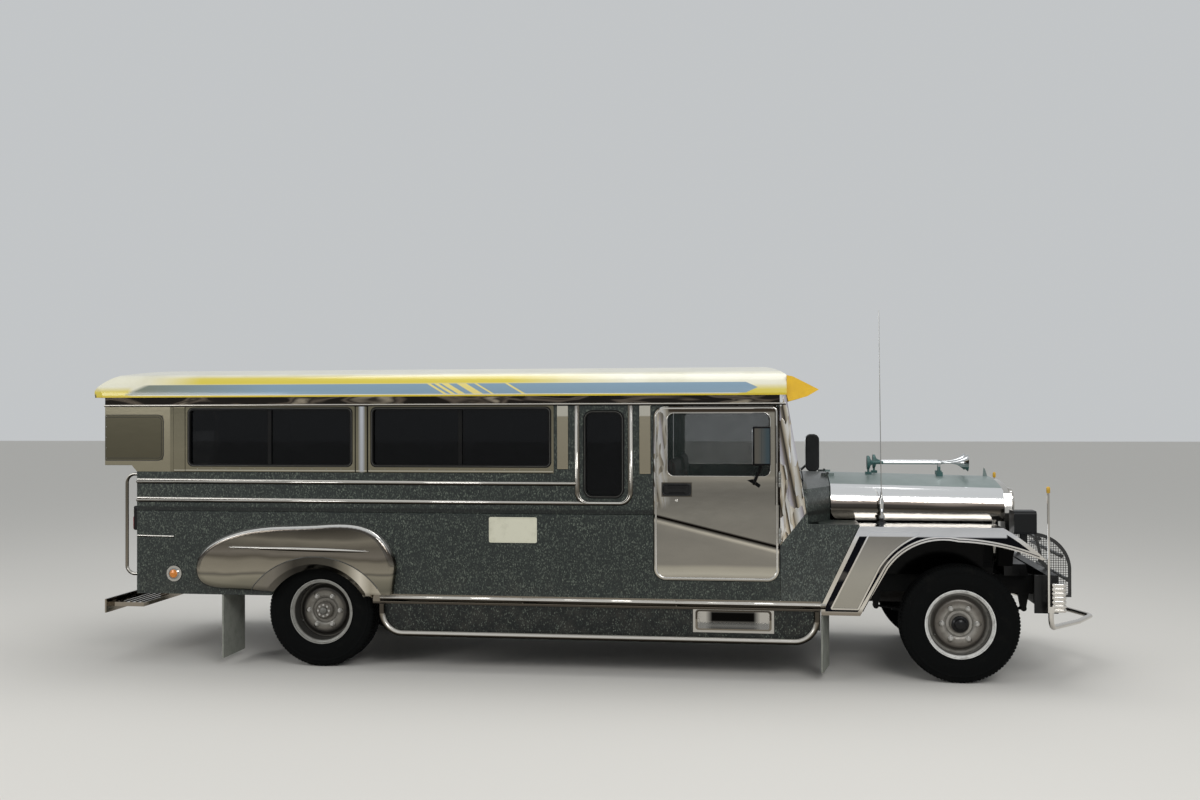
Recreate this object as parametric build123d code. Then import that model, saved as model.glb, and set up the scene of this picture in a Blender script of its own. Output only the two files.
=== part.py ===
from build123d import *
import os
from math import atan2, cos, radians, sin

os.makedirs("parts", exist_ok=True)

# A long-wheelbase jeepney: a jeep-style nose, a cab with two front doors and a
# long passenger cabin that is entered from the rear.
# Millimetres. +X is forward, +Y is the vehicle's left, +Z is up. The origin is on
# the ground, on the centre line, at half the overall length.

# Lengths along the vehicle
WHEELBASE = 4380
FRONT_OVERHANG = 1060       # front axle to the tip of the nudge bar
REAR_OVERHANG = 1710        # rear axle to the rear edge of the roof
FRONT_X = (FRONT_OVERHANG + WHEELBASE + REAR_OVERHANG) / 2
FRONT_AXLE_X = FRONT_X - FRONT_OVERHANG
REAR_AXLE_X = FRONT_AXLE_X - WHEELBASE
ROOF_REAR_X = REAR_AXLE_X - REAR_OVERHANG
BODY_REAR_X = REAR_AXLE_X - 1350            # rear bulkhead
EAR_REAR_X = BODY_REAR_X - 245              # upper rear side panels reach past it
DOOR_FRONT_X = FRONT_AXLE_X - 1173          # where the front doors hinge
DOOR_LENGTH = 840
DOOR_REAR_X = DOOR_FRONT_X - DOOR_LENGTH
SILL_FRONT_X = FRONT_AXLE_X - 904           # lower end of the fender's slanted edge
FENDER_CORNER_X = FRONT_AXLE_X - 653        # upper end of that edge
FIREWALL_X = FRONT_AXLE_X - 915
COWL_WIDE_X = FRONT_AXLE_X - 990            # the cowl is as wide as the body up to here
HOOD_REAR_X = FRONT_AXLE_X - 820
HOOD_FRONT_X = FRONT_AXLE_X + 338
GRILLE_FRONT_X = HOOD_FRONT_X + 80
BUMPER_X = FRONT_AXLE_X + 560               # rear face of the bumper beam
ROOF_FRONT_X = FRONT_AXLE_X - 1125

# Widths, from the centre line
BODY_HALF = 930
ROOF_OVERHANG = 18                          # the roof stands out past the side walls
ROOF_HALF = BODY_HALF + ROOF_OVERHANG
HOOD_HALF = 600
RAIL_HALF = 390                             # outside of the chassis rails
TRACK_HALF = 775
KINGPIN_HALF = TRACK_HALF - 155
WING_HALF = HOOD_HALF - 170                 # engine bay side walls
ENTRANCE_HALF = 310
WALL = 36                                   # side walls and doors
SHEET = 8                                   # fenders, cowl and hood with their edges

# Heights
SILL_Z = 506
CREASE_Z = 1096
FLOOR_Z = 700
SEAT_Z = 1060
WINDOW_SILL_Z = 1412
WINDOW_TOP_Z = 1832
GUTTER_Z = 1844
WALL_TOP_Z = 1905
ROOF_TOP_Z = 2120
RAIL_Z = 530                                # underside of the chassis rails
RAIL_HEIGHT = 130
RAIL_TOP_Z = RAIL_Z + RAIL_HEIGHT
FENDER_Z = 1033
HOOD_Z = 1345                               # hood crown at the cowl
SKIRT_Z = 243
ANTENNA_TOP_Z = 2480

# Wheels, 7.00-16 on steel disc rims
TYRE_R = 387.5
TYRE_WIDTH = 200
BEAD_R = 212
BEAD_HALF = 60
FLANGE_R = 228
HUB_R = 62
SPINDLE_R = 26
REAR_JOURNAL_R = 36
PIN_CLEARANCE = 0.05
AXLE_Z = TYRE_R

GAP = 6                                     # round doors and hood
SEAT_GAP = 0.3                              # between pieces that seat on each other
CUT = 5                                     # how far a cutting shape runs past the face it cuts

RIGHT, LEFT = -1, 1


def block(x0, x1, y0, y1, z0, z1):
    size = (abs(x1 - x0), abs(y1 - y0), abs(z1 - z0))
    middle = ((x0 + x1) / 2, (y0 + y1) / 2, (z0 + z1) / 2)
    return Pos(*middle) * Box(*size)


def slab_y(face, y0, y1):
    """A side-view face, drawn as (x, z), made solid from y0 to y1."""
    low, high = min(y0, y1), max(y0, y1)
    plane = Plane(origin=(0, low, 0), x_dir=(1, 0, 0), z_dir=(0, -1, 0))
    return extrude(plane * face, -(high - low))


def section_at(x, face):
    """A cross-section, drawn as (y, z), placed at x."""
    return Plane(origin=(x, 0, 0), x_dir=(0, 1, 0), z_dir=(1, 0, 0)) * face


def slab_x(face, x0, x1):
    """A cross-section made solid from x0 to x1."""
    return extrude(section_at(x0, face), x1 - x0)


def slab_z(face, z0, z1):
    """A plan, drawn as (x, y), made solid from z0 to z1."""
    return extrude(Plane.XY.offset(z0) * face, z1 - z0)


def polygon(*points):
    return make_face(Polyline(*points, close=True))


def smooth_outline(corners):
    """A closed outline from a table of (x, z, corner radius)."""
    points = [(x, z) for x, z, _ in corners]
    return make_face(FilletPolyline(*points, radius=[r for _, _, r in corners], close=True))


def rounded(x0, x1, z0, z1, radius):
    return Pos((x0 + x1) / 2, (z0 + z1) / 2) * RectangleRounded(x1 - x0, z1 - z0, radius)


def rod(start, end, radius):
    a, b = Vector(*start), Vector(*end)
    return extrude(Plane(origin=a, z_dir=b - a) * Circle(radius), (b - a).length)


def tube(points, radius, bend):
    """A bent tube: straight runs joined by arcs of one bend radius."""
    path = FilletPolyline(*points, radius=bend)
    return sweep(Plane(origin=path @ 0, z_dir=path % 0) * Circle(radius), path=path)


def turned(profile, x, y, z, side=1):
    """A profile of (radius, along the axle) points, turned about the Y axis."""
    face = make_face(profile)
    plane = Plane(origin=(x, y, z), x_dir=(1, 0, 0), z_dir=(0, 0, side))
    return revolve(plane * face, Axis((x, y, z), (0, 1, 0)))


def mirrored(shape):
    return mirror(shape, about=Plane.XZ)


def both(shape):
    return [shape, mirrored(shape)]


def save(name, *shapes):
    solids = []
    for shape in shapes:
        solids += shape.solids()
    export_step(solids[0] if len(solids) == 1 else Compound(solids), f"parts/{name}.step")


# Chassis

RAIL_FLANGE = 60
RAIL_WEB = 6
RAIL_REAR_X = BODY_REAR_X + 40
MEMBER_HALF = 30
OUTRIGGER_HALF = 25
OUTRIGGER_DEPTH = 50
OUTRIGGER_TAPER = 40
CABIN_MIDDLE_X = (REAR_AXLE_X + DOOR_REAR_X) / 2
TANK_REAR_X = CABIN_MIDDLE_X - 200
FLAP_REAR_X = REAR_AXLE_X - 710             # rear mudflaps hang here
OUTRIGGER_XS = (FLAP_REAR_X + 6, BODY_REAR_X + 300, REAR_AXLE_X + 700, TANK_REAR_X + 600,
                DOOR_REAR_X + 98, DOOR_FRONT_X + 58)
MEMBER_XS = (RAIL_REAR_X + 30, REAR_AXLE_X - 620, REAR_AXLE_X + 560, CABIN_MIDDLE_X + 480,
             DOOR_FRONT_X - 392, BUMPER_X - 60)


def outrigger_low(y):
    """Height of an outrigger's underside at y from the centre line."""
    span = BODY_HALF - WALL - SEAT_GAP - RAIL_HALF
    return RAIL_TOP_Z - OUTRIGGER_DEPTH - OUTRIGGER_TAPER * (1 - (y - RAIL_HALF) / span)


def chassis_frame():
    """Ladder frame: two channel rails, cross members, outriggers and floor bearers."""
    channel = polygon(
        (-RAIL_HALF, RAIL_Z), (-RAIL_HALF, RAIL_TOP_Z), (RAIL_FLANGE - RAIL_HALF, RAIL_TOP_Z),
        (RAIL_FLANGE - RAIL_HALF, RAIL_TOP_Z - RAIL_WEB), (RAIL_WEB - RAIL_HALF, RAIL_TOP_Z - RAIL_WEB),
        (RAIL_WEB - RAIL_HALF, RAIL_Z + RAIL_WEB), (RAIL_FLANGE - RAIL_HALF, RAIL_Z + RAIL_WEB),
        (RAIL_FLANGE - RAIL_HALF, RAIL_Z))
    rail = slab_x(channel, RAIL_REAR_X, BUMPER_X)
    frame = rail + mirrored(rail)
    inside = RAIL_HALF - RAIL_WEB
    member_z = RAIL_TOP_Z - RAIL_FLANGE
    for x in MEMBER_XS:
        frame += block(x - MEMBER_HALF, x + MEMBER_HALF, -inside, inside, member_z, RAIL_TOP_Z - RAIL_WEB)
    reach = BODY_HALF - WALL - SEAT_GAP
    # outriggers taper towards the sill
    taper = polygon((RAIL_HALF, outrigger_low(RAIL_HALF)), (RAIL_HALF, RAIL_TOP_Z), (reach, RAIL_TOP_Z),
                    (reach, outrigger_low(reach)))
    for x in OUTRIGGER_XS:
        arm = slab_x(taper, x - OUTRIGGER_HALF, x + OUTRIGGER_HALF)
        frame += arm + mirrored(arm)
    for x in OUTRIGGER_XS[1:]:
        frame += block(x - OUTRIGGER_HALF, x + OUTRIGGER_HALF, -RAIL_HALF, RAIL_HALF,
                       RAIL_TOP_Z, FLOOR_Z - FLOOR_THICKNESS)
    return frame


FLOOR_THICKNESS = 20

# Springs lie over the axles; their eyes hang from the rails.
SPRING_HALF_WIDTH = 30
SPRING_Y = RAIL_HALF - SPRING_HALF_WIDTH
FRONT_SPRING_LENGTH = 1000
REAR_SPRING_LENGTH = 1150
LEAF_THICKNESS = 9
LEAF_SHARES = (1.0, 0.78, 0.56, 0.34)       # each leaf's share of the spring's length, from the top
SPRING_CAMBER = 34
SPRING_EYE_R = 20
REAR_TUBE_R = 42
BANJO_R = 140
FRONT_BEAM_TOP = AXLE_Z - 27


def leaf(axle_x, low_z, length, rise):
    """One leaf, bent to a shallow arc, with its underside at low_z over the axle."""
    half = length / 2
    bottom = ThreePointArc((axle_x - half, low_z + rise), (axle_x, low_z), (axle_x + half, low_z + rise))
    top = ThreePointArc((axle_x + half, low_z + rise + LEAF_THICKNESS), (axle_x, low_z + LEAF_THICKNESS),
                        (axle_x - half, low_z + rise + LEAF_THICKNESS))
    outline = Wire([bottom, Line(bottom @ 1, top @ 0), top, Line(top @ 1, bottom @ 0)])
    return slab_y(make_face(outline), -SPRING_HALF_WIDTH, SPRING_HALF_WIDTH)


def leaf_spring(axle_x, seat_z, length):
    """A pack of leaves that shorten downwards, with eyes, hangers and axle clamps."""
    count = len(LEAF_SHARES)
    pack = None
    for index, share in enumerate(LEAF_SHARES):
        low_z = seat_z + (count - 1 - index) * LEAF_THICKNESS
        piece = leaf(axle_x, low_z, length * share, SPRING_CAMBER * share ** 2)
        pack = piece if pack is None else pack + piece
    half = length / 2
    eye_z = seat_z + (count - 1) * LEAF_THICKNESS + SPRING_CAMBER + LEAF_THICKNESS / 2
    w = SPRING_HALF_WIDTH
    for side in (-1, 1):
        x = axle_x + side * half
        pack += rod((x, -w, eye_z), (x, w, eye_z), SPRING_EYE_R)
        top = RAIL_Z - SEAT_GAP
        hanger = polygon((x - 15, eye_z), (x + 15, eye_z), (x + 34, top), (x - 34, top))
        pack += slab_y(hanger, -w, w)
    top = seat_z + count * LEAF_THICKNESS
    for x in (axle_x - 60, axle_x + 60):
        pack += block(x - 8, x + 8, -w - 8, w + 8, top - 4, top + 8)
    return Pos(0, SPRING_Y, 0) * pack


DRUM_IN, DRUM_OUT = TRACK_HALF - 215, TRACK_HALF - 135
DRUM_R = 165


def rear_axle():
    """Banjo housing with its round cover, tubes, pinion nose, brake drums and journals."""
    rx, z = REAR_AXLE_X, AXLE_Z
    journal = TRACK_HALF + 20
    axle = rod((rx, -journal, z), (rx, journal, z), REAR_JOURNAL_R)
    axle += rod((rx, -DRUM_IN, z), (rx, DRUM_IN, z), REAR_TUBE_R)
    banjo = Wire([Line((0, -150), (0, 150)), Line((0, 150), (REAR_TUBE_R, 150)),
                  ThreePointArc((REAR_TUBE_R, 150), (BANJO_R, 0), (REAR_TUBE_R, -150)),
                  Line((REAR_TUBE_R, -150), (0, -150))])
    axle += turned(banjo, rx, 0, z)
    nose_z = z + 24
    axle += rod((rx, 0, nose_z), (rx + PINION_REACH, 0, nose_z), 45)
    axle += rod((rx, 0, z), (rx - BANJO_R - 14, 0, z), 95)
    for side in (RIGHT, LEFT):
        drum = rod((rx, side * DRUM_IN, z), (rx, side * DRUM_OUT, z), DRUM_R)
        drum += rod((rx, side * (DRUM_IN + 12), z), (rx, side * (DRUM_IN + 26), z), DRUM_R + 7)
        axle += drum
        pad = side * SPRING_Y
        axle += block(rx - 55, rx + 55, pad - SPRING_HALF_WIDTH, pad + SPRING_HALF_WIDTH, z, z + REAR_TUBE_R)
    return axle


PINION_REACH = 260
BEAM_END_R = 34
KINGPIN_R = 15


def front_axle():
    """Forged I-beam, dropped between the spring seats, with an eye at each end."""
    eye_half = 36
    drop = 70
    low = FRONT_BEAM_TOP - 60
    outline = polygon(
        (-KINGPIN_HALF, AXLE_Z + 20), (-KINGPIN_HALF, AXLE_Z - 20), (-430, low),
        (-300, low - drop / 2), (300, low - drop / 2),
        (430, low), (KINGPIN_HALF, AXLE_Z - 20), (KINGPIN_HALF, AXLE_Z + 20),
        (440, FRONT_BEAM_TOP), (280, FRONT_BEAM_TOP), (230, FRONT_BEAM_TOP - drop / 2),
        (-230, FRONT_BEAM_TOP - drop / 2), (-280, FRONT_BEAM_TOP), (-440, FRONT_BEAM_TOP))
    half = 26
    web = 7
    flange = 14
    beam = slab_x(outline, FRONT_AXLE_X - half, FRONT_AXLE_X + half)
    channel = Pos(0, (low + FRONT_BEAM_TOP - drop) / 2) * Rectangle(440, FRONT_BEAM_TOP - low - 2 * flange)
    for x0, x1 in ((-half - CUT, -web), (web, half + CUT)):
        beam -= slab_x(channel, FRONT_AXLE_X + x0, FRONT_AXLE_X + x1)
    for side in (RIGHT, LEFT):
        y = side * KINGPIN_HALF
        beam += rod((FRONT_AXLE_X, y, AXLE_Z - eye_half), (FRONT_AXLE_X, y, AXLE_Z + eye_half), BEAM_END_R)
    for side in (RIGHT, LEFT):
        y = side * KINGPIN_HALF
        beam -= rod((FRONT_AXLE_X, y, AXLE_Z - 80), (FRONT_AXLE_X, y, AXLE_Z + 80),
                    KINGPIN_R + PIN_CLEARANCE)
    return beam


ARM_LENGTH = 165
ARM_Z = AXLE_Z - 78
BALL_R = 9


def knuckle(side):
    """Fork over the axle end, with the wheel's spindle and a straight-back steering arm."""
    fx, y = FRONT_AXLE_X, side * KINGPIN_HALF
    lug_in, lug_out = 42, 64
    part = rod((fx, y, AXLE_Z - lug_out), (fx, y, AXLE_Z + lug_out), KINGPIN_R)
    for z0, z1 in ((-lug_out, -lug_in), (lug_in, lug_out)):
        part += rod((fx, y, AXLE_Z + z0), (fx, y, AXLE_Z + z1), 30)
        part += block(fx - 26, fx + 26, y, y + side * 62, AXLE_Z + z0, AXLE_Z + z1)
    part += block(fx - 26, fx + 26, y + side * 42, y + side * 62, AXLE_Z - lug_out, AXLE_Z + lug_out)
    part += rod((fx, y + side * 50, AXLE_Z), (fx, side * (TRACK_HALF + 40), AXLE_Z), SPINDLE_R)
    part += block(fx - ARM_LENGTH, fx, y - 14, y + 14, ARM_Z - 2, ARM_Z + 16)
    part += rod((fx - ARM_LENGTH, y, ARM_Z - 2), (fx - ARM_LENGTH, y, ARM_Z + 16), 18)
    part += rod((fx - ARM_LENGTH, y, ARM_Z - 36), (fx - ARM_LENGTH, y, ARM_Z), BALL_R)
    return part


def tie_rod():
    x = FRONT_AXLE_X - ARM_LENGTH
    z = ARM_Z - 26
    ends = KINGPIN_HALF - 22
    part = rod((x, -ends, z), (x, ends, z), 13)
    for side in (RIGHT, LEFT):
        y = side * KINGPIN_HALF
        part += rod((x, y, z - 13), (x, y, z + 13), 24)
    for side in (RIGHT, LEFT):
        y = side * KINGPIN_HALF
        bore = BALL_R + (PIN_CLEARANCE if side == RIGHT else 2.0)
        part -= rod((x, y, z - 40), (x, y, z + 40), bore)
    return part


# Wheels

def tyre(x, side):
    """Carcass with bulged walls, a moulded rib at each shoulder and three tread grooves."""
    half = TYRE_WIDTH / 2
    shoulder_r = TYRE_R - 34
    bulge_r = BEAD_R + 0.6 * (shoulder_r - BEAD_R)
    rib = 4
    groove_half, groove_depth = 5, 9
    outline = [
        Line((BEAD_R, -BEAD_HALF), (BEAD_R, BEAD_HALF)),
        ThreePointArc((BEAD_R, BEAD_HALF), (bulge_r, half - 1), (shoulder_r, half - 6)),
        Line((shoulder_r, half - 6), (shoulder_r + rib, half - 2)),
        ThreePointArc((shoulder_r + rib, half - 2), (TYRE_R - 9, half - 12), (TYRE_R, half - 26)),
    ]
    y = half - 26
    for middle in (48, 0, -48):
        outline += [
            Line((TYRE_R, y), (TYRE_R, middle + groove_half)),
            Line((TYRE_R, middle + groove_half), (TYRE_R - groove_depth, middle + groove_half - 1)),
            Line((TYRE_R - groove_depth, middle + groove_half - 1),
                 (TYRE_R - groove_depth, middle - groove_half + 1)),
            Line((TYRE_R - groove_depth, middle - groove_half + 1), (TYRE_R, middle - groove_half)),
        ]
        y = middle - groove_half
    outline += [
        Line((TYRE_R, y), (TYRE_R, 26 - half)),
        ThreePointArc((TYRE_R, 26 - half), (TYRE_R - 9, 12 - half), (shoulder_r + rib, 2 - half)),
        Line((shoulder_r + rib, 2 - half), (shoulder_r, 6 - half)),
        ThreePointArc((shoulder_r, 6 - half), (bulge_r, 1 - half), (BEAD_R, -BEAD_HALF)),
    ]
    return turned(Wire(outline), x, side * TRACK_HALF, AXLE_Z)


RIM_HALF = 88
BARREL_R = BEAD_R - SEAT_GAP
RIM_THICKNESS = 12
POCKET_RING_R = 126                         # the six pressed pockets lie on this radius
FRONT_DISH = 46
REAR_DISH = 16


def rim(x, side, bore_r, dish):
    """Barrel with stepped flanges, a pressed disc with six pockets, and the hub.

    dish is how far the disc's crown stands out from the wheel's middle plane.
    """
    y = side * TRACK_HALF
    inner = BARREL_R - RIM_THICKNESS
    barrel = [(inner, -RIM_HALF), (FLANGE_R, -RIM_HALF), (FLANGE_R, 4 - RIM_HALF),
              (BARREL_R, 8 - RIM_HALF), (BARREL_R, RIM_HALF - 8), (FLANGE_R, RIM_HALF - 4),
              (FLANGE_R, RIM_HALF), (FLANGE_R - 8, RIM_HALF), (FLANGE_R - 12, RIM_HALF - 12),
              (inner + 4, RIM_HALF - 14), (inner, RIM_HALF - 26)]
    part = turned(Polyline(*barrel, close=True), x, y, AXLE_Z, side)
    # radius and offset of the disc's outer face, from the barrel to the hub
    face = [(inner + 2, dish - 34), (inner - 16, dish - 30), (158, dish - 4), (148, dish),
            (104, dish), (92, dish - 6), (84, dish - 14), (HUB_R - 4, dish - 14)]
    back = [(r, offset_y - SHEET) for r, offset_y in reversed(face)]
    part += turned(Polyline(*face, *back, close=True), x, y, AXLE_Z, side)
    hub = [(0, dish - 70), (HUB_R, dish - 70), (HUB_R, dish + 14), (HUB_R - 12, dish + 26),
           (0, dish + 26)]
    part += turned(Polyline(*hub, close=True), x, y, AXLE_Z, side)
    for index in range(6):
        turn = Rot(0, 60 * index + 30, 0) * Pos(0, 0, POCKET_RING_R) * Rot(-90 * side, 0, 0)
        part -= Pos(x, y + side * (dish + 6), AXLE_Z) * turn * Cone(15, 21, 24)
    reach = dish + 16
    part -= rod((x, y - side * 100, AXLE_Z), (x, y + side * reach, AXLE_Z), bore_r)
    return part


# Body sides

WINDOW_R = 40
REAR_WINDOW = (BODY_REAR_X + 385, REAR_AXLE_X + 255)
MIDDLE_WINDOW = (REAR_WINDOW[1] + 130, DOOR_REAR_X - 702)
NARROW_WINDOW = (DOOR_REAR_X - 482, DOOR_REAR_X - 202)
NARROW_SILL_Z = 1206
NARROW_TOP_Z = 1806
NARROW_R = 62
SEAL = 20                                   # width of the window rubbers
SILL_TOP_Z = 655
ARCH_R = TYRE_R + 12.5
ARCH_Z = AXLE_Z - 83.5
EAR_LOW_Z = 1420
EAR_NOTCH_Z = 1376
TOP_RAIL_Z = GUTTER_Z - 8


def window_faces(inset):
    """The three cabin windows of one side as side-view faces."""
    faces = []
    for x0, x1 in (REAR_WINDOW, MIDDLE_WINDOW):
        faces.append(rounded(x0 + inset, x1 - inset, WINDOW_SILL_Z + inset, WINDOW_TOP_Z - inset,
                             WINDOW_R - inset))
    x0, x1 = NARROW_WINDOW
    faces.append(rounded(x0 + inset, x1 - inset, NARROW_SILL_Z + inset, NARROW_TOP_Z - inset,
                         NARROW_R - inset))
    return faces


def side_wall():
    """Right side wall from the rear corner to the door post, over and under the door."""
    outer, inner = -BODY_HALF, WALL - BODY_HALF
    outline = polygon(
        (BODY_REAR_X, SILL_Z), (DOOR_FRONT_X, SILL_Z), (DOOR_FRONT_X, SILL_TOP_Z),
        (DOOR_REAR_X - GAP, SILL_TOP_Z), (DOOR_REAR_X - GAP, TOP_RAIL_Z),
        (DOOR_FRONT_X, TOP_RAIL_Z), (DOOR_FRONT_X, WALL_TOP_Z), (EAR_REAR_X, WALL_TOP_Z),
        (EAR_REAR_X, EAR_LOW_Z), (BODY_REAR_X - 40, EAR_LOW_Z), (BODY_REAR_X, EAR_NOTCH_Z))
    wall = slab_y(outline, outer, inner)
    for face in window_faces(0):
        wall -= slab_y(face, outer - CUT, inner + CUT)
    wall -= slab_y(Pos(REAR_AXLE_X, ARCH_Z) * Circle(ARCH_R), outer - CUT, inner + CUT)
    # the pressed crease under the mouldings: steep above, flat below
    crease = polygon((outer - 1, CREASE_Z + 5), (outer + 6, CREASE_Z), (outer - 1, CREASE_Z - 12))
    wall -= slab_x(crease, BODY_REAR_X - CUT, DOOR_REAR_X)
    return wall


def seal_ring(outer_face, inner_face):
    """A window rubber: it fills the frame's opening and its lip stands out past the wall."""
    ring = slab_y(outer_face, -BODY_HALF - SEAL_LIP, WALL - BODY_HALF)
    return ring - slab_y(inner_face, -BODY_HALF - SEAL_LIP - CUT, WALL - BODY_HALF + CUT)


SEAL_LIP = 7
MULLION_HALF = 13
GLASS_HALF = 3


def window_seals():
    seals = []
    for index, (outer, inner) in enumerate(zip(window_faces(SEAT_GAP), window_faces(SEAL))):
        ring = seal_ring(outer, inner)
        if index < 2:
            # sliding panes meet at an upright in the middle of the two long windows
            middle = outer.center().X
            ring += block(middle - MULLION_HALF, middle + MULLION_HALF, -BODY_HALF + 2,
                          WALL - BODY_HALF - 6, WINDOW_SILL_Z + SEAL - 2, WINDOW_TOP_Z - SEAL + 2)
        seals += both(ring)
    return seals


def body_glass():
    panes = []
    middle = WALL / 2 - BODY_HALF
    for index, face in enumerate(window_faces(SEAL + SEAT_GAP)):
        pane = slab_y(face, middle - GLASS_HALF, middle + GLASS_HALF)
        if index < 2:
            x = face.center().X
            half = MULLION_HALF + SEAT_GAP
            pane -= block(x - half, x + half, -BODY_HALF, WALL - BODY_HALF, 0, WALL_TOP_Z)
        panes += both(pane)
    return panes


PLATE = 3                                   # bright sheet laid over the wall
SURROUND = 16
SURROUND_LOW_Z = WINDOW_SILL_Z - 38
GUTTER_LOW_Z = GUTTER_Z - 6


def wall_plate(face, thickness=PLATE):
    return slab_y(face, -BODY_HALF - SEAT_GAP - thickness, -BODY_HALF - SEAT_GAP)


def window_surrounds():
    """Bright sheet round the windows, on the rear ear and on the posts of the right side."""
    plates = []
    top = GUTTER_LOW_Z - SEAT_GAP
    for x0, x1 in (REAR_WINDOW, MIDDLE_WINDOW):
        face = rounded(x0 - SURROUND, x1 + SURROUND, SURROUND_LOW_Z, top, 6)
        face -= rounded(x0, x1, WINDOW_SILL_Z, WINDOW_TOP_Z, WINDOW_R)
        plates += both(wall_plate(face))
    strip_gap = 2
    ear_front_x = BODY_REAR_X + 278
    ear = polygon((EAR_REAR_X + 2, EAR_LOW_Z + 2), (BODY_REAR_X - 40, EAR_LOW_Z + 2),
                  (BODY_REAR_X, EAR_NOTCH_Z), (ear_front_x, EAR_NOTCH_Z), (ear_front_x, top),
                  (EAR_REAR_X + 2, top))
    plates += both(wall_plate(ear))
    # start, end and lowest height of the upright strips
    strips = ((ear_front_x + strip_gap, REAR_WINDOW[0] - SURROUND - strip_gap, SURROUND_LOW_Z, 8),
              (REAR_WINDOW[1] + SURROUND + strip_gap, MIDDLE_WINDOW[0] - SURROUND - strip_gap,
               SURROUND_LOW_Z, 8),
              (NARROW_WINDOW[0] - 181, NARROW_WINDOW[0] - 104, SURROUND_LOW_Z + 30, 6),
              (DOOR_REAR_X - 98, DOOR_REAR_X - 22, SURROUND_LOW_Z, 6))
    for x0, x1, low, thickness in strips:
        strip = wall_plate(rounded(x0, x1, low, top, 4), thickness)
        plates += both(fillet(strip.faces().sort_by(Axis.Y)[0].edges().filter_by(Axis.Z), 4))
    return plates


MOULDING_PROUD = 9
MOULDING_WIDTH = 20
LOOP_MARGIN = 46                            # the loop moulding round the narrow window
LOOP_R = 88
SILL_RAIL_Z = SILL_Z - 6
SILL_RAIL_WIDTH = 66
SILL_STRIP = 4                              # the sill rail is a flat strip with a bead on it
SILL_BEAD_WIDTH = 26
SILL_BEAD_PROUD = 15
GUTTER_PROUD = 14


def half_round(start, end, width, proud):
    """A half-round bar on the right wall between two (x, z) points, its flat on the wall."""
    (x0, z0), (x1, z1) = start, end
    y = -BODY_HALF - SEAT_GAP
    plane = Plane(origin=(x0, y, z0), x_dir=(0, 1, 0), z_dir=(x1 - x0, 0, z1 - z0))
    length = Vector(x1 - x0, 0, z1 - z0).length
    arc = ThreePointArc((0, -width / 2), (-proud, 0), (0, width / 2))
    face = make_face(Wire([arc, Line(arc @ 1, arc @ 0)]))
    return extrude(plane * face, length)


def loop_moulding():
    """The bar that drops round the narrow window, with the two bars it joins."""
    x0, x1 = NARROW_WINDOW[0] - LOOP_MARGIN, NARROW_WINDOW[1] + LOOP_MARGIN
    low = NARROW_SILL_Z - LOOP_MARGIN
    top = GUTTER_LOW_Z - SEAT_GAP
    w = MOULDING_WIDTH
    ring = rounded(x0, x1, low, top + 200, LOOP_R)
    ring -= rounded(x0 + w, x1 - w, low + w, top + 300, LOOP_R - w)
    loop = slab_y(ring, -BODY_HALF - MOULDING_PROUD, -BODY_HALF - SEAT_GAP)
    loop -= block(x0 - CUT, x1 + CUT, -BODY_HALF - 50, -BODY_HALF + 50, top, top + 400)
    face = loop.faces().sort_by(Axis.Y)[0]
    edges = [e for e in face.edges() if e.center().Z < top - 1]
    loop = fillet(edges, 5)
    drop = 16
    rear_x = BODY_REAR_X + 4
    for z, end_x in ((NARROW_SILL_Z + 96, x0 + w / 2), (NARROW_SILL_Z - LOOP_MARGIN + w / 2, x0 + LOOP_R)):
        loop += half_round((rear_x, z + drop), (end_x, z), w, MOULDING_PROUD)
    return loop


def sill_rail():
    """Bright strip along the sill; its half-round bead starts a little in from the rear end."""
    x0, x1 = REAR_AXLE_X + 402, SILL_FRONT_X - 4
    low, top = SILL_RAIL_Z - SILL_RAIL_WIDTH / 2, SILL_RAIL_Z + SILL_RAIL_WIDTH / 2
    strip = wall_plate(rounded(x0, x1, low, top, 3), SILL_STRIP)
    bead_z = SILL_RAIL_Z + 4
    return strip + half_round((x0 + 52, bead_z), (x1, bead_z), SILL_BEAD_WIDTH, SILL_BEAD_PROUD)


def side_mouldings():
    """Right side's bright bars, gutter rail, sill rail, step trim and skirt tube."""
    parts = [loop_moulding()]
    gutter = half_round((EAR_REAR_X, GUTTER_Z + 2), (POST_X + 40, GUTTER_Z + 2), 12, GUTTER_PROUD)
    parts.append(gutter)
    parts.append(sill_rail())
    dart_z = 913
    parts.append(half_round((BODY_REAR_X + 4, dart_z + 4), (BODY_REAR_X + 282, dart_z), 14, 7))
    x0, x1, z0, z1 = POCKET
    trim = rounded(x0 - 14, x1 + 14, z0 - 10, z1 + 10, 20) - rounded(x0, x1, z0, z1, 16)
    skirt_y = SKIRT_OUT - BODY_HALF
    parts.append(slab_y(trim, skirt_y - SEAT_GAP - PLATE, skirt_y - SEAT_GAP))
    parts.append(skirt_tube())
    return parts


# Skirt between the wheels

POCKET = (DOOR_REAR_X + 290, DOOR_FRONT_X - 71, 338, 453)
TUBE_R = 20
SKIRT_OUT = 6                               # the skirt lies inside the body's side by this much
SKIRT_THICKNESS = 10
SKIRT_FIELD = 38                            # the pressed field starts this far in
SKIRT_BEND = 150                            # the tube turns up at both ends on this radius
SKIRT_REAR_X = REAR_AXLE_X + 470            # middles of the tube's upright ends
SKIRT_FRONT_X = SILL_FRONT_X - 28


def skirt_outline(inset):
    rear, front = SKIRT_REAR_X + inset, SKIRT_FRONT_X - inset
    top, low = SILL_Z - SEAT_GAP - inset, SKIRT_Z + TUBE_R + inset
    bend = SKIRT_BEND - inset
    return smooth_outline(((rear, top, 2), (front, top, 2), (front, low, bend), (rear, low, bend)))


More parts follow.
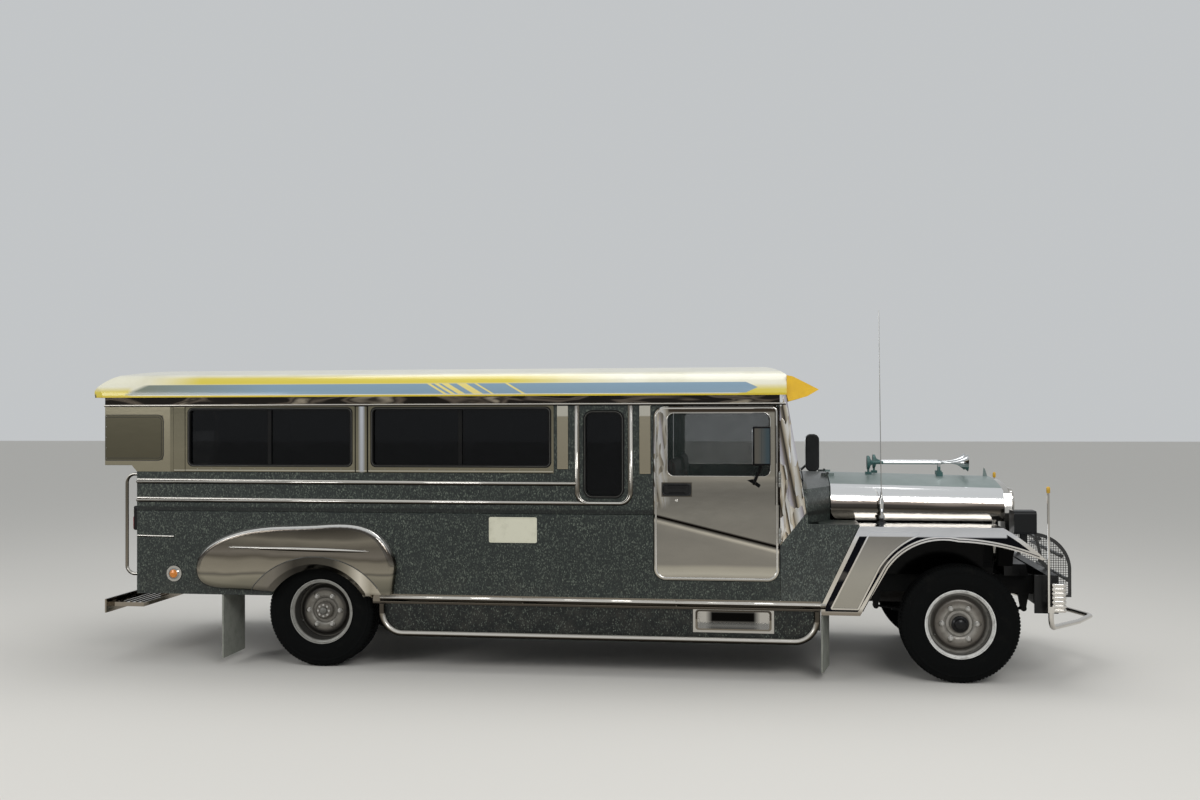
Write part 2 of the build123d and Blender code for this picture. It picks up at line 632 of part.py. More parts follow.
def side_skirt():
    """Right skirt panel under the sill: a pressed field and the recessed boarding step."""
    outer = SKIRT_OUT - BODY_HALF
    panel = slab_y(skirt_outline(0), outer, outer + SKIRT_THICKNESS)
    panel -= slab_y(skirt_outline(SKIRT_FIELD), outer - CUT, outer + 3)
    x0, x1, z0, z1 = POCKET
    land = rounded(x0 - 30, x1 + 30, z0 - 24, z1 + 24, 24)
    panel += slab_y(land, outer, outer + SKIRT_THICKNESS)
    panel -= slab_y(rounded(x0, x1, z0, z1, 16), outer - CUT, outer + SKIRT_THICKNESS + CUT)
    depth = 124
    tray = slab_y(rounded(x0 - 6, x1 + 6, z0 - 6, z1 + 6, 22), outer + SKIRT_THICKNESS, outer + depth)
    tray -= slab_y(rounded(x0, x1, z0, z1, 16), outer - CUT, outer + depth - 6)
    return panel + tray


def skirt_tube():
    """Right bright tube along the skirt's lower edge, turned up at both ends."""
    y = SKIRT_OUT - BODY_HALF - TUBE_R - SEAT_GAP
    z = SKIRT_Z + TUBE_R
    top = SILL_RAIL_Z - SILL_RAIL_WIDTH / 2 - SEAT_GAP
    points = [(SKIRT_REAR_X, y, top), (SKIRT_REAR_X, y, z), (SKIRT_FRONT_X, y, z), (SKIRT_FRONT_X, y, top)]
    return tube(points, TUBE_R, SKIRT_BEND)


# Doors

DOOR_R = 80                                 # both rear corners and the lower front one
DOOR_HEAD_R = 24                            # upper front corner
DOOR_BOTTOM_Z = SILL_TOP_Z + GAP
DOOR_TOP_Z = TOP_RAIL_Z - GAP
DOOR_WINDOW = (DOOR_REAR_X + 92, DOOR_FRONT_X - 62)
DOOR_WINDOW_Z = (1362, 1784)
DOOR_BEAD = 14                              # rolled edge round the door and its window
BEAD_PROUD = 4
HANDLE = (DOOR_REAR_X + 60, DOOR_REAR_X + 246, 1232, 1306)
HINGE_X = DOOR_FRONT_X
HINGE_Y = BODY_HALF + 15
HINGE_ZS = (964, 1340)
HINGE_LENGTH = 66


def ring(x0, x1, z0, z1, radius, width):
    inside = rounded(x0 + width, x1 - width, z0 + width, z1 - width, radius - width)
    return rounded(x0, x1, z0, z1, radius) - inside


def door_outline(inset):
    x0, x1 = DOOR_REAR_X + inset, DOOR_FRONT_X - GAP - inset
    low, top = DOOR_BOTTOM_Z + inset, DOOR_TOP_Z - inset
    radius = DOOR_R - inset
    return smooth_outline(((x0, low, radius), (x1, low, radius), (x1, top, DOOR_HEAD_R - inset),
                           (x0, top, radius)))


def door():
    """Right front door: rolled edges, a sloping crease, the cut window and a lever in a pocket."""
    outer, inner = -BODY_HALF, WALL - BODY_HALF
    x0, x1 = DOOR_REAR_X, DOOR_FRONT_X - GAP
    panel = slab_y(door_outline(0), outer, inner)
    panel += slab_y(door_outline(0) - door_outline(DOOR_BEAD), outer - BEAD_PROUD, outer)
    w0, w1 = DOOR_WINDOW
    low, top = DOOR_WINDOW_Z
    frame = 26
    panel += slab_y(ring(w0 - frame, w1 + frame, low - 12, top + 12, WINDOW_R + 12, 12),
                    outer - BEAD_PROUD, outer)
    panel -= slab_y(rounded(w0, w1, low, top, WINDOW_R), outer - CUT - BEAD_PROUD, inner + CUT)
    # the crease runs down towards the hinges
    start, end = Vector(x0, outer, CREASE_Z - 4), Vector(x1, outer, CREASE_Z - 207)
    plane = Plane(origin=start, x_dir=(0, 1, 0), z_dir=end - start)
    groove = plane * polygon((-BEAD_PROUD - 1, -9), (5, 0), (-BEAD_PROUD - 1, 4))
    panel -= extrude(groove, (end - start).length)
    hx0, hx1, hz0, hz1 = HANDLE
    pocket = 14
    panel -= slab_y(rounded(hx0, hx1, hz0, hz1, 18), outer - CUT, outer + pocket)
    lever = slab_y(rounded(hx0 + 14, hx1 - 14, hz0 + 34, hz1 - 10, 10), outer - 2, outer + pocket + 1)
    panel += lever
    for z in HINGE_ZS:
        leaf_plate = block(HINGE_X - 40, HINGE_X - 2, outer - BEAD_PROUD, outer + 1, z - 20, z + 20)
        leaf_plate += block(HINGE_X - 12, HINGE_X, -HINGE_Y, outer, z - 20, z + 20)
        leaf_plate += rod((HINGE_X, -HINGE_Y, z - 20), (HINGE_X, -HINGE_Y, z + 20), 9)
        panel += leaf_plate
    for z in HINGE_ZS:
        panel -= rod((HINGE_X, -HINGE_Y, z - 40), (HINGE_X, -HINGE_Y, z + 40), 4 + PIN_CLEARANCE)
    return panel


def door_glass():
    inset = SEAT_GAP
    face = rounded(DOOR_WINDOW[0] + inset, DOOR_WINDOW[1] - inset,
                   DOOR_WINDOW_Z[0] + inset, DOOR_WINDOW_Z[1] - inset, WINDOW_R - inset)
    middle = WALL / 2 - BODY_HALF
    return slab_y(face, middle - GLASS_HALF, middle + GLASS_HALF)


MIRROR_X = DOOR_FRONT_X - 118
MIRROR_SIZE = (116, 130, 254)
MIRROR_Z = 1568
MIRROR_FOOT = (MIRROR_X - 52, 1316)         # x and height of the middle of its foot


def door_mirror():
    """Right mirror: a tall head on a cranked arm from the door."""
    outer = -BODY_HALF
    head = Pos(MIRROR_X, outer - 130, MIRROR_Z) * Box(*MIRROR_SIZE)
    head = fillet(head.edges().filter_by(Axis.Z), 22)
    head = fillet(head.edges(), 6)
    foot_x, foot_z = MIRROR_FOOT
    arm_y = outer - 90
    arm = tube([(foot_x, outer - SEAT_GAP, foot_z), (foot_x, arm_y, foot_z),
                (MIRROR_X, arm_y, MIRROR_Z - 118)], 10, 24)
    foot = polygon((foot_x - 44, foot_z + 18), (foot_x - 8, foot_z + 26), (foot_x + 44, foot_z - 12),
                   (foot_x + 34, foot_z - 32))
    return head + arm + slab_y(foot, outer - SEAT_GAP - 12, outer - SEAT_GAP)


def post_mirror():
    """Left mirror: a rounded head on an arm from the windshield post."""
    y = BODY_HALF + 115
    x, z = POST_X + 290, 1450
    head = Pos(x, y, z) * Box(110, 150, 306)
    head = fillet(head.edges().filter_by(Axis.Y), 44)
    head = fillet(head.edges(), 10)
    foot_x, foot_z = POST_X + 110, 1240
    foot = rounded(foot_x - 24, foot_x + 24, foot_z - 42, foot_z + 42, 14)
    arm = rod((foot_x, BODY_HALF + SEAT_GAP + 10, foot_z), (x, y, z - 60), 10)
    post = mirrored(windshield_post())
    plate = slab_y(foot, BODY_HALF - WALL / 2, BODY_HALF + 12) - post - Pos(0, SEAT_GAP, 0) * post
    return head + plate + arm


POST_X = DOOR_FRONT_X + 3
POST_LOW_Z = 905
POST_KNEE_Z = 1120
POST_KNEE = 175                             # the post is this deep at its knee
POST_HEAD = 42


def post_face():
    return polygon((POST_X, POST_LOW_Z), (POST_X + POST_KNEE, POST_KNEE_Z), (POST_X + POST_HEAD, WALL_TOP_Z),
                   (POST_X, WALL_TOP_Z))


def windshield_post():
    """Right side panel between door and windshield, folded along a line from head to foot.

    It carries the fixed half of each door hinge.
    """
    outer = -BODY_HALF
    post = slab_y(post_face(), outer, WALL - BODY_HALF)
    # in front of the fold the skin turns inwards
    top, foot = Vector(POST_X + 12, outer, WALL_TOP_Z), Vector(POST_X + 100, outer, POST_LOW_Z + 100)
    fold = (top - foot).normalized()
    tilt = radians(9)
    forward = Vector(fold.Z, 0, -fold.X)
    normal = Vector(forward.X * sin(tilt), -cos(tilt), forward.Z * sin(tilt))
    past_fold = Plane(origin=foot, x_dir=fold, z_dir=normal) * (Pos(500, -200) * Rectangle(1400, 400))
    post -= extrude(past_fold, 60)
    for z in HINGE_ZS:
        for side in (-1, 1):
            z0, z1 = sorted((z + side * 22, z + side * HINGE_LENGTH / 2))
            post += rod((HINGE_X, -HINGE_Y, z0), (HINGE_X, -HINGE_Y, z1), 9)
            post += block(HINGE_X, HINGE_X + 12, -HINGE_Y, outer, z0, z1)
            post += block(HINGE_X + 3, HINGE_X + 12, outer - 4, outer + 1, z0, z1)
        post += rod((HINGE_X, -HINGE_Y, z - 30), (HINGE_X, -HINGE_Y, z + 30), 4)
    return post


# Nose

HOOD_BOTTOM_Z = FENDER_Z + 12
HOOD_SHOULDER_Z = HOOD_Z - 70
HOOD_DROP = 26                              # the crown falls towards the grille
HOOD_TAPER = 10                             # and each side draws in
HOOD_SHOULDER = 50                          # the crown starts this far in from the side
SIDE_TUCK = 14                              # the side's lower edge tucks in


def hood_face(half, bottom, shoulder, crown, inset=0):
    """Cross-section of hood and cowl: bulged sides and a low crown, as (y, z)."""
    w = half - inset
    top = shoulder - inset
    right = ThreePointArc((SIDE_TUCK - w, bottom), (-w, (bottom + top) / 2), (HOOD_SHOULDER - w, top))
    arch = ThreePointArc((HOOD_SHOULDER - w, top), (0, crown - inset), (w - HOOD_SHOULDER, top))
    left = ThreePointArc((w - HOOD_SHOULDER, top), (w, (bottom + top) / 2), (w - SIDE_TUCK, bottom))
    base = Line((w - SIDE_TUCK, bottom), (SIDE_TUCK - w, bottom))
    return make_face(Wire([right, arch, left, base]))


def hood_form(inset=0, past=0):
    """The hood's outside, or its inside when inset, run past both ends and the bottom."""
    low = HOOD_BOTTOM_Z - 4 * past
    rear = hood_face(HOOD_HALF, low, HOOD_SHOULDER_Z, HOOD_Z, inset)
    front = hood_face(HOOD_HALF - HOOD_TAPER, low, HOOD_SHOULDER_Z - HOOD_DROP, HOOD_Z - HOOD_DROP, inset)
    return loft([section_at(HOOD_REAR_X - past, rear), section_at(HOOD_FRONT_X + past, front)])


HOOD_HINGE_X = HOOD_REAR_X - GAP / 2
HOOD_HINGE_Z = HOOD_Z + 5
HOOD_HINGE_Y = 250
HOOD_LEAF_Z = HOOD_Z - 19
HOOD_KNUCKLE_R = 8
HOOD_PIN_R = 4
HOOD_CORNER_R = 70


def hood_hinge(y, half, front):
    """One leaf of a hood hinge with its knuckle, in front of or behind the joint."""
    x, z = HOOD_HINGE_X, HOOD_HINGE_Z
    plate = block(x, x + front * 45, y - half, y + half, HOOD_LEAF_Z, z)
    return plate + rod((x, y - half, z), (x, y + half, z), HOOD_KNUCKLE_R)


def hood_pin(y, half, radius):
    x, z = HOOD_HINGE_X, HOOD_HINGE_Z
    return rod((x, y - half, z), (x, y + half, z), radius)


def hood():
    """Pressed lid with bulged sides, rounded lower rear corners and a bead along each side."""
    lid = hood_form() - hood_form(SHEET, CUT)
    corner_low = HOOD_BOTTOM_Z
    corner = block(HOOD_REAR_X - CUT, HOOD_REAR_X + HOOD_CORNER_R, -HOOD_HALF - CUT, HOOD_HALF + CUT,
                   corner_low - CUT, corner_low + HOOD_CORNER_R)
    corner -= rod((HOOD_REAR_X + HOOD_CORNER_R, -HOOD_HALF - 2 * CUT, corner_low + HOOD_CORNER_R),
                  (HOOD_REAR_X + HOOD_CORNER_R, HOOD_HALF + 2 * CUT, corner_low + HOOD_CORNER_R),
                  HOOD_CORNER_R)
    lid -= corner
    for y in (-HOOD_HINGE_Y, HOOD_HINGE_Y):
        lid += hood_hinge(y, 10, 1)
        lid -= hood_pin(y, 12, HOOD_PIN_R + PIN_CLEARANCE)
    # a small blank fin on the nose of the lid
    fx, z = HOOD_FRONT_X, HOOD_Z - HOOD_DROP
    fin = polygon((fx - 40, z - 4), (fx - 8, z - 4), (fx - 24, z + 52), (fx - 34, z + 62))
    return lid + slab_y(fin, -4, 4)


COWL_REAR_X = POST_X + 118


def cowl_form(inset=0, past=0):
    """Outside of the cowl: as wide as the body, then drawn in to the hood."""
    low = HOOD_BOTTOM_Z - 4 * past
    wide = hood_face(BODY_HALF, low, HOOD_SHOULDER_Z, HOOD_Z, inset)
    narrow = hood_face(HOOD_HALF, low, HOOD_SHOULDER_Z, HOOD_Z, inset)
    front = HOOD_REAR_X - GAP - (12 if inset else 0)
    form = slab_x(wide, COWL_REAR_X - past, COWL_WIDE_X)
    return form + loft([section_at(COWL_WIDE_X, wide), section_at(front, narrow)])


def cowl():
    """Cowl top and sides, the firewall and the ledges beside the hood."""
    front = HOOD_REAR_X - GAP
    post = slab_y(post_face(), -BODY_HALF - CUT, WALL - BODY_HALF)
    body = cowl_form() - cowl_form(SHEET, CUT) - post - mirrored(post)
    side = polygon((POST_X, SILL_Z), (SILL_FRONT_X, SILL_Z), (FENDER_CORNER_X, HOOD_BOTTOM_Z),
                   (COWL_WIDE_X, HOOD_BOTTOM_Z), (COWL_WIDE_X, POST_KNEE_Z),
                   (POST_X + POST_KNEE, POST_KNEE_Z), (POST_X, POST_LOW_Z))
    side_plate = slab_y(side, -BODY_HALF, WALL - BODY_HALF)
    body += side_plate + mirrored(side_plate)
    ledge = polygon((FIREWALL_X, -BODY_HALF), (FENDER_CORNER_X, -BODY_HALF),
                    (FENDER_CORNER_X, -HOOD_HALF), (front, -HOOD_HALF), (front, HOOD_HALF),
                    (FENDER_CORNER_X, HOOD_HALF), (FENDER_CORNER_X, BODY_HALF), (FIREWALL_X, BODY_HALF))
    body += slab_z(ledge, HOOD_BOTTOM_Z - SHEET, HOOD_BOTTOM_Z)
    body += block(FIREWALL_X, FIREWALL_X + SHEET, WALL - BODY_HALF, BODY_HALF - WALL,
                  RAIL_TOP_Z + SEAT_GAP, HOOD_BOTTOM_Z - 4)
    for y in (-HOOD_HINGE_Y, HOOD_HINGE_Y):
        for shift in (-19, 19):
            body += hood_hinge(y + shift, 7, -1)
        body += hood_pin(y, 25, HOOD_PIN_R)
    return body


SCREEN_HALF = BODY_HALF - WALL - SEAT_GAP
SCREEN_BASE = (POST_X + 150, 1300)          # x and z of the windshield's foot
SCREEN_HEIGHT = 610
SCREEN_THICKNESS = 30
SCREEN_LEAN = atan2(110, 495)
PANE_R = 40


def screen_plane():
    x, z = SCREEN_BASE
    return Plane(origin=(x, 0, z), x_dir=(0, 1, 0), z_dir=(cos(SCREEN_LEAN), 0, sin(SCREEN_LEAN)))


def screen_pane(side, inset):
    """One of the two windshield openings, in the frame's own plane."""
    width, height = SCREEN_HALF - 80, SCREEN_HEIGHT - 150
    middle = (side * (SCREEN_HALF / 2 + 2), SCREEN_HEIGHT / 2 + 20)
    return Pos(*middle) * RectangleRounded(width - 2 * inset, height - 2 * inset, PANE_R - inset)


def windshield_frame():
    """Raked frame with a centre post and two panes' openings."""
    plane = screen_plane()
    frame = extrude(plane * (Pos(0, SCREEN_HEIGHT / 2) * Rectangle(2 * SCREEN_HALF, SCREEN_HEIGHT)),
                    -SCREEN_THICKNESS)
    for side in (-1, 1):
        frame -= extrude(plane.offset(CUT) * screen_pane(side, 0), -SCREEN_THICKNESS - 2 * CUT)
    x = SCREEN_BASE[0]
    frame -= block(x - 400, x + 300, -SCREEN_HALF - CUT, SCREEN_HALF + CUT, WALL_TOP_Z, WALL_TOP_Z + 300)
    return frame - cowl_form() - Pos(0, 0, SEAT_GAP) * cowl_form()


def windshield_panes():
    plane = screen_plane().offset(-SCREEN_THICKNESS / 2 + GLASS_HALF)
    return [extrude(plane * screen_pane(side, SEAT_GAP), -2 * GLASS_HALF) for side in (-1, 1)]


GRILLE_BOTTOM_Z = 740
GRILLE_HALF = HOOD_HALF - SHEET - 14
GRILLE_OPENING = (GRILLE_HALF - 95, 810, 1230)     # half width, bottom and top
SLAT_COUNT = 11
SLAT_HALF = 9


def grille():
    """Radiator shell inside the line of the hood: a raised frame round upright slats."""
    drop = HOOD_DROP + 20
    shell_face = hood_face(GRILLE_HALF, GRILLE_BOTTOM_Z, HOOD_SHOULDER_Z - drop, HOOD_Z - drop)
    shell = slab_x(shell_face, HOOD_FRONT_X - 40, GRILLE_FRONT_X - 24)
    half, low, top = GRILLE_OPENING
    frame_face = rounded(-half - 34, half + 34, low - 30, top + 30, 84)
    frame = slab_x(frame_face, GRILLE_FRONT_X - 26, GRILLE_FRONT_X)
    shell += fillet(frame.faces().sort_by(Axis.X)[-1].edges(), 12)
    shell -= slab_x(rounded(-half, half, low, top, 56), HOOD_FRONT_X - 40 - CUT, GRILLE_FRONT_X + CUT)
    pitch = 2 * half / (SLAT_COUNT + 1)
    for index in range(SLAT_COUNT):
        y = -half + pitch * (index + 1)
        x = GRILLE_FRONT_X - 34
        nose = ThreePointArc((y - SLAT_HALF, x + 16), (y, x + 26), (y + SLAT_HALF, x + 16))
        sides = Polyline((y + SLAT_HALF, x + 16), (y + SLAT_HALF, x), (y - SLAT_HALF, x),
                         (y - SLAT_HALF, x + 16))
        slat = make_face(Wire([nose, *sides.edges()]))
        plane = Plane(origin=(0, 0, low - 2), x_dir=(0, 1, 0), z_dir=(0, 0, -1))
        shell += extrude(plane * slat, low - top - 4)
    return shell


BORDER = 26                                 # raised border round the fender's side
BORDER_PROUD = 7
FIELD = 48                                  # the sunk field starts this far in
FIELD_RIM = 10                              # width of the bead round the field
FENDER_LOW_Z = SILL_Z - 62


def fender_face():
    """Side view of the front fender: flat top, slanted rear edge and arch."""
    fx = FRONT_AXLE_X
    top = [(SILL_FRONT_X, SILL_Z), (FENDER_CORNER_X, FENDER_Z), (fx + 262, FENDER_Z)]
    tip, lip_end = (fx + 525, FENDER_Z - 201), (fx + 505, FENDER_Z - 206)
    arch_top = (fx - 20, 938)
    haunch = (fx - 470, 760)
    toe = fx - 652
    nose = ThreePointArc(top[2], (fx + 398, FENDER_Z - 90), tip)
    lip = Line(tip, lip_end)
    under = ThreePointArc(lip_end, (fx + 270, 902), arch_top)
    back = ThreePointArc(arch_top, (fx - 318, 897), haunch)
    leg = Line(haunch, (toe, FENDER_LOW_Z))
    foot = Line((toe, FENDER_LOW_Z), (SILL_FRONT_X, FENDER_LOW_Z))
    up = Line((SILL_FRONT_X, FENDER_LOW_Z), top[0])
    rear_edge, crown = Line(top[0], top[1]), Line(top[1], top[2])
    return make_face(Wire([rear_edge, crown, nose, lip, under, back, leg, foot, up]))


def fender_band():
    return slab_y(fender_face(), -BODY_HALF, -HOOD_HALF)


def fender_field():
    """The sunk field between the slanted rear edge and the arch."""
    fx = FRONT_AXLE_X
    top = FENDER_Z - FIELD
    low = FENDER_LOW_Z + FIELD
    front = ThreePointArc((fx - 270, top), (fx - 425, top - 97), (fx - 530, top - 217))
    edges = Polyline((fx - 530, top - 217), (fx - 668, low), (fx - 832, low), (fx - 585, top),
                     (fx - 270, top))
    return make_face(Wire([front, *edges.edges()]))


def fender():
    """Right front fender, hollow and open inboard, with the shelf and the inner wing.

    Its side has a raised border along every edge, and a beaded, sunk field behind the arch.
    """
    outer = -BODY_HALF
    face = fender_face()
    band = fender_band()
    border = face - offset(face, -BORDER, kind=Kind.INTERSECTION)
    band += slab_y(border, outer - BORDER_PROUD, outer + 1)
    hollow = offset(face, -SHEET, kind=Kind.INTERSECTION)
    band -= slab_y(hollow, outer + SHEET, -HOOD_HALF + CUT)
    field = fender_field()
    rim = offset(field, FIELD_RIM) - field
    band += slab_y(rim, outer - BORDER_PROUD + 1, outer + 1)
    band -= slab_y(field, outer - CUT, outer + 4)
    shelf = block(HOOD_REAR_X, HOOD_FRONT_X - 50, -HOOD_HALF, -WING_HALF, FENDER_Z - SHEET, FENDER_Z)
    wing = block(HOOD_REAR_X, HOOD_FRONT_X - 50, -WING_HALF - SHEET, -WING_HALF, RAIL_TOP_Z, FENDER_Z)
    return band + shelf + wing


SPAT_BULGE = 58
SPAT_EDGE_R = 45
SPAT_FLARE = (44, 40)                       # depth and width of the turned-in lip of its opening


def spat_outline():
    """Side view of the teardrop: a long arched back, a steep front and a tucked-up tail."""
    rx = REAR_AXLE_X
    tail, front = (rx - 890, 690), (rx + 571, 700)
    foot, heel = (rx + 545, 500), (rx - 640, 549)
    back = Spline(tail, (rx - 620, 945), (rx - 20, 1014), (rx + 470, 930), front,
                  tangents=((0, 1), (-0.13, -1)), tangent_scalars=(1.1, 0.8))
    tuck = Spline(heel, tail, tangents=((-1, 0.04), (0, 1)))
    return make_face(Wire([back, Line(front, foot), Line(foot, heel), tuck]))


def spat():
    """Right rear teardrop fender: a rolled edge, a spear on its flank and a turned-in wheel opening."""
    rx, outer = REAR_AXLE_X, -BODY_HALF
    body = slab_y(spat_outline(), outer - SPAT_BULGE, outer - SEAT_GAP)
    body = fillet(body.faces().sort_by(Axis.Y)[0].edges(), SPAT_EDGE_R)
    opening_r = ARCH_R - 6
    opening = rod((rx, outer - SPAT_BULGE - CUT, ARCH_Z), (rx, outer + CUT, ARCH_Z), opening_r)
    body -= opening
    flare = Pos(rx, outer - SPAT_BULGE + SPAT_FLARE[0] / 2, ARCH_Z) * Rot(90, 0, 0)
    body -= flare * Cone(opening_r, opening_r + SPAT_FLARE[1], SPAT_FLARE[0])
    # the spear: a long lens that thins to both ends
    z = 833
    upper = ThreePointArc((rx - 628, z), (rx - 60, z + 15), (rx + 400, z - 4))
    lower = ThreePointArc((rx + 400, z - 4), (rx - 60, z - 15), (rx - 628, z))
    body += slab_y(make_face(Wire([upper, lower])), outer - SPAT_BULGE - 8, outer - SPAT_BULGE + 20)
    # a notch clears the sill rail's end
    body -= block(rx + 399, rx + 700, outer - SPAT_BULGE - CUT, outer + CUT, 0,
                  SILL_RAIL_Z + SILL_RAIL_WIDTH / 2 + SEAT_GAP)
    return body


# Roof

ROOF_SKIN = 22
ROOF_CORNER_CUTS = ((110, 40), (40, 110))   # how far each corner facet runs along and across


def roof_form(inset, low):
    """Cross-section with rounded shoulders, met by the side view's rounded ends."""
    half = ROOF_HALF - inset
    top = ROOF_TOP_Z - inset
    x0, x1 = ROOF_REAR_X + inset, ROOF_FRONT_X - inset
    foot = WALL_TOP_Z + 15
    shoulder = (half - 170, top - 50)
    bulge = (half - 45, WALL_TOP_Z + 110)
    section = make_face(Wire([
        Line((-half, low), (-half, foot)),
        ThreePointArc((-half, foot), (-bulge[0], bulge[1]), (-shoulder[0], shoulder[1])),
        ThreePointArc((-shoulder[0], shoulder[1]), (0, top), shoulder),
        ThreePointArc(shoulder, bulge, (half, foot)),
        Line((half, foot), (half, low)),
        Line((half, low), (-half, low)),
    ]))
    side = make_face(Wire([
        Line((x0 - 1, low - 1), (x0 - 1, WALL_TOP_Z + 10)),
        ThreePointArc((x0 - 1, WALL_TOP_Z + 10), (x0 + 150, top - 66), (x0 + 520, top + 1)),
        Line((x0 + 520, top + 1), (x1 - 350, top + 1)),
        ThreePointArc((x1 - 350, top + 1), (x1 - 100, top - 22), (x1 + 1, top - 80)),
        Line((x1 + 1, top - 80), (x1 + 1, low - 1)),
        Line((x1 + 1, low - 1), (x0 - 1, low - 1)),
    ]))
    return slab_x(section, x0, x1) & slab_y(side, -ROOF_HALF - 10, ROOF_HALF + 10)


def roof():
    """Domed roof shell with its rear corners broken by two facets each."""
    shell = roof_form(0, WALL_TOP_Z) - roof_form(ROOF_SKIN, WALL_TOP_Z - CUT)
    x, y = ROOF_REAR_X - 1, ROOF_HALF + 1
    for along, across in ROOF_CORNER_CUTS:
        corner = slab_z(polygon((x, y), (x + along, y), (x, y - across)), WALL_TOP_Z - CUT, ROOF_TOP_Z)
        for cutter in both(corner):
            shell -= cutter
    return shell


def roof_visor():
    """Sheet-metal sun visor: a peaked box open underneath and behind."""
    x = ROOF_FRONT_X + SEAT_GAP
    outline = polygon((x + 12, WALL_TOP_Z - 45), (x, WALL_TOP_Z + 2), (x, ROOF_TOP_Z - 84),
                      (x + 40, ROOF_TOP_Z - 92), (x + 212, WALL_TOP_Z + 34), (x + 135, WALL_TOP_Z - 11))
    half = ROOF_HALF - 20
    visor = slab_y(outline, -half, half)
    hollow = polygon((x - CUT, WALL_TOP_Z - 60), (x - CUT, ROOF_TOP_Z - 96), (x + 36, ROOF_TOP_Z - 104),
                     (x + 196, WALL_TOP_Z + 28), (x + 125, WALL_TOP_Z - 60))
    return visor - slab_y(hollow, -half + 10, half - 10)


# Rear end

REAR_PLATE = 30
ENTRANCE_TOP_Z = 1800
QUARTER = (610, 1600, 380, 330)             # rear quarter windows: y, z, width, height


def quarter_face(side, inset):
    y, z, width, height = QUARTER
    return Pos(side * y, z) * RectangleRounded(width - 2 * inset, height - 2 * inset, WINDOW_R - inset)


def rear_frame():
    """Rear bulkhead with the entrance, its rolled door frame and the blank board between the ears."""
    x0, x1 = BODY_REAR_X, BODY_REAR_X + REAR_PLATE
    half = BODY_HALF - WALL - SEAT_GAP
    plate = block(x0, x1, -half, half, SILL_Z + 54, WALL_TOP_Z)
    middle_z, height = (FLOOR_Z + ENTRANCE_TOP_Z) / 2, ENTRANCE_TOP_Z - FLOOR_Z
    bead = 24
    frame = Pos(0, middle_z) * RectangleRounded(2 * (ENTRANCE_HALF + bead), height + 2 * bead, 60 + bead)
    plate += slab_x(frame, x0 - 8, x0)
    doorway = Pos(0, middle_z) * RectangleRounded(2 * ENTRANCE_HALF, height, 60)
    plate -= slab_x(doorway, x0 - 2 * CUT, x1 + CUT)
    for side in (-1, 1):
        plate -= slab_x(quarter_face(side, 0), x0 - CUT, x1 + CUT)
        y = side * ARM_Y
        plate -= block(x0 - CUT, x1 + CUT, y - 27, y + 27, SILL_Z, ARM_TOP_Z + 2)
    board = slab_x(rounded(-half, half, 1640, WALL_TOP_Z, 30), EAR_REAR_X, EAR_REAR_X + 25)
    field = slab_x(rounded(-half + 40, half - 40, 1680, WALL_TOP_Z - 40, 20),
                   EAR_REAR_X - CUT, EAR_REAR_X + 4)
    return [plate, board - field]


def rear_panes():
    x = BODY_REAR_X + REAR_PLATE / 2
    return [slab_x(quarter_face(side, SEAT_GAP), x - GLASS_HALF, x + GLASS_HALF) for side in (-1, 1)]


STEP_REAR_X = BODY_REAR_X - 300
STEP_HALF = 760
ARM_Y = RAIL_HALF - 30                      # step arms, in line with the chassis rails
ARM_TOP_Z = RAIL_Z + 100
TOW_HOLE_R = 10
TOW_Y = 250                                 # front towing eyes


def rear_step():
    """Boarding platform with cleats, its bumper lip and two arms from the chassis rails."""
    low = 380
    deck = block(STEP_REAR_X, BODY_REAR_X - 40, -STEP_HALF, STEP_HALF, low, low + 30)
    bumper = slab_z(rounded(STEP_REAR_X - 12, STEP_REAR_X + 2, -STEP_HALF - 60, STEP_HALF + 60, 6),
                    low - 40, low + 60)
    deck += bumper
    for index in range(5):
        x = STEP_REAR_X + 50 + 45 * index
        deck += block(x - 6, x + 6, -STEP_HALF + 30, STEP_HALF - 30, low + 29, low + 35)
    for side in (-1, 1):
        y = side * ARM_Y
        arm = polygon((BODY_REAR_X - 110, low + 30), (BODY_REAR_X - 40, low + 30),
                      (BODY_REAR_X - 40, RAIL_Z + 20), (RAIL_REAR_X - SEAT_GAP, RAIL_Z + 20),
                      (RAIL_REAR_X - SEAT_GAP, ARM_TOP_Z), (BODY_REAR_X - 60, ARM_TOP_Z))
        deck += slab_y(arm, y - 25, y + 25)
    deck += block(STEP_REAR_X - 52, STEP_REAR_X - 12, -22, 22, low, low + 20)
    deck -= rod((STEP_REAR_X - 30, 0, low - 10), (STEP_REAR_X - 30, 0, low + 30), TOW_HOLE_R)
    return deck


REAR_LAMP_Y = 820


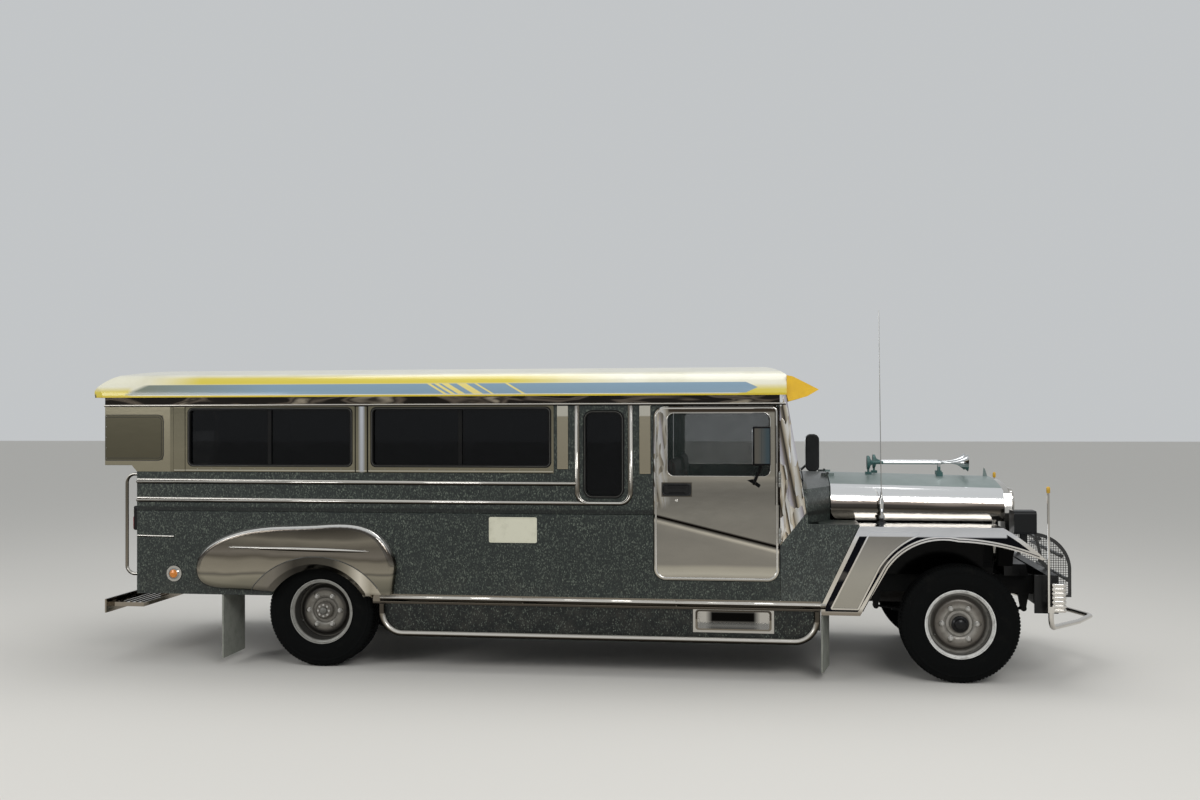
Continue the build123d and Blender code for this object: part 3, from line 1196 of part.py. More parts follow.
def lamps():
    """Square headlamps on feet, tall rear lamps and a round marker lamp on each flank."""
    parts = []
    fx = FRONT_AXLE_X
    y0, y1 = -HOOD_HALF - 205, -HOOD_HALF - 45
    head = fillet(block(fx + 355, fx + 500, y0, y1, 978, 1132).edges().filter_by(Axis.X), 22)
    lens = fx + 500
    head -= slab_x(rounded(y0 + 14, y1 - 14, 992, 1118, 14), lens - 8, lens + CUT)
    foot = block(fx + 410, fx + 450, y0 + 55, y1 - 55, 900, 990) - Pos(0, 0, SEAT_GAP) * fender_band()
    foot -= fender_band()
    parts += both(head + foot)
    rear = BODY_REAR_X - SEAT_GAP
    lamp = block(rear - 54, rear, -REAR_LAMP_Y - 55, -REAR_LAMP_Y + 55, 949, 1123)
    parts += both(fillet(lamp.edges().filter_by(Axis.X), 14))
    y = -BODY_HALF - SEAT_GAP
    marker = Wire([Line((0, 0), (0, 22)), ThreePointArc((0, 22), (28, 17), (40, 8)), Line((40, 8), (56, 8)),
                   Line((56, 8), (58, 0)), Line((58, 0), (0, 0))])
    parts += both(turned(marker, BODY_REAR_X + 285, y, 650, RIGHT))
    return parts


def grab_rails():
    """A bright rail at each rear corner of the body."""
    y = WALL - 6 - BODY_HALF
    x = BODY_REAR_X - 92
    foot = BODY_REAR_X - SEAT_GAP
    low, top = 640, 1355
    rail = tube([(foot, y, low), (x, y, low), (x, y, top), (foot, y, top)], 12, 60)
    return both(rail)


FLAP_CORNER_R = 12
FLAP_THICKNESS = 12
FLAP_LOW_Z = 55
REAR_FLAP_WIDTH = 355
FRONT_FLAP_WIDTH = 300
FRONT_FLAP_TURN = -11                       # degrees; its outer edge leads


def mudflaps():
    """Rubber flaps behind all four wheels; the front pair hangs a little askew."""
    outer, half = -BODY_HALF + 5, REAR_FLAP_WIDTH / 2
    top = outrigger_low(-outer - REAR_FLAP_WIDTH + FLAP_CORNER_R) - SEAT_GAP
    rear = slab_x(rounded(outer, outer + 2 * half, FLAP_LOW_Z, top, FLAP_CORNER_R),
                  FLAP_REAR_X, FLAP_REAR_X + FLAP_THICKNESS)
    rear -= block(FLAP_REAR_X - CUT, FLAP_REAR_X + FLAP_THICKNESS + CUT,
                  outer - CUT, WALL + SEAT_GAP - BODY_HALF, SILL_Z - SEAT_GAP, top + CUT)
    half = FRONT_FLAP_WIDTH / 2
    front = slab_x(rounded(-half, half, FLAP_LOW_Z, FENDER_LOW_Z - SEAT_GAP, FLAP_CORNER_R),
                   0, FLAP_THICKNESS)
    front = Pos(SKIRT_FRONT_X + 55, outer + half, 0) * Rot(0, 0, FRONT_FLAP_TURN) * front
    return both(rear) + both(front)


# Front end

BEAM_Z = (465, 715)
BEAM_HALF = 820
BEAM_RETURN = 82                            # each end turns back this far towards the wheel
TOW_Z = 505                                 # underside of the front towing eyes
CORNER_HALF = 925
CORNER_Z = (485, 677)
RIB_COUNT = 7
POLE_Y = 915
POLE_R = 8
NUDGE_R = 17


def front_bumper():
    """Black channel beam with two towing eyes, and the splash panel behind it."""
    low, top = BEAM_Z
    x0, x1 = BUMPER_X + SEAT_GAP, BUMPER_X + 70
    beam = block(x0, x1, -BEAM_HALF, BEAM_HALF, low, top)
    beam -= block(x0 - CUT, x1 - 8, -BEAM_HALF - CUT, -RAIL_HALF - 20, low + 8, top - 8)
    beam -= block(x0 - CUT, x1 - 8, RAIL_HALF + 20, BEAM_HALF + CUT, low + 8, top - 8)
    for side in (-1, 1):
        y = side * TOW_Y
        beam += block(x0 - BEAM_RETURN, x1, side * (BEAM_HALF - 8), side * BEAM_HALF, low, top)
        beam += block(x1, x1 + 46, y - 22, y + 22, TOW_Z, TOW_Z + 20)
        beam -= rod((BUMPER_X + 94, y, TOW_Z - CUT), (BUMPER_X + 94, y, TOW_Z + 20 + CUT), TOW_HOLE_R)
    rear, low, top = GRILLE_FRONT_X - 60, RAIL_TOP_Z + SEAT_GAP, GRILLE_BOTTOM_Z - SEAT_GAP
    panel = polygon((rear, low), (BUMPER_X - 40, low), (BUMPER_X - 60, top), (rear, top))
    return [beam, slab_y(panel, -RAIL_HALF - 60, RAIL_HALF + 60)]


def bumper_corner():
    """Right ribbed corner: seven rounded ribs round a core that caps the beam's end."""
    x0, x1 = BUMPER_X + 4, BUMPER_X + 100
    y0, y1 = -CORNER_HALF, -BEAM_HALF - SEAT_GAP
    low, top = CORNER_Z
    pitch = (top - low) / RIB_COUNT
    core = slab_z(rounded(x0 + 7, x1 - 7, y0 + 7, y1, 18), low + 3, top - 3)
    for index in range(RIB_COUNT):
        z = low + pitch * index
        rib = slab_z(rounded(x0, x1, y0, y1, 24), z + 3, z + pitch - 3)
        core += fillet(rib.edges().filter_by(GeomType.LINE).filter_by(Axis.Z, reverse=True)
                       + rib.edges().filter_by(GeomType.CIRCLE), 6)
    return core


def bumper_trim():
    """Bright front pieces: ribbed corners, marker poles and the tubular nudge bar."""
    parts = []
    bx = BUMPER_X
    low = CORNER_Z[0]
    for side in (-1, 1):
        corner = bumper_corner() if side == RIGHT else mirrored(bumper_corner())
        pole = rod((bx - 12, side * POLE_Y, low), (bx - 12, side * POLE_Y, 1290), POLE_R)
        pole += Pos(bx - 12, side * POLE_Y, 1290) * Sphere(POLE_R + 3)
        corner += pole + block(bx - 14, bx + 20, side * (POLE_Y - 10), side * (POLE_Y + 8), low, low + 40)
        parts.append(corner)
    # the bar hangs from both corners and runs forward to a point
    leg_x, leg_y, leg_z = bx + 4, CORNER_HALF - 24, 385
    tip, knee = FRONT_X - NUDGE_R, 330
    half = [(leg_x, leg_y, low - SEAT_GAP), (leg_x, leg_y, leg_z), (tip - 165, knee, 335)]
    points = [(x, -y, z) for x, y, z in half] + [(tip, 0, 322)] + half[::-1]
    parts.append(tube(points, NUDGE_R, 70))
    return parts


def cheek_outline(inset):
    """Side view of a guard cheek: an arched front edge over the bumper's front face."""
    bx = BUMPER_X
    front, rear = bx + 240 - inset, bx - 4 + 1.1 * inset
    foot_x = bx + 70 + SEAT_GAP + inset
    beam_top = BEAM_Z[1] + SEAT_GAP
    crest = (rear, 958 - 1.4 * inset)
    arch = ThreePointArc(crest, (bx + 170 - 0.8 * inset, 880 - inset), (front, 690))
    sides = Polyline((front, 690), (front, 520 + inset), (foot_x, 520 + inset), (foot_x, beam_top + inset),
                     (bx + 40 + inset, beam_top + 32 + inset), crest)
    return make_face(Wire([arch, *sides.edges()]))


def grille_guard():
    """Two curved cheeks of flat bar and sheet in front of the grille, joined by cross bars."""
    bx = BUMPER_X
    y0, y1 = -456, -444
    cheek = slab_y(cheek_outline(0), y0, y1)
    cheek -= slab_y(cheek_outline(18), y0 - CUT, y0 + 4)
    cheek -= slab_y(cheek_outline(18), y1 - 4, y1 + CUT)
    guard = cheek + mirrored(cheek)
    for x, z in ((bx + 30, 915), (bx + 175, 800), (bx + 214, 640)):
        guard += rod((x, y0, z), (x, -y0, z), 13)
    return guard


ANTENNA_X = FRONT_AXLE_X - 485
ANTENNA_Y = -HOOD_HALF - 55


def antenna():
    """Whip on a ball-and-spring base on the right fender."""
    x, y, z = ANTENNA_X, ANTENNA_Y, FENDER_Z + SEAT_GAP
    # radius at each height over the fender
    profile = ((0, 0), (30, 0), (30, 8), (14, 14), (14, 22), (22, 34), (22, 48), (12, 62), (12, 76), (18, 96),
               (20, 130), (16, 168), (7, 190), (7, 210), (0, 210))
    base = revolve(Plane(origin=(x, y, z), x_dir=(1, 0, 0), z_dir=(0, -1, 0)) * polygon(*profile),
                   Axis((x, y, z), (0, 0, 1)))
    return base + rod((x, y, z + 200), (x - 12, y, ANTENNA_TOP_Z), 3)


# Drive line and underside

ENGINE_REAR_X = HOOD_REAR_X + 90
ENGINE_HALF = 270
GEARBOX_REAR_X = FIREWALL_X - 450
GEARBOX_HALF = 150
SUMP_Z = 440
SHAFT_Z = 545


def engine_block():
    part = block(ENGINE_REAR_X, FRONT_AXLE_X + 100, -ENGINE_HALF, ENGINE_HALF, SUMP_Z, 1100)
    part += block(GEARBOX_REAR_X, ENGINE_REAR_X, -GEARBOX_HALF, GEARBOX_HALF, SUMP_Z, 650)
    for side in (RIGHT, LEFT):
        inner, outer = side * (ENGINE_HALF - 5), side * (RAIL_HALF - 25)
        part += block(ENGINE_REAR_X + 200, ENGINE_REAR_X + 260, inner, outer,
                      RAIL_TOP_Z + SEAT_GAP, RAIL_TOP_Z + 40)
    return part


def propeller_shaft():
    """Tube between gearbox and axle, with a joint yoke at each end."""
    front_x, rear_x = GEARBOX_REAR_X - SEAT_GAP, REAR_AXLE_X + PINION_REACH + SEAT_GAP
    start, end = Vector(front_x, 0, SHAFT_Z), Vector(rear_x, 0, AXLE_Z + 24)
    along = (end - start).normalized()
    shaft = rod(tuple(start - along * 10), tuple(end + along * 10), 38)
    for a, b in ((start + along * 60, start + along * 110), (end - along * 110, end - along * 60)):
        shaft += rod(tuple(a), tuple(b), 52)
    return shaft & block(rear_x, front_x, -60, 60, SUMP_Z - 200, SUMP_Z + 300)


TANK_LENGTH = 800
TANK_TOP_Z = RAIL_TOP_Z - OUTRIGGER_DEPTH - 60


def fuel_tank():
    """Tank with rounded edges under the left outriggers, and its two straps."""
    x0, x1 = TANK_REAR_X, TANK_REAR_X + TANK_LENGTH
    y0, y1 = RAIL_HALF + 30, BODY_HALF - 150
    tank = fillet(block(x0, x1, y0, y1, TANK_TOP_Z - 180, TANK_TOP_Z).edges().filter_by(Axis.X), 40)
    for x in (x0 + 180, x1 - 180):
        strap = block(x - 15, x + 15, y0 - 3, y1 + 3, TANK_TOP_Z - 183, TANK_TOP_Z + 3)
        tank += fillet(strap.edges().filter_by(Axis.X), 42)
    hanger_x = OUTRIGGER_XS[3]
    inner, outer = y0 + 60, y1 - 60
    hanger = polygon((inner, TANK_TOP_Z - 5), (inner, outrigger_low(inner) - SEAT_GAP),
                     (outer, outrigger_low(outer) - SEAT_GAP), (outer, TANK_TOP_Z - 5))
    tank += slab_x(hanger, hanger_x - 20, hanger_x + 20)
    return tank


PIPE_R = 26
PIPE_Z = 470


def exhaust():
    """Pipe from the engine past the silencer, up over the axle and out at the rear."""
    y, outer_y = -250, -480
    rx = REAR_AXLE_X
    over_z = AXLE_Z + 172
    points = [(ENGINE_REAR_X - SEAT_GAP, y, PIPE_Z), (rx + 965, y, PIPE_Z), (rx + 615, outer_y, PIPE_Z),
              (rx + 365, outer_y, over_z), (rx - 385, outer_y, over_z), (rx - 635, outer_y, PIPE_Z),
              (BODY_REAR_X + 60, outer_y, PIPE_Z)]
    pipe = tube(points, PIPE_R, 100)
    silencer = rod((CABIN_MIDDLE_X + 880, y, PIPE_Z), (CABIN_MIDDLE_X + 1480, y, PIPE_Z), 80)
    return pipe + fillet(silencer.edges(), 20)


TUB_HALF = TYRE_R + 45
TUB_TOP_Z = AXLE_Z + TYRE_R + 65
TUB_IN = TRACK_HALF - 140


def floor_pan():
    """Floor with a box over each rear wheel."""
    reach = BODY_HALF - WALL - 1
    low = FLOOR_Z - FLOOR_THICKNESS
    floor = block(BODY_REAR_X + REAR_PLATE + 2, FIREWALL_X - 1, -reach, reach, low, FLOOR_Z)
    x0, x1 = REAR_AXLE_X - TUB_HALF, REAR_AXLE_X + TUB_HALF
    for side in (-1, 1):
        floor += block(x0, x1, side * TUB_IN, side * reach, low, TUB_TOP_Z)
        floor -= block(x0 + SHEET, x1 - SHEET, side * (TUB_IN + SHEET), side * (BODY_HALF + CUT), low - CUT,
                       TUB_TOP_Z - SHEET)
    return floor


# Cabin and cab

BENCH_FRONT_X = DOOR_REAR_X - 110
BENCH_REAR_X = BODY_REAR_X + 60
BENCH_IN = 520                              # the benches' inner edges, from the centre line
BENCH_TOP_Z = SEAT_Z - 70
BENCH_BACK_Z = 1380


def benches():
    """Side benches: boxed base and back board along each wall."""
    outer = WALL - BODY_HALF
    base = block(BENCH_REAR_X, BENCH_FRONT_X, outer + 1, -BENCH_IN, BENCH_TOP_Z - 30, BENCH_TOP_Z)
    base += block(BENCH_REAR_X, BENCH_FRONT_X, -BENCH_IN - 15, -BENCH_IN, FLOOR_Z, BENCH_TOP_Z)
    base += block(BENCH_REAR_X, BENCH_FRONT_X, outer + 1, outer + 12, BENCH_TOP_Z - 30, BENCH_BACK_Z)
    return both(base)


def bench_cushions():
    outer = WALL - BODY_HALF
    x0, x1 = BENCH_REAR_X + 10, BENCH_FRONT_X - 10
    seat = block(x0, x1, outer + 90, 20 - BENCH_IN, BENCH_TOP_Z + SEAT_GAP, SEAT_Z)
    back = block(x0, x1, outer + 12 + SEAT_GAP, outer + 80, SEAT_Z - 30, BENCH_BACK_Z - 10)
    return [piece for shape in (seat, back) for piece in both(fillet(shape.edges().filter_by(Axis.X), 15))]


FRONT_SEAT_X = DOOR_REAR_X + 138
FRONT_SEAT_LENGTH = 440
FRONT_SEATS = ((80 - BODY_HALF, -130), (150, BODY_HALF - 230))
FRONT_SEAT_TOP_Z = SEAT_Z - 120


def front_seats():
    seats = []
    for y0, y1 in FRONT_SEATS:
        base = block(FRONT_SEAT_X, FRONT_SEAT_X + FRONT_SEAT_LENGTH, y0, y1, FLOOR_Z, FRONT_SEAT_TOP_Z)
        seats.append(fillet(base.edges().filter_by(Axis.Z), 30))
    return seats


def front_cushions():
    cushions = []
    top = FRONT_SEAT_TOP_Z
    front_x = FRONT_SEAT_X + FRONT_SEAT_LENGTH + 20
    for y0, y1 in FRONT_SEATS:
        seat = block(FRONT_SEAT_X + SEAT_GAP, front_x, y0, y1, top + SEAT_GAP, SEAT_Z)
        back = block(FRONT_SEAT_X - 80, FRONT_SEAT_X, y0, y1, top + 5, 1480)
        cushions += [fillet(shape.edges().filter_by(Axis.Y), 25) for shape in (seat, back)]
    return cushions


def dashboard():
    """Full-width dash with a hood over the instruments."""
    half = BODY_HALF - WALL - SEAT_GAP
    x = POST_X
    outline = polygon((x + 40, 1070), (x + 10, 1110), (x + 30, 1240), (x + 110, 1252), (x + 110, 1070))
    dash = slab_y(outline, -half, half)
    cluster = smooth_outline(((x + 2, 1140, 10), (x + 14, 1262, 24), (x + 100, 1262, 10),
                              (x + 100, 1140, 10)))
    return dash + slab_y(cluster, WHEEL_Y - 170, WHEEL_Y + 170)


WHEEL_Y = 420
COLUMN_ANGLE = radians(42)
WHEEL_X = DOOR_FRONT_X - 250
WHEEL_Z = 1240
STEERING_R = 200
GRIP_R = 13
COLUMN_R = 22
HUB_REACH = 60
COLUMN_DIR = Vector(cos(COLUMN_ANGLE), 0, -sin(COLUMN_ANGLE))


def column_point(distance):
    return Vector(WHEEL_X, WHEEL_Y, WHEEL_Z) + COLUMN_DIR * distance


def steering_column():
    reach = (FIREWALL_X - SEAT_GAP - COLUMN_R * sin(COLUMN_ANGLE) - WHEEL_X) / cos(COLUMN_ANGLE)
    return rod(column_point(HUB_REACH + SEAT_GAP), column_point(reach), COLUMN_R)


def steering_wheel():
    """Rim, hub and three flat spokes, square to the column."""
    plane = Plane(origin=(WHEEL_X, WHEEL_Y, WHEEL_Z), x_dir=(0, 1, 0), z_dir=COLUMN_DIR)
    wheel = Torus(STEERING_R, GRIP_R) + Pos(0, 0, HUB_REACH / 2 - 10) * Cylinder(32, HUB_REACH + 20)
    for angle in (30, 150, 270):
        wheel += Rot(0, 0, angle) * Pos((STEERING_R + 25) / 2, 0, 0) * Box(STEERING_R - 25, 26, 8)
    return plane.location * wheel


HORN_Z = HOOD_Z + 75


def horns():
    """Twin air horns: a turned diaphragm case, a straight throat and a flared bell on feet."""
    parts = []
    for y, set_back, length in ((-110, 285, 710), (110, 345, 660)):
        x0 = HOOD_REAR_X + set_back
        x1 = x0 + length
        bell = length - 190
        outline = Wire([
            Line((0, 0), (50, 0)), Line((50, 0), (50, 16)), Line((50, 16), (40, 22)),
            ThreePointArc((40, 22), (18, 34), (12, 60)), Line((12, 60), (13, bell)),
            ThreePointArc((13, bell), (25, length - 52), (62, length)),
            Line((62, length), (0, length)), Line((0, length), (0, 0))])
        plane = Plane(origin=(x0, y, HORN_Z), x_dir=(0, 0, 1), z_dir=(0, 1, 0))
        horn = revolve(plane * make_face(outline), Axis((x0, y, HORN_Z), (1, 0, 0)))
        mouth = Pos(x1, y, HORN_Z) * Sphere(46)
        horn -= mouth
        for x in (x0 + 10, x0 + 0.72 * length):
            foot = block(x - 22, x + 22, y - 20, y + 20, HOOD_Z - 40, HOOD_Z + 8)
            horn += block(x - 7, x + 7, y - 12, y + 12, HOOD_Z - 12, HORN_Z) + foot
        parts.append(horn - hood_form() - Pos(0, 0, SEAT_GAP) * hood_form())
    return parts


def main():
    save("chassis_frame", chassis_frame())
    save("engine_block", engine_block())
    save("front_axle", front_axle())
    save("rear_axle", rear_axle())
    springs = ((FRONT_AXLE_X, FRONT_BEAM_TOP, FRONT_SPRING_LENGTH),
               (REAR_AXLE_X, AXLE_Z + REAR_TUBE_R, REAR_SPRING_LENGTH))
    packs = [both(leaf_spring(x, z + SEAT_GAP, length)) for x, z, length in springs]
    save("leaf_springs", *packs[0], *packs[1])
    save("propeller_shaft", propeller_shaft())
    save("fuel_tank", fuel_tank())
    save("exhaust_pipe", exhaust())
    save("floor_pan", floor_pan())
    save("side_wall_right", side_wall())
    save("side_wall_left", mirrored(side_wall()))
    save("body_glass", *body_glass(), *rear_panes(), *windshield_panes())
    save("window_seals", *window_seals())
    save("window_surrounds", *window_surrounds())
    save("side_mouldings", *[piece for part in side_mouldings() for piece in both(part)])
    save("rear_frame", *rear_frame())
    save("roof", roof())
    save("roof_visor", roof_visor())
    save("windshield_posts", *both(windshield_post()))
    save("windshield_frame", windshield_frame())
    save("cowl", cowl())
    save("dashboard", dashboard())
    save("grille", grille())
    save("lamps", *lamps())
    save("front_fenders", *both(fender()))
    save("rear_spats", *both(spat()))
    save("side_skirts", *both(side_skirt()))
    save("front_bumper", *front_bumper())
    save("bumper_trim", *bumper_trim())
    save("grille_guard", grille_guard())
    save("rear_step", rear_step())
    save("grab_rails", *grab_rails())
    save("mudflaps", *mudflaps())
    save("benches", *benches())
    save("bench_cushions", *bench_cushions())
    save("front_seats", *front_seats())
    save("front_cushions", *front_cushions())
    save("steering_column", steering_column())
    save("steering_wheel", steering_wheel())
    save("antenna", antenna())
    save("hood", hood())
    save("trumpet_horns", *horns())
    save("door_right", door())
    save("door_left", mirrored(door()))
    save("door_glass_right", door_glass())
    save("door_glass_left", mirrored(door_glass()))
    save("mirror_right", door_mirror())
    save("mirror_left", post_mirror())
    for label, side in (("right", RIGHT), ("left", LEFT)):
        save(f"knuckle_{label}", knuckle(side))
        for end, x, bore, dish in (("front", FRONT_AXLE_X, SPINDLE_R, FRONT_DISH),
                                   ("rear", REAR_AXLE_X, REAR_JOURNAL_R, REAR_DISH)):
            save(f"tyre_{end}_{label}", tyre(x, side))
            save(f"rim_{end}_{label}", rim(x, side, bore + PIN_CLEARANCE, dish))
    save("tie_rod", tie_rod())


main()
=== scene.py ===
# %% [markdown]
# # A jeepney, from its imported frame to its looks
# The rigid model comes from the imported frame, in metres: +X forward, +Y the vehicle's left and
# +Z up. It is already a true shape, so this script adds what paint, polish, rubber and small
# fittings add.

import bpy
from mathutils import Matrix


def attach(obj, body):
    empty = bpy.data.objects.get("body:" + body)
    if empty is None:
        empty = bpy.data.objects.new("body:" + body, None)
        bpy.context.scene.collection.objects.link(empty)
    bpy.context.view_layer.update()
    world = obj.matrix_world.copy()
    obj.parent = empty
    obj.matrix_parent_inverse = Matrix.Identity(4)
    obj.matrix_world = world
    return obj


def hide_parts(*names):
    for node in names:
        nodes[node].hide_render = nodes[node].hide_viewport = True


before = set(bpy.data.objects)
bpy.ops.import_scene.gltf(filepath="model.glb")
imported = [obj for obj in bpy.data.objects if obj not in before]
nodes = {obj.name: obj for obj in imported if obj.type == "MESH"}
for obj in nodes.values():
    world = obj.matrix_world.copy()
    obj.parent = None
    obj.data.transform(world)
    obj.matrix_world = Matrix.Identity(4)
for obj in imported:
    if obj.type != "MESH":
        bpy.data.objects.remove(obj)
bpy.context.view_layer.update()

import math

import bmesh
import bpy
from mathutils import Matrix, Vector
from mathutils.bvhtree import BVHTree

# %% Driving sizes, in metres
FRONT_AXLE_X, REAR_AXLE_X = 2.515, -1.865
TYRE_R = 0.3875  # also the height of both axles
TRACK_HALF = 0.775
WALL_Y = 0.930  # the flank's outer face, from the centre line
TRIM_Y = WALL_Y + 0.0002  # what is screwed on the flank starts here
TRIM_HIGH_Z, TRIM_LOW_Z, SILL_TRIM_Z, EAVES_Z = 1.302, 1.170, 0.502, 1.846
HINGE_X, HINGE_Y = 1.342, 0.945
SIDES = (("right", -1), ("left", 1))
print("wheelbase", round(FRONT_AXLE_X - REAR_AXLE_X, 3), "m, body", 2 * WALL_Y, "m wide")

# %% [markdown]
# ## Colour
# A hex code is what a screen shows (sRGB), while a shader works with linear light. One function
# turns the first into the second, so every finish below is written as its hex code.


# %% Hex code to linear light
def linear(code):
    parts = [int(code[i:i + 2], 16) / 255 for i in (1, 3, 5)]
    return tuple(c / 12.92 if c <= 0.04045 else ((c + 0.055) / 1.055) ** 2.4 for c in parts) + (1.0,)


print("mid grey", [round(v, 3) for v in linear("#808080")])

# %% [markdown]
# ## One way to add a node
# A shader is a chain of nodes. This function adds any kind: inputs takes a number, or another
# node or its socket, which becomes a link. A node by itself stands for its first output. Colour
# stops are only for a ramp. A key is an input's name or its number: Math and Mix have numbers
# only, and MapRange takes its value at 0, the range it comes from at 1 and 2, and the range it
# goes to at 3 and 4. Patterns use object coordinates, which are metres here, so a noise scale is
# simply how many grains go in a metre.


# %% Add a node, begin a material
def socket(value):
    """A node stands for its first output; anything else stays as it is."""
    return value.outputs[0] if isinstance(value, bpy.types.Node) else value


def add(tree, kind, inputs=None, stops=(), **settings):
    made = tree.nodes.new("ShaderNode" + kind)
    for key, value in settings.items():
        setattr(made, key, value)
    for key, value in (inputs or {}).items():
        value = socket(value)
        if isinstance(value, bpy.types.NodeSocket):
            tree.links.new(value, made.inputs[key])
        else:
            made.inputs[key].default_value = value
    if stops:
        ramp = made.color_ramp
        while len(ramp.elements) < len(stops):
            ramp.elements.new(0.5)
        for element, (place, code) in zip(ramp.elements, stops):
            element.position = place
            element.color = linear(code)
    return made


def begin(name, **sockets):
    """A material with a Principled shader: returns it, its tree, the shader and the coordinates."""
    material = bpy.data.materials.new(name)
    material.use_nodes = True
    tree = material.node_tree
    shader = tree.nodes["Principled BSDF"]
    for key, value in sockets.items():
        value = linear(value) if isinstance(value, str) else value
        shader.inputs[key.replace("_", " ")].default_value = value
    return material, tree, shader, add(tree, "TexCoord").outputs["Object"]


def grains(size_mm):
    """Noise or cell scale for a pattern whose features are this big."""
    return 1000 / size_mm


def connect(tree, shader, **sockets):
    for key, source in sockets.items():
        tree.links.new(socket(source), shader.inputs[key.replace("_", " ")])


print("a 4 mm grain has scale", grains(4))

# %% [markdown]
# ## Masks by place
# One panel often carries two finishes, such as a painted top and polished sides. The CAD piece
# stays whole, and a mask reads where each point lies: it is 1 inside a box and 0 outside.


# %% A box mask
OPEN = (None, None)


def inside(tree, place, x=OPEN, y=OPEN, z=OPEN, soft=0.001):
    """1 between the ends given for each axis, 0 outside; an end that is None stays open."""
    split = add(tree, "SeparateXYZ", {0: place})
    factor = None
    for axis, ends in enumerate((x, y, z)):
        for end, sign in zip(ends, (1, -1)):
            if end is None:
                continue
            low, high = end - sign * soft, end + sign * soft
            step = add(tree, "MapRange", {0: split.outputs[axis], 1: low, 2: high})
            both = {0: factor, 1: step}
            factor = step if factor is None else add(tree, "Math", both, operation="MULTIPLY")
    return factor


def either(tree, factor, first, second):
    """Mixes two colours or two values by a factor."""
    first = socket(first)
    is_value = isinstance(first, (int, float)) or getattr(first, "type", "") == "VALUE"
    if is_value:
        return add(tree, "Mix", {0: factor, 2: first, 3: second}, data_type="FLOAT")
    return add(tree, "Mix", {0: factor, 6: first, 7: second}, data_type="RGBA").outputs[2]


print("masks ready")

# %% [markdown]
# ## Polished stainless steel
# The bright panels are stainless sheet, bent by hand and mirror-polished. A mirror shows the
# street: pale sky, dark shop fronts, warm paving. In a plain studio it would show nothing, so the
# sheet carries painted reflections: soft level bands in those tones, and a slow noise makes each
# band wander like a reflection in sheet that isn't quite flat. A broad shallow bump bends the real
# reflections too, and a fine stretched noise dulls the gloss.


# %% Banded mirror sheet
def mirror_sheet(name, low, high, tones, wave=0.05, wave_mm=420, stretch=0.35, rough=(0.05, 0.14),
                 dent_mm=1.0, dent_size=230, lean=0.0):
    """Painted reflection tones run from height low to height high; wave is how far a band strays, in metres.
    """
    material, tree, shader, place = begin(name, Metallic=1.0)
    longer = add(tree, "Mapping", {"Vector": place, "Scale": (stretch, 1.0, 1.0)})
    wander = add(tree, "TexNoise", {"Vector": longer, "Scale": grains(wave_mm), "Detail": 2.5})
    split = add(tree, "SeparateXYZ", {0: place})
    tilted = add(tree, "Math", {0: split.outputs["X"], 1: lean, 2: split.outputs["Z"]},
                 operation="MULTIPLY_ADD")
    height = add(tree, "Math", {0: wander, 1: wave, 2: tilted}, operation="MULTIPLY_ADD")
    level = add(tree, "MapRange", {0: height, 1: low + wave / 2, 2: high + wave / 2})
    painted_reflection_bands = add(tree, "ValToRGB", {0: level}, stops=tones)
    dents = add(tree, "TexNoise", {"Vector": place, "Scale": grains(dent_size), "Detail": 1.5})
    streaks = add(tree, "Mapping", {"Vector": place, "Scale": (1.0, 1.0, 7.0)})
    smears = add(tree, "TexNoise", {"Vector": streaks, "Scale": grains(90), "Detail": 5})
    gloss = add(tree, "MapRange", {0: smears, 1: 0.35, 2: 0.72, 3: rough[0], 4: rough[1]})
    bump = add(tree, "Bump", {"Height": dents, "Distance": dent_mm / 1000})
    connect(tree, shader, Base_Color=painted_reflection_bands, Roughness=gloss, Normal=bump)
    return material, tree, shader, place, painted_reflection_bands


# painted reflection bands by height, for the bright and the beige sheet
BRIGHT_TONES = ((0.0, "#BEB7AC"), (0.3, "#D9D6D1"), (0.6, "#C7C3BC"), (1.0, "#DEDCD8"))
BEIGE_TONES = ((0.0, "#968F7A"), (0.35, "#948D78"), (0.7, "#847E6B"), (1.0, "#6E6958"))
TONES_TOP_Z = 2.2  # just above the roof: these tones run over the whole height
bright = mirror_sheet("bright_drawn_stainless", 0.0, TONES_TOP_Z, BRIGHT_TONES, 0.3, 300, 1.0, dent_mm=0.1)[0]
beige_steel, tree, shader, place, colour = mirror_sheet(
    "dulled_stainless_sheet", 1.36, 1.88, BEIGE_TONES, 0.08, 700, 0.4, (0.15, 0.18), 0.25, 380)
# the two upright strips beside the narrow window are lighter, and the ear's striped field is darker
strips = inside(tree, place, x=(-0.165, 0.49))
colour = either(tree, strips, colour, linear("#ABA28D"))
caps = inside(tree, place, x=(-0.165, 0.49), z=(1.765, None), soft=0.004)
colour = either(tree, caps, colour, linear("#D9D3C4"))
field = inside(tree, place, x=(None, -3.015), z=(1.458, 1.777), soft=0.003)
ear = inside(tree, place, x=(None, -2.962), soft=0.003)
colour = either(tree, ear, colour, linear("#A9A18A"))
colour = either(tree, field, colour, linear("#6B6655"))
# painted highlight lines along the foot and head of the window surrounds
under = add(tree, "Math", {0: inside(tree, place, x=(-2.93, -0.19), z=(1.383, 1.390)),
                           1: inside(tree, place, x=(-2.93, -0.19), z=(1.848, 1.853))}, operation="ADD")
colour = either(tree, under, colour, linear("#DAD3C1"))
# painted shade: a dark line along the surrounds' foot, just under the lower highlight line
gap = inside(tree, place, x=(-2.93, -0.19), z=(1.372, 1.378))
colour = either(tree, gap, colour, linear("#3A372E"))
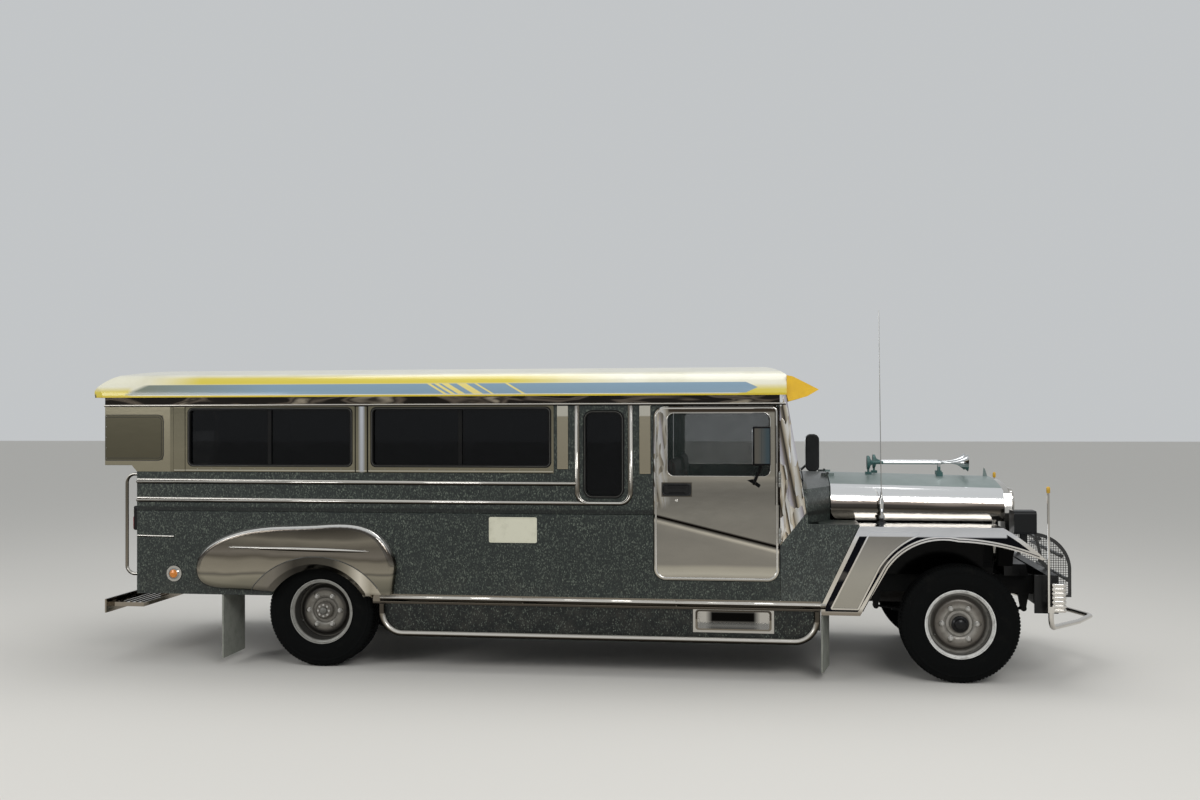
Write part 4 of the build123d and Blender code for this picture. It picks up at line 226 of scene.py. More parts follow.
# between the rear windows the steel gets a painted highlight, a bright upright gleam, with a
# painted dark reflection line either side
gleam = inside(tree, place, x=(-1.558, -1.526), z=(1.38, None), soft=0.010)
lines = add(tree, "Math", {0: inside(tree, place, x=(-1.592, -1.584)),
                           1: inside(tree, place, x=(-1.506, -1.498))}, operation="ADD")
colour = either(tree, gleam, colour, linear("#D8DAE0"))
colour = either(tree, lines, colour, linear("#2C2A24"))
connect(tree, shader, Base_Color=colour)
# painted reflection: half-round trims get the sky painted on top, a grey middle and the dark
# street underneath, by which way the surface faces, over painted reflection bands by height
TRIM_TONES = ((0.0, "#C9C5BD"), (0.5, "#D8D5CF"), (1.0, "#CFCBC4"))
trim_steel, tree, shader, place, tone = mirror_sheet(
    "half_round_stainless_trim", 0.0, TONES_TOP_Z, TRIM_TONES, 0.3, 300, 1.0, dent_mm=0.1)
facing = add(tree, "SeparateXYZ", {0: add(tree, "NewGeometry").outputs["Normal"]})
turned_up = add(tree, "MapRange", {0: facing.outputs["Z"], 1: -1.0, 2: 1.0})
painted_sky_and_street = add(tree, "ValToRGB", {0: turned_up}, stops=(
    (0.0, "#191714"), (0.30, "#2B2824"), (0.44, "#5D5850"), (0.52, "#A9A39A"), (0.60, "#F4F3F1"),
    (0.80, "#FFFFFF"), (1.0, "#DAD8D4")))
both_tones = add(tree, "Mix", {0: 1.0, 6: tone, 7: painted_sky_and_street}, data_type="RGBA", blend_type="MULTIPLY")
# painted shade: trims between 0.40 and 0.48 m up, under the sill trim, are darkened
shade = inside(tree, place, z=(0.40, 0.4795))
sheen = add(tree, "MapRange", {0: turned_up, 1: 0.5, 2: 0.6, 3: 1.0, 4: 0.45})
shaded = either(tree, shade, both_tones.outputs[2], linear("#4B463F"))
connect(tree, shader, Base_Color=shaded, Metallic=sheen)
# the rear frame gets painted reflection bands by height
frame_steel = mirror_sheet("rear_frame_stainless", 0.6, 1.9, (
    (0.0, "#8F877B"), (0.3, "#A9A194"), (0.55, "#7F776C"), (0.8, "#B6AE9F"), (1.0, "#958C7E")), 0.16)[0]
print(bright.name, beige_steel.name, frame_steel.name)

# %% [markdown]
# ## Rolled edges of the rear fenders
# The long teardrop fenders have a rolled shoulder. Where the roll faces upwards it gets a
# painted highlight, the sky as one bright line, with a painted dark reflection line just under it.
# The height of the surface's normal finds that line wherever the outline bends, which no height
# mask could do.


# %% Rear fender sheet
def upward(tree, low, high):
    """0 where the surface faces down or sideways, up to 1 where its normal's Z passes high."""
    facing = add(tree, "SeparateXYZ", {0: add(tree, "NewGeometry").outputs["Normal"]})
    return add(tree, "MapRange", {0: facing.outputs["Z"], 1: low, 2: high})


# painted reflection bands of the rear fender sheet, by height
SPAT_TONES = (
    (0.0, "#55524A"), (0.05, "#7C786B"), (0.10, "#6A675C"), (0.22, "#7C786B"), (0.30, "#8D887A"),
    (0.335, "#66625A"), (0.37, "#8D877A"), (0.50, "#827C70"), (0.55, "#5F5A51"), (0.60, "#78726A"),
    (0.70, "#6B665D"), (0.80, "#8A8478"), (0.86, "#6B665D"), (1.0, "#4A463F"))
spat_steel, tree, shader, place, colour = mirror_sheet(
    "rear_fender_stainless", 0.50, 1.00, SPAT_TONES, 0.13, 340, 0.5)
# inside the crease round the arch the sheet leans back, and gets a painted reflection: dark
# above the wheel, bright in front of it. The crease is half an ellipse over the axle.
CREASE_FOOT_Z, CREASE_HALF, CREASE_RISE = 0.304, 0.545, 0.485
crease_x, crease_z = REAR_AXLE_X + CREASE_HALF, CREASE_FOOT_Z + CREASE_RISE
parts = add(tree, "SeparateXYZ", {0: place})
across = add(tree, "MapRange", {0: parts.outputs["X"], 1: REAR_AXLE_X, 2: crease_x}, clamp=False)
along = add(tree, "MapRange", {0: parts.outputs["Z"], 1: CREASE_FOOT_Z, 2: crease_z}, clamp=False)
ring = add(tree, "CombineXYZ", {0: across, 2: along})
reach_out = add(tree, "VectorMath", {0: ring}, operation="LENGTH")
lip_zone = add(tree, "MapRange", {0: reach_out.outputs["Value"], 1: 0.99, 2: 1.0, 3: 1.0, 4: 0.0})
crease_reflection = add(tree, "ValToRGB", {0: add(tree, "MapRange", {0: across, 1: -1.0, 2: 1.0})}, stops=(
    (0.0, "#7D786C"), (0.22, "#77726A"), (0.36, "#3F3C37"), (0.62, "#4B4842"), (0.72, "#8F897C"),
    (0.80, "#D6D0C3"), (0.87, "#A39C8D"), (1.0, "#C7C0B2")))
colour = either(tree, lip_zone, colour, crease_reflection)
# the painted dark reflection line, then the painted highlight where the roll faces upwards
colour = either(tree, upward(tree, 0.03, 0.22), colour, linear("#4F4942"))
colour = either(tree, upward(tree, 0.30, 0.52), colour, linear("#F1EFEA"))
# a painted highlight lies along the spear, whose height falls by 16.5 mm in a metre
level = add(tree, "Math", {0: parts.outputs["X"], 1: 0.0165, 2: parts.outputs["Z"]}, operation="MULTIPLY_ADD")
over_foot = add(tree, "Math", {0: level, 1: 0.8075}, operation="SUBTRACT")
on_spear = add(tree, "MapRange", {0: over_foot, 1: 0.0, 2: 0.004})
off_spear = add(tree, "MapRange", {0: level, 1: 0.8125, 2: 0.816, 3: 1.0, 4: 0.0})
on_line = add(tree, "Math", {0: on_spear, 1: off_spear}, operation="MULTIPLY")
reach = inside(tree, place, x=(-2.47, -1.50), soft=0.004)
spear_highlight = add(tree, "Math", {0: on_line, 1: reach}, operation="MULTIPLY")
colour = either(tree, spear_highlight, colour, linear("#F4F3F0"))
connect(tree, shader, Base_Color=colour)
print(spat_steel.name, len(tree.nodes), "nodes")

# %% [markdown]
# ## Crumpled sheet
# The folded panels beside the windshield were beaten round the post, so they mirror the street
# in sharp scraps, like foil. The scraps are painted reflections: upright cells with bent borders
# give them, each with its own tone and a slope, and a ramp with close, contrasting stops colours
# them. The same painted scraps fill the dented rims of the doors.


# %% Foil tones
def foil(tree, place, size_mm, stretch=(1.0, 1.0, 0.45)):
    """Painted reflection scraps of light and dark, as colour, and the noise behind them for a bump."""
    long = add(tree, "Mapping", {"Vector": place, "Scale": stretch})
    warp = add(tree, "TexNoise", {"Vector": long, "Scale": grains(size_mm * 1.6), "Detail": 1})
    push = add(tree, "VectorMath", {0: warp.outputs["Color"], 1: (0.16, 0.16, 0.16)}, operation="MULTIPLY")
    moved = add(tree, "VectorMath", {0: long, 1: push}, operation="ADD")
    cells = add(tree, "TexVoronoi", {"Vector": moved, "Scale": grains(size_mm)})
    own = add(tree, "SeparateColor", {0: cells.outputs["Color"]})
    parts = add(tree, "SeparateXYZ", {0: place})
    slant = add(tree, "Math", {0: parts.outputs["X"], 1: 5.5, 2: parts.outputs["Z"]},
                operation="MULTIPLY_ADD")
    sloped = add(tree, "Math", {0: slant, 1: 0.8, 2: own}, operation="MULTIPLY_ADD")
    wrapped = add(tree, "Math", {0: sloped}, operation="FRACT")
    tones = add(tree, "ValToRGB", {0: wrapped}, stops=(
        (0.00, "#FFFFFF"), (0.14, "#F1ECE2"), (0.20, "#B7AA94"), (0.27, "#6A5F52"), (0.33, "#D9D0C0"),
        (0.45, "#FFFFFF"), (0.55, "#CFC9D2"), (0.62, "#8A8074"), (0.68, "#33302C"), (0.73, "#BDB09A"),
        (0.82, "#F6F1E7"), (0.92, "#D5C7B1"), (0.97, "#5E5548")))
    return tones, wrapped


post_steel, tree, shader, place = begin("beaten_post_stainless", Metallic=1.0)
tones, scraps = foil(tree, place, 46, (1.0, 1.0, 0.20))
bump = add(tree, "Bump", {"Height": scraps, "Distance": 0.0015})
polish = add(tree, "MapRange", {0: scraps, 3: 0.06, 4: 0.2})
connect(tree, shader, Base_Color=tones, Roughness=polish, Normal=bump)
print(post_steel.name)

# %% [markdown]
# ## Door sheet
# The doors are the same steel, in painted reflection bands: a calm grey-beige middle, a painted
# highlight on the fold at the foot and under the window, dented rims that break into painted
# reflection scraps, and painted shade, a dark line in the crease that slopes down towards the
# hinges, with a painted highlight just below it. The line is a mask on the height above that slope.

# %% Door steel
DOOR_TONES = (
    (0.0, "#8B867C"), (0.035, "#BDB8AB"), (0.07, "#AEA99C"), (0.09, "#8E8A82"), (0.27, "#96928A"),
    (0.36, "#A29E95"), (0.50, "#949088"), (0.555, "#A6A197"), (0.585, "#C2BBAE"), (0.60, "#B0AA9D"),
    (1.0, "#A29C8F"))
door_steel, tree, shader, place, colour = mirror_sheet(
    "door_stainless", 0.66, 1.84, DOOR_TONES, 0.03, 500, 0.5, (0.10, 0.15), 1.6)
split = add(tree, "SeparateXYZ", {0: place})
x, z = split.outputs["X"], split.outputs["Z"]
# the rim behind the window is dented and gets painted reflection scraps, and the strip above
# the window gets painted shade under the eaves
rim = inside(tree, place, x=(None, 0.585), z=(1.16, None), soft=0.03)
tones, scraps = foil(tree, place, 42, (1.0, 1.0, 0.25))
part = add(tree, "Math", {0: rim, 1: 0.62}, operation="MULTIPLY")
colour = either(tree, part, colour, tones)
above = inside(tree, place, x=(0.60, None), z=(1.790, None), soft=0.006)
colour = either(tree, above, colour, linear("#4B4137"))
# painted shade along the door's hinge edge
hinge_shade = inside(tree, place, x=(1.312, None), z=(1.17, None), soft=0.004)
colour = either(tree, hinge_shade, colour, linear("#3A3630"))
# painted shade in the crease, then a painted highlight just below it
slope = add(tree, "Math", {0: x, 1: 0.2434, 2: z}, operation="MULTIPLY_ADD")
dark = add(tree, "ValToRGB", {0: add(tree, "MapRange", {0: slope, 1: 1.164, 2: 1.264})}, stops=(
    (0.0, "#000000"), (0.30, "#303030"), (0.43, "#FFFFFF"), (0.56, "#FFFFFF"), (0.66, "#000000")))
colour = either(tree, dark, colour, linear("#2A2622"))
light = add(tree, "ValToRGB", {0: add(tree, "MapRange", {0: slope, 1: 1.120, 2: 1.200})}, stops=(
    (0.0, "#000000"), (0.55, "#505050"), (0.80, "#FFFFFF"), (0.95, "#000000")))
colour = either(tree, light, colour, linear("#D6CFC1"))
pocket = inside(tree, place, x=(0.560, 0.750), z=(1.228, 1.310))
# painted shade round the handle cup
margin = inside(tree, place, x=(0.552, 0.758), z=(1.220, 1.318))
colour = either(tree, margin, colour, linear("#6A645B"))
connect(tree, shader, Base_Color=either(tree, pocket, colour, linear("#0B0B0C")),
        Metallic=either(tree, pocket, 1.0, 0.0))
print(door_steel.name, len(tree.nodes), "nodes")

# %% [markdown]
# ## Granite-fleck paint
# The body is sprayed with fleck paint: a dark grey-green lacquer full of small pale and dark
# chips, 3 to 6 mm across, levelled under a thin clear coat. Cells give each chip its own tone,
# and a broader noise lets them lie thick here and thin there. Mud dulls the paint at the sill.


# %% Fleck paint
def fleck_paint(name, ground="#252A28", pale="#50584F", deep="#141817", coat=0.05, rough=0.48):
    material, tree, shader, place = begin(name, Roughness=rough, Coat_Weight=coat, Coat_Roughness=0.18,
                                          Specular_IOR_Level=0.28)
    tall = add(tree, "Mapping", {"Vector": place, "Scale": (1.0, 1.0, 0.55)})
    chips = add(tree, "TexVoronoi", {"Vector": tall, "Scale": grains(5.2)})
    tone = add(tree, "SeparateColor", {0: chips.outputs["Color"]})
    mottled = add(tree, "ValToRGB", {0: tone}, stops=(
        (0.0, deep), (0.35, ground), (0.66, ground), (0.86, pale), (1.0, "#6F766B")))
    patches = add(tree, "TexNoise", {"Vector": place, "Scale": grains(60), "Detail": 5, "Roughness": 0.65})
    amount = add(tree, "MapRange", {0: patches, 1: 0.2, 2: 0.75})
    colour = either(tree, amount, linear(ground), mottled)
    low = inside(tree, place, z=(None, 0.62), soft=0.16)
    mud = add(tree, "TexNoise", {"Vector": place, "Scale": grains(90), "Detail": 9, "Roughness": 0.75})
    splash = add(tree, "MapRange", {0: mud, 1: 0.45, 2: 0.72, 4: 0.16})
    dirty = add(tree, "Math", {0: low, 1: splash}, operation="MULTIPLY")
    colour = either(tree, dirty, colour, linear("#6B675C"))
    bump = add(tree, "Bump", {"Height": chips.outputs["Distance"], "Distance": 0.0004, "Strength": 0.5})
    # the wall is pressed inwards along a soft swage, which lies in its own shade
    swage = inside(tree, place, z=(1.098, 1.128), soft=0.008)
    colour = either(tree, add(tree, "Math", {0: swage, 1: 0.75}, operation="MULTIPLY"), colour,
                    linear("#0C0E0D"))
    connect(tree, shader, Base_Color=colour, Normal=bump)
    return material, tree, shader, place, colour


granite, tree, shader, place, colour = fleck_paint("granite_fleck_lacquer")
# above the gutter the wall is a bright steel strip, black with painted reflections of the eaves
strip = inside(tree, place, z=(1.838, None))
scraps = add(tree, "TexNoise", {"Vector": add(tree, "Mapping", {"Vector": place, "Scale": (0.35, 1, 2)}),
                                "Scale": grains(150), "Detail": 2, "Distortion": 0.6})
eaves = add(tree, "ValToRGB", {0: scraps}, stops=(
    (0.0, "#211E1B"), (0.50, "#2A2622"), (0.56, "#6E6357"), (0.62, "#3A342E"), (0.70, "#A79B88")))
connect(tree, shader, Base_Color=either(tree, strip, colour, eaves), Metallic=strip,
        Roughness=either(tree, strip, 0.42, 0.12))
cowl_paint = fleck_paint("cowl_fleck_lacquer", "#2C312F", "#5F6862", "#1A1E1D", 0.3, 0.36)[0]

skirt_paint, tree, shader, place, colour = fleck_paint(
    "skirt_fleck_lacquer", "#121514", "#2C332F", "#0C0E0D", 0.03, 0.5)
tray = inside(tree, place, x=(0.762, 1.301), z=(0.312, 0.480))
# painted shade: the pocket's mouth is dark inside its chrome tray
pocket_shade = inside(tree, place, x=(0.862, 1.188), z=(0.350, 0.446), soft=0.022)
tray_tone = either(tree, pocket_shade, linear("#B9B6B0"), linear("#0B0A09"))
connect(tree, shader, Base_Color=either(tree, tray, colour, tray_tone), Metallic=tray,
        Roughness=either(tree, tray, 0.4, 0.1))
print("fleck paints:", granite.name, cowl_paint.name, skirt_paint.name)

# %% [markdown]
# ## Roof enamel
# The roof is glossy enamel, sprayed in bands: cream on the crown, yellow that fades out towards
# both ends, a blue-grey band with a pointed front end, and a thin yellow line at the eaves.
# Slanting yellow strokes break the band. Each band is a box mask, and the strokes are a stepped
# ramp over a slanted coordinate.

# %% Roof bands
roof_paint, tree, shader, place = begin("banded_roof_enamel", Roughness=0.3, Coat_Weight=0.6,
                                        Coat_Roughness=0.08)
split = add(tree, "SeparateXYZ", {0: place})
x, z = split.outputs["X"], split.outputs["Z"]
cream, yellow, blue = "#DEDBC8", "#CDBB3E", "#7B94A6"
weather = add(tree, "TexNoise", {"Vector": place, "Scale": grains(300), "Detail": 6, "Roughness": 0.6})
stain = add(tree, "MapRange", {0: weather, 1: 0.45, 2: 0.75, 4: 0.45})
colour = either(tree, stain, linear(cream), linear("#BDB796"))
fade = add(tree, "ValToRGB", {0: add(tree, "MapRange", {0: x, 1: -3.6, 2: 1.4})}, stops=(
    (0.0, "#000000"), (0.09, "#404040"), (0.17, "#FFFFFF"), (0.62, "#FFFFFF"), (0.78, "#000000")))
band = inside(tree, place, z=(1.990, 2.050), soft=0.012)
band = add(tree, "Math", {0: band, 1: fade}, operation="MULTIPLY")
colour = either(tree, band, colour, linear(yellow))
# both lower corners are yellow, fading upwards
front = inside(tree, place, x=(1.08, None), z=(None, 1.962), soft=0.02)
rear = inside(tree, place, x=(None, -3.26), z=(None, 1.962), soft=0.02)
corner = add(tree, "Math", {0: front, 1: rear}, operation="MAXIMUM")
colour = either(tree, corner, colour, linear(yellow))
# the band's front end is a point: its length shrinks away from the middle height
off = add(tree, "Math", {0: z, 1: 1.957}, operation="SUBTRACT")
far = add(tree, "Math", {0: add(tree, "Math", {0: off}, operation="ABSOLUTE"), 1: 2.2, 2: x},
          operation="MULTIPLY_ADD")
end = add(tree, "MapRange", {0: far, 1: 1.198, 2: 1.202, 3: 1.0, 4: 0.0})
blue_box = inside(tree, place, x=(-3.30, None), z=(1.921, 1.993))
blue_area = add(tree, "Math", {0: blue_box, 1: end}, operation="MULTIPLY")
shade = add(tree, "MapRange", {0: x, 1: -3.2, 2: -2.2})
blue_tone = either(tree, shade, linear("#6F7566"), linear(blue))
# its rear end is cut on a slant
tail = add(tree, "Math", {0: z, 1: -2.2, 2: x}, operation="MULTIPLY_ADD")
start = add(tree, "MapRange", {0: tail, 1: -7.56, 2: -7.50})
blue_part = add(tree, "Math", {0: blue_area, 1: start}, operation="MULTIPLY")
colour = either(tree, blue_part, colour, blue_tone)
slant = add(tree, "Math", {0: z, 1: 1.75, 2: x}, operation="MULTIPLY_ADD")
along = add(tree, "MapRange", {0: slant, 1: 2.38, 2: 3.08})
strokes = add(tree, "ValToRGB", {0: along}, stops=(
    (0.0, "#000000"), (0.04, "#FFFFFF"), (0.075, "#000000"), (0.115, "#FFFFFF"), (0.16, "#000000"),
    (0.19, "#FFFFFF"), (0.26, "#000000"), (0.34, "#FFFFFF"), (0.44, "#000000"), (0.52, "#FFFFFF"),
    (0.55, "#000000"), (0.83, "#FFFFFF"), (0.86, "#000000")))
strokes.color_ramp.interpolation = "CONSTANT"
stroke = add(tree, "Math", {0: blue_area, 1: strokes}, operation="MULTIPLY")
colour = either(tree, stroke, colour, linear("#DCCB7A"))
line = inside(tree, place, z=(None, 1.916))
colour = either(tree, line, colour, linear("#C9B01E"))
ripple = add(tree, "TexNoise", {"Vector": place, "Scale": grains(380), "Detail": 1})
bump = add(tree, "Bump", {"Height": ripple, "Distance": 0.002})
connect(tree, shader, Base_Color=colour, Normal=bump)
print(roof_paint.name, len(tree.nodes), "nodes")

# %% [markdown]
# ## Visor and hood enamel
# The sun visor is yellow enamel over steel, bare and bright on its upper slope. The hood lid is
# grey-green satin enamel on top, with bright steel sides in painted reflection bands, whose dark
# middle band is the street's horizon painted in. The visor's mask reads which way the surface
# faces, and the hood's reads a height that tilts with the lid.

# %% Visor and hood
visor_paint, tree, shader, place = begin("visor_enamel", Coat_Weight=0.5, Coat_Roughness=0.1)
normal = add(tree, "SeparateXYZ", {0: add(tree, "NewGeometry").outputs["Normal"]})
upper = add(tree, "MapRange", {0: normal.outputs["Z"], 1: 0.25, 2: 0.35})
wear = add(tree, "TexNoise", {"Vector": place, "Scale": grains(70), "Detail": 7, "Roughness": 0.65})
sun = either(tree, wear, linear("#F0C21C"), linear("#C99A12"))
connect(tree, shader, Base_Color=either(tree, upper, sun, linear("#B8B4AC")), Metallic=upper,
        Roughness=either(tree, upper, 0.32, 0.22))

hood_paint, tree, shader, place = begin("hood_enamel_over_stainless")
split = add(tree, "SeparateXYZ", {0: place})
level = add(tree, "Math", {0: split.outputs["X"], 1: 0.0225, 2: split.outputs["Z"]}, operation="MULTIPLY_ADD")
top = add(tree, "MapRange", {0: level, 1: 1.327, 2: 1.3275})
wobble = add(tree, "TexNoise", {"Vector": place, "Scale": grains(500), "Detail": 1})
rung = add(tree, "Math", {0: wobble, 1: 0.035, 2: level}, operation="MULTIPLY_ADD")
# painted reflection bands on the steel sides, with a painted highlight on the shoulder
painted_reflection_bands = add(tree, "ValToRGB", {0: add(tree, "MapRange", {0: rung, 1: 1.08, 2: 1.35})}, stops=(
    (0.0, "#4A453E"), (0.10, "#7C756B"), (0.24, "#8E877C"), (0.32, "#6F6960"), (0.40, "#46423D"),
    (0.50, "#524D48"), (0.545, "#A5978D"), (0.63, "#D5CCC3"), (0.70, "#FAFAF9"), (1.0, "#FDFDFD")))
satin = add(tree, "TexNoise", {"Vector": place, "Scale": grains(120), "Detail": 6})
green = either(tree, satin, linear("#6E7B78"), linear("#8D9996"))
dents = add(tree, "TexNoise", {"Vector": place, "Scale": grains(260), "Detail": 1})
bump = add(tree, "Bump", {"Height": dents, "Distance": 0.0008})
connect(tree, shader, Base_Color=either(tree, top, painted_reflection_bands, green),
        Metallic=either(tree, top, 1.0, 0.25), Roughness=either(tree, top, 0.1, 0.32),
        Normal=bump)
print("visor and hood ready")

# %% [markdown]
# ## Glass
# The cabin panes carry dark sun film, so hardly anything shows through; the cab's panes are clear
# with a grey-green edge colour. Glass this thin needs no bending of light: alpha lets the right
# share of what is behind through, and a smooth surface gives the gloss. Wiping leaves faint arcs.


# %% Glass
def pane(name, tone, see_through, smear, gloss=0.5):
    material, tree, shader, place = begin(name, Base_Color=tone, IOR=1.5, Specular_IOR_Level=gloss)
    wiped = add(tree, "TexNoise", {"Vector": place, "Scale": grains(150), "Detail": 6, "Distortion": 1.5})
    rough = add(tree, "MapRange", {0: wiped, 1: 0.4, 2: 0.75, 3: 0.02, 4: smear})
    film = add(tree, "MapRange", {0: wiped, 1: 0.35, 2: 0.8,
                                  3: 1 - see_through, 4: min(1, 1.08 - see_through)})
    connect(tree, shader, Roughness=rough, Alpha=film)
    material.surface_render_method = "DITHERED"
    return material


film_glass = pane("sun_filmed_safety_glass", "#040507", 0.1, 0.08, 0.22)
# the windshield belongs to the same CAD piece as the cabin's panes, but carries no film
tree = film_glass.node_tree
shader = tree.nodes["Principled BSDF"]
place = add(tree, "TexCoord").outputs["Object"]
screen = inside(tree, place, x=(1.2, None))
filmed = shader.inputs["Alpha"].links[0].from_socket
connect(tree, shader, Alpha=either(tree, screen, filmed, 0.32),
        Base_Color=either(tree, screen, linear("#040507"), linear("#1B2422")))
clear_glass = pane("clear_safety_glass", "#1B2422", 0.62, 0.06)
print(film_glass.name, clear_glass.name)

# %% [markdown]
# ## Rubber, plastic, paint and castings
# The rest of the vehicle shares a few workshop finishes. They differ in tone, gloss, grain size
# and how much dust sits in the grain, so one recipe takes those as values: a base tone, a second
# tone for dust or wear, the grain in millimetres and its height.


# %% A grained finish
def grained(name, tone, dust, grain_mm, height_mm, rough, metallic=0.0, amount=(0.45, 0.75), coat=0.0,
            gloss=0.5):
    material, tree, shader, place = begin(name, Metallic=metallic, Coat_Weight=coat, Coat_Roughness=0.15,
                                          Specular_IOR_Level=gloss)
    fine = add(tree, "TexNoise", {"Vector": place, "Scale": grains(grain_mm), "Detail": 4})
    wide = add(tree, "TexNoise", {"Vector": place, "Scale": grains(110), "Detail": 9, "Roughness": 0.7})
    cover = add(tree, "MapRange", {0: wide, 1: amount[0], 2: amount[1]})
    spread = add(tree, "MapRange", {0: fine, 3: rough - 0.08, 4: rough + 0.1})
    bump = add(tree, "Bump", {"Height": fine, "Distance": height_mm / 1000})
    connect(tree, shader, Base_Color=either(tree, cover, linear(tone), linear(dust)),
            Roughness=spread, Normal=bump)
    return material


seal_rubber = grained("extruded_window_rubber", "#070707", "#141412", 2, 0.05, 0.5, gloss=0.15)
flap_rubber = grained("sheet_rubber", "#85877F", "#5B5C56", 3, 0.2, 0.72, amount=(0.45, 0.85), gloss=0.2)
tyre_rubber = grained("vulcanised_tyre_rubber", "#090A0A", "#1C1B18", 2.5, 0.12, 0.85,
                      amount=(0.55, 0.98), gloss=0.08)
chassis_black = grained("chassis_enamel", "#0B0C0C", "#221F1C", 5, 0.15, 0.52, amount=(0.5, 0.85), gloss=0.15)
bumper_black = grained("gloss_black_enamel", "#060607", "#121211", 8, 0.05, 0.3, coat=0.1, gloss=0.25)
cast_iron = grained("oily_cast_iron", "#3A3836", "#231F1B", 3, 0.5, 0.62, metallic=0.6)
black_abs = grained("moulded_black_abs", "#0E0F10", "#1A1B1C", 1.5, 0.12, 0.42, gloss=0.3)
wheel_grey = grained("dusty_wheel_enamel", "#6F6E69", "#37342F", 6, 0.1, 0.45, metallic=0.45,
                     amount=(0.42, 0.7))
bench_grey = grained("bench_enamel", "#6F6E6A", "#57544E", 9, 0.1, 0.45)
vinyl = grained("grained_vinyl", "#4A1D1E", "#331516", 4, 0.35, 0.46)
piping = grained("vinyl_piping", "#1B1414", "#241B1A", 3, 0.1, 0.5)
pipe_steel = grained("heat_stained_pipe", "#4E4640", "#6B4A34", 6, 0.25, 0.6, metallic=0.7)
zinc = grained("zinc_plated_steel", "#8F8F8B", "#6C6860", 4, 0.1, 0.35, metallic=0.9)
print("grained finishes ready")

# %% [markdown]
# ## Floor plate
# The cabin floor is chequer plate: rolled steel with rows of raised studs, worn bright on top.
# Cells without randomness make an even grid, which is turned by 45 degrees. The studs are about
# 16 mm wide and sit 30 mm apart.

# %% Chequer plate
floor_plate, tree, shader, place = begin("chequer_plate", Metallic=0.9, Roughness=0.42)
turned_place = add(tree, "Mapping", {"Vector": place, "Rotation": (0, 0, math.radians(45))})
rows = add(tree, "TexVoronoi", {"Vector": turned_place, "Scale": grains(30), "Randomness": 0.0})
stud = add(tree, "MapRange", {0: rows.outputs["Distance"], 1: 0.2, 2: 0.32, 3: 1.0, 4: 0.0})
bump = add(tree, "Bump", {"Height": stud, "Distance": 0.0015})
connect(tree, shader, Base_Color=either(tree, stud, linear("#4C4B48"), linear("#8C8A85")), Normal=bump)
print(floor_plate.name)

# %% [markdown]
# ## Front fenders and grille shell
# The front fenders are pressed stainless sheet, with painted reflections and highlights: bright
# raised borders, a greyer channel between, a beige sunk field, and black undersealing on what
# faces the wheel. Those parts differ by millimetres in their distance from the middle of the
# vehicle, so that distance is the mask.

# %% Front fender steel
fender_steel, tree, shader, place, field_tone = mirror_sheet("front_fender_stainless", 0.5, 1.02, (
    (0.0, "#A19D93"), (0.4, "#A5A299"), (0.75, "#989590"), (1.0, "#8C8A85")), 0.1, 300, 1.0, (0.10, 0.16))
split = add(tree, "SeparateXYZ", {0: place})
out = add(tree, "Math", {0: split.outputs["Y"]}, operation="ABSOLUTE")
proud = add(tree, "MapRange", {0: out, 1: 0.9325, 2: 0.9345})
sunk = add(tree, "MapRange", {0: out, 1: 0.9275, 2: 0.9285, 3: 1.0, 4: 0.0})
skin = add(tree, "MapRange", {0: out, 1: 0.9235, 2: 0.9245})
# painted reflection: the channel gets the dark street, with a thin painted gleam along it, and
# the rolled border gets painted highlights, brightest at its top
ripple = add(tree, "TexNoise", {"Vector": place, "Scale": grains(160), "Detail": 1.5})
channel = either(tree, add(tree, "MapRange", {0: ripple, 1: 0.55, 2: 0.62}),
                 linear("#14151A"), linear("#4C4A48"))
colour = either(tree, sunk, channel, field_tone)
height = split.outputs["Z"]
rolled = add(tree, "ValToRGB", {0: add(tree, "MapRange", {0: height, 1: 0.46, 2: 1.02})}, stops=(
    (0.0, "#8E867B"), (0.06, "#D7D2C8"), (0.5, "#C8C2B8"), (0.8, "#D9D6D2"), (0.93, "#F4F5F8"),
    (1.0, "#FFFFFF")))
colour = either(tree, proud, colour, rolled)
# painted highlight on the crown: its border all along, its skin only behind x = 2.80
over = inside(tree, place, z=(0.968, None), soft=0.004)
over_border = add(tree, "Math", {0: over, 1: proud}, operation="MULTIPLY")
over = inside(tree, place, x=(None, 2.80), z=(0.968, None), soft=0.004)
over_skin = add(tree, "Math", {0: over, 1: skin}, operation="MULTIPLY")
crown_highlight = add(tree, "Math", {0: over_border, 1: over_skin}, operation="MAXIMUM")
colour = either(tree, crown_highlight, colour, linear("#E4E6EC"))
# painted highlight where the sheet faces upwards
lid = upward(tree, 0.2, 0.35)
colour = either(tree, lid, colour, linear("#DFE3EA"))
cover = add(tree, "Math", {0: skin, 1: lid}, operation="MAXIMUM")
shader.inputs["Specular IOR Level"].default_value = 0.08
connect(tree, shader, Base_Color=either(tree, cover, linear("#050505"), colour), Metallic=cover)
print(fender_steel.name, len(tree.nodes), "nodes")

# %% Grille shell
# bright in front; its flanks, in the wheel houses below the lamps, get painted shade, near black
shell_steel, tree, shader, place, tone = mirror_sheet(
    "grille_stainless", 0.0, TONES_TOP_Z, BRIGHT_TONES, 0.3, 300, 1.0, dent_mm=0.1)
flanks = add(tree, "Math", {0: inside(tree, place, y=(None, -0.497), z=(None, 0.985)),
                            1: inside(tree, place, y=(0.497, None), z=(None, 0.985))}, operation="MAXIMUM")
connect(tree, shader, Base_Color=either(tree, flanks, tone, linear("#0B0B0B")))
print(shell_steel.name)
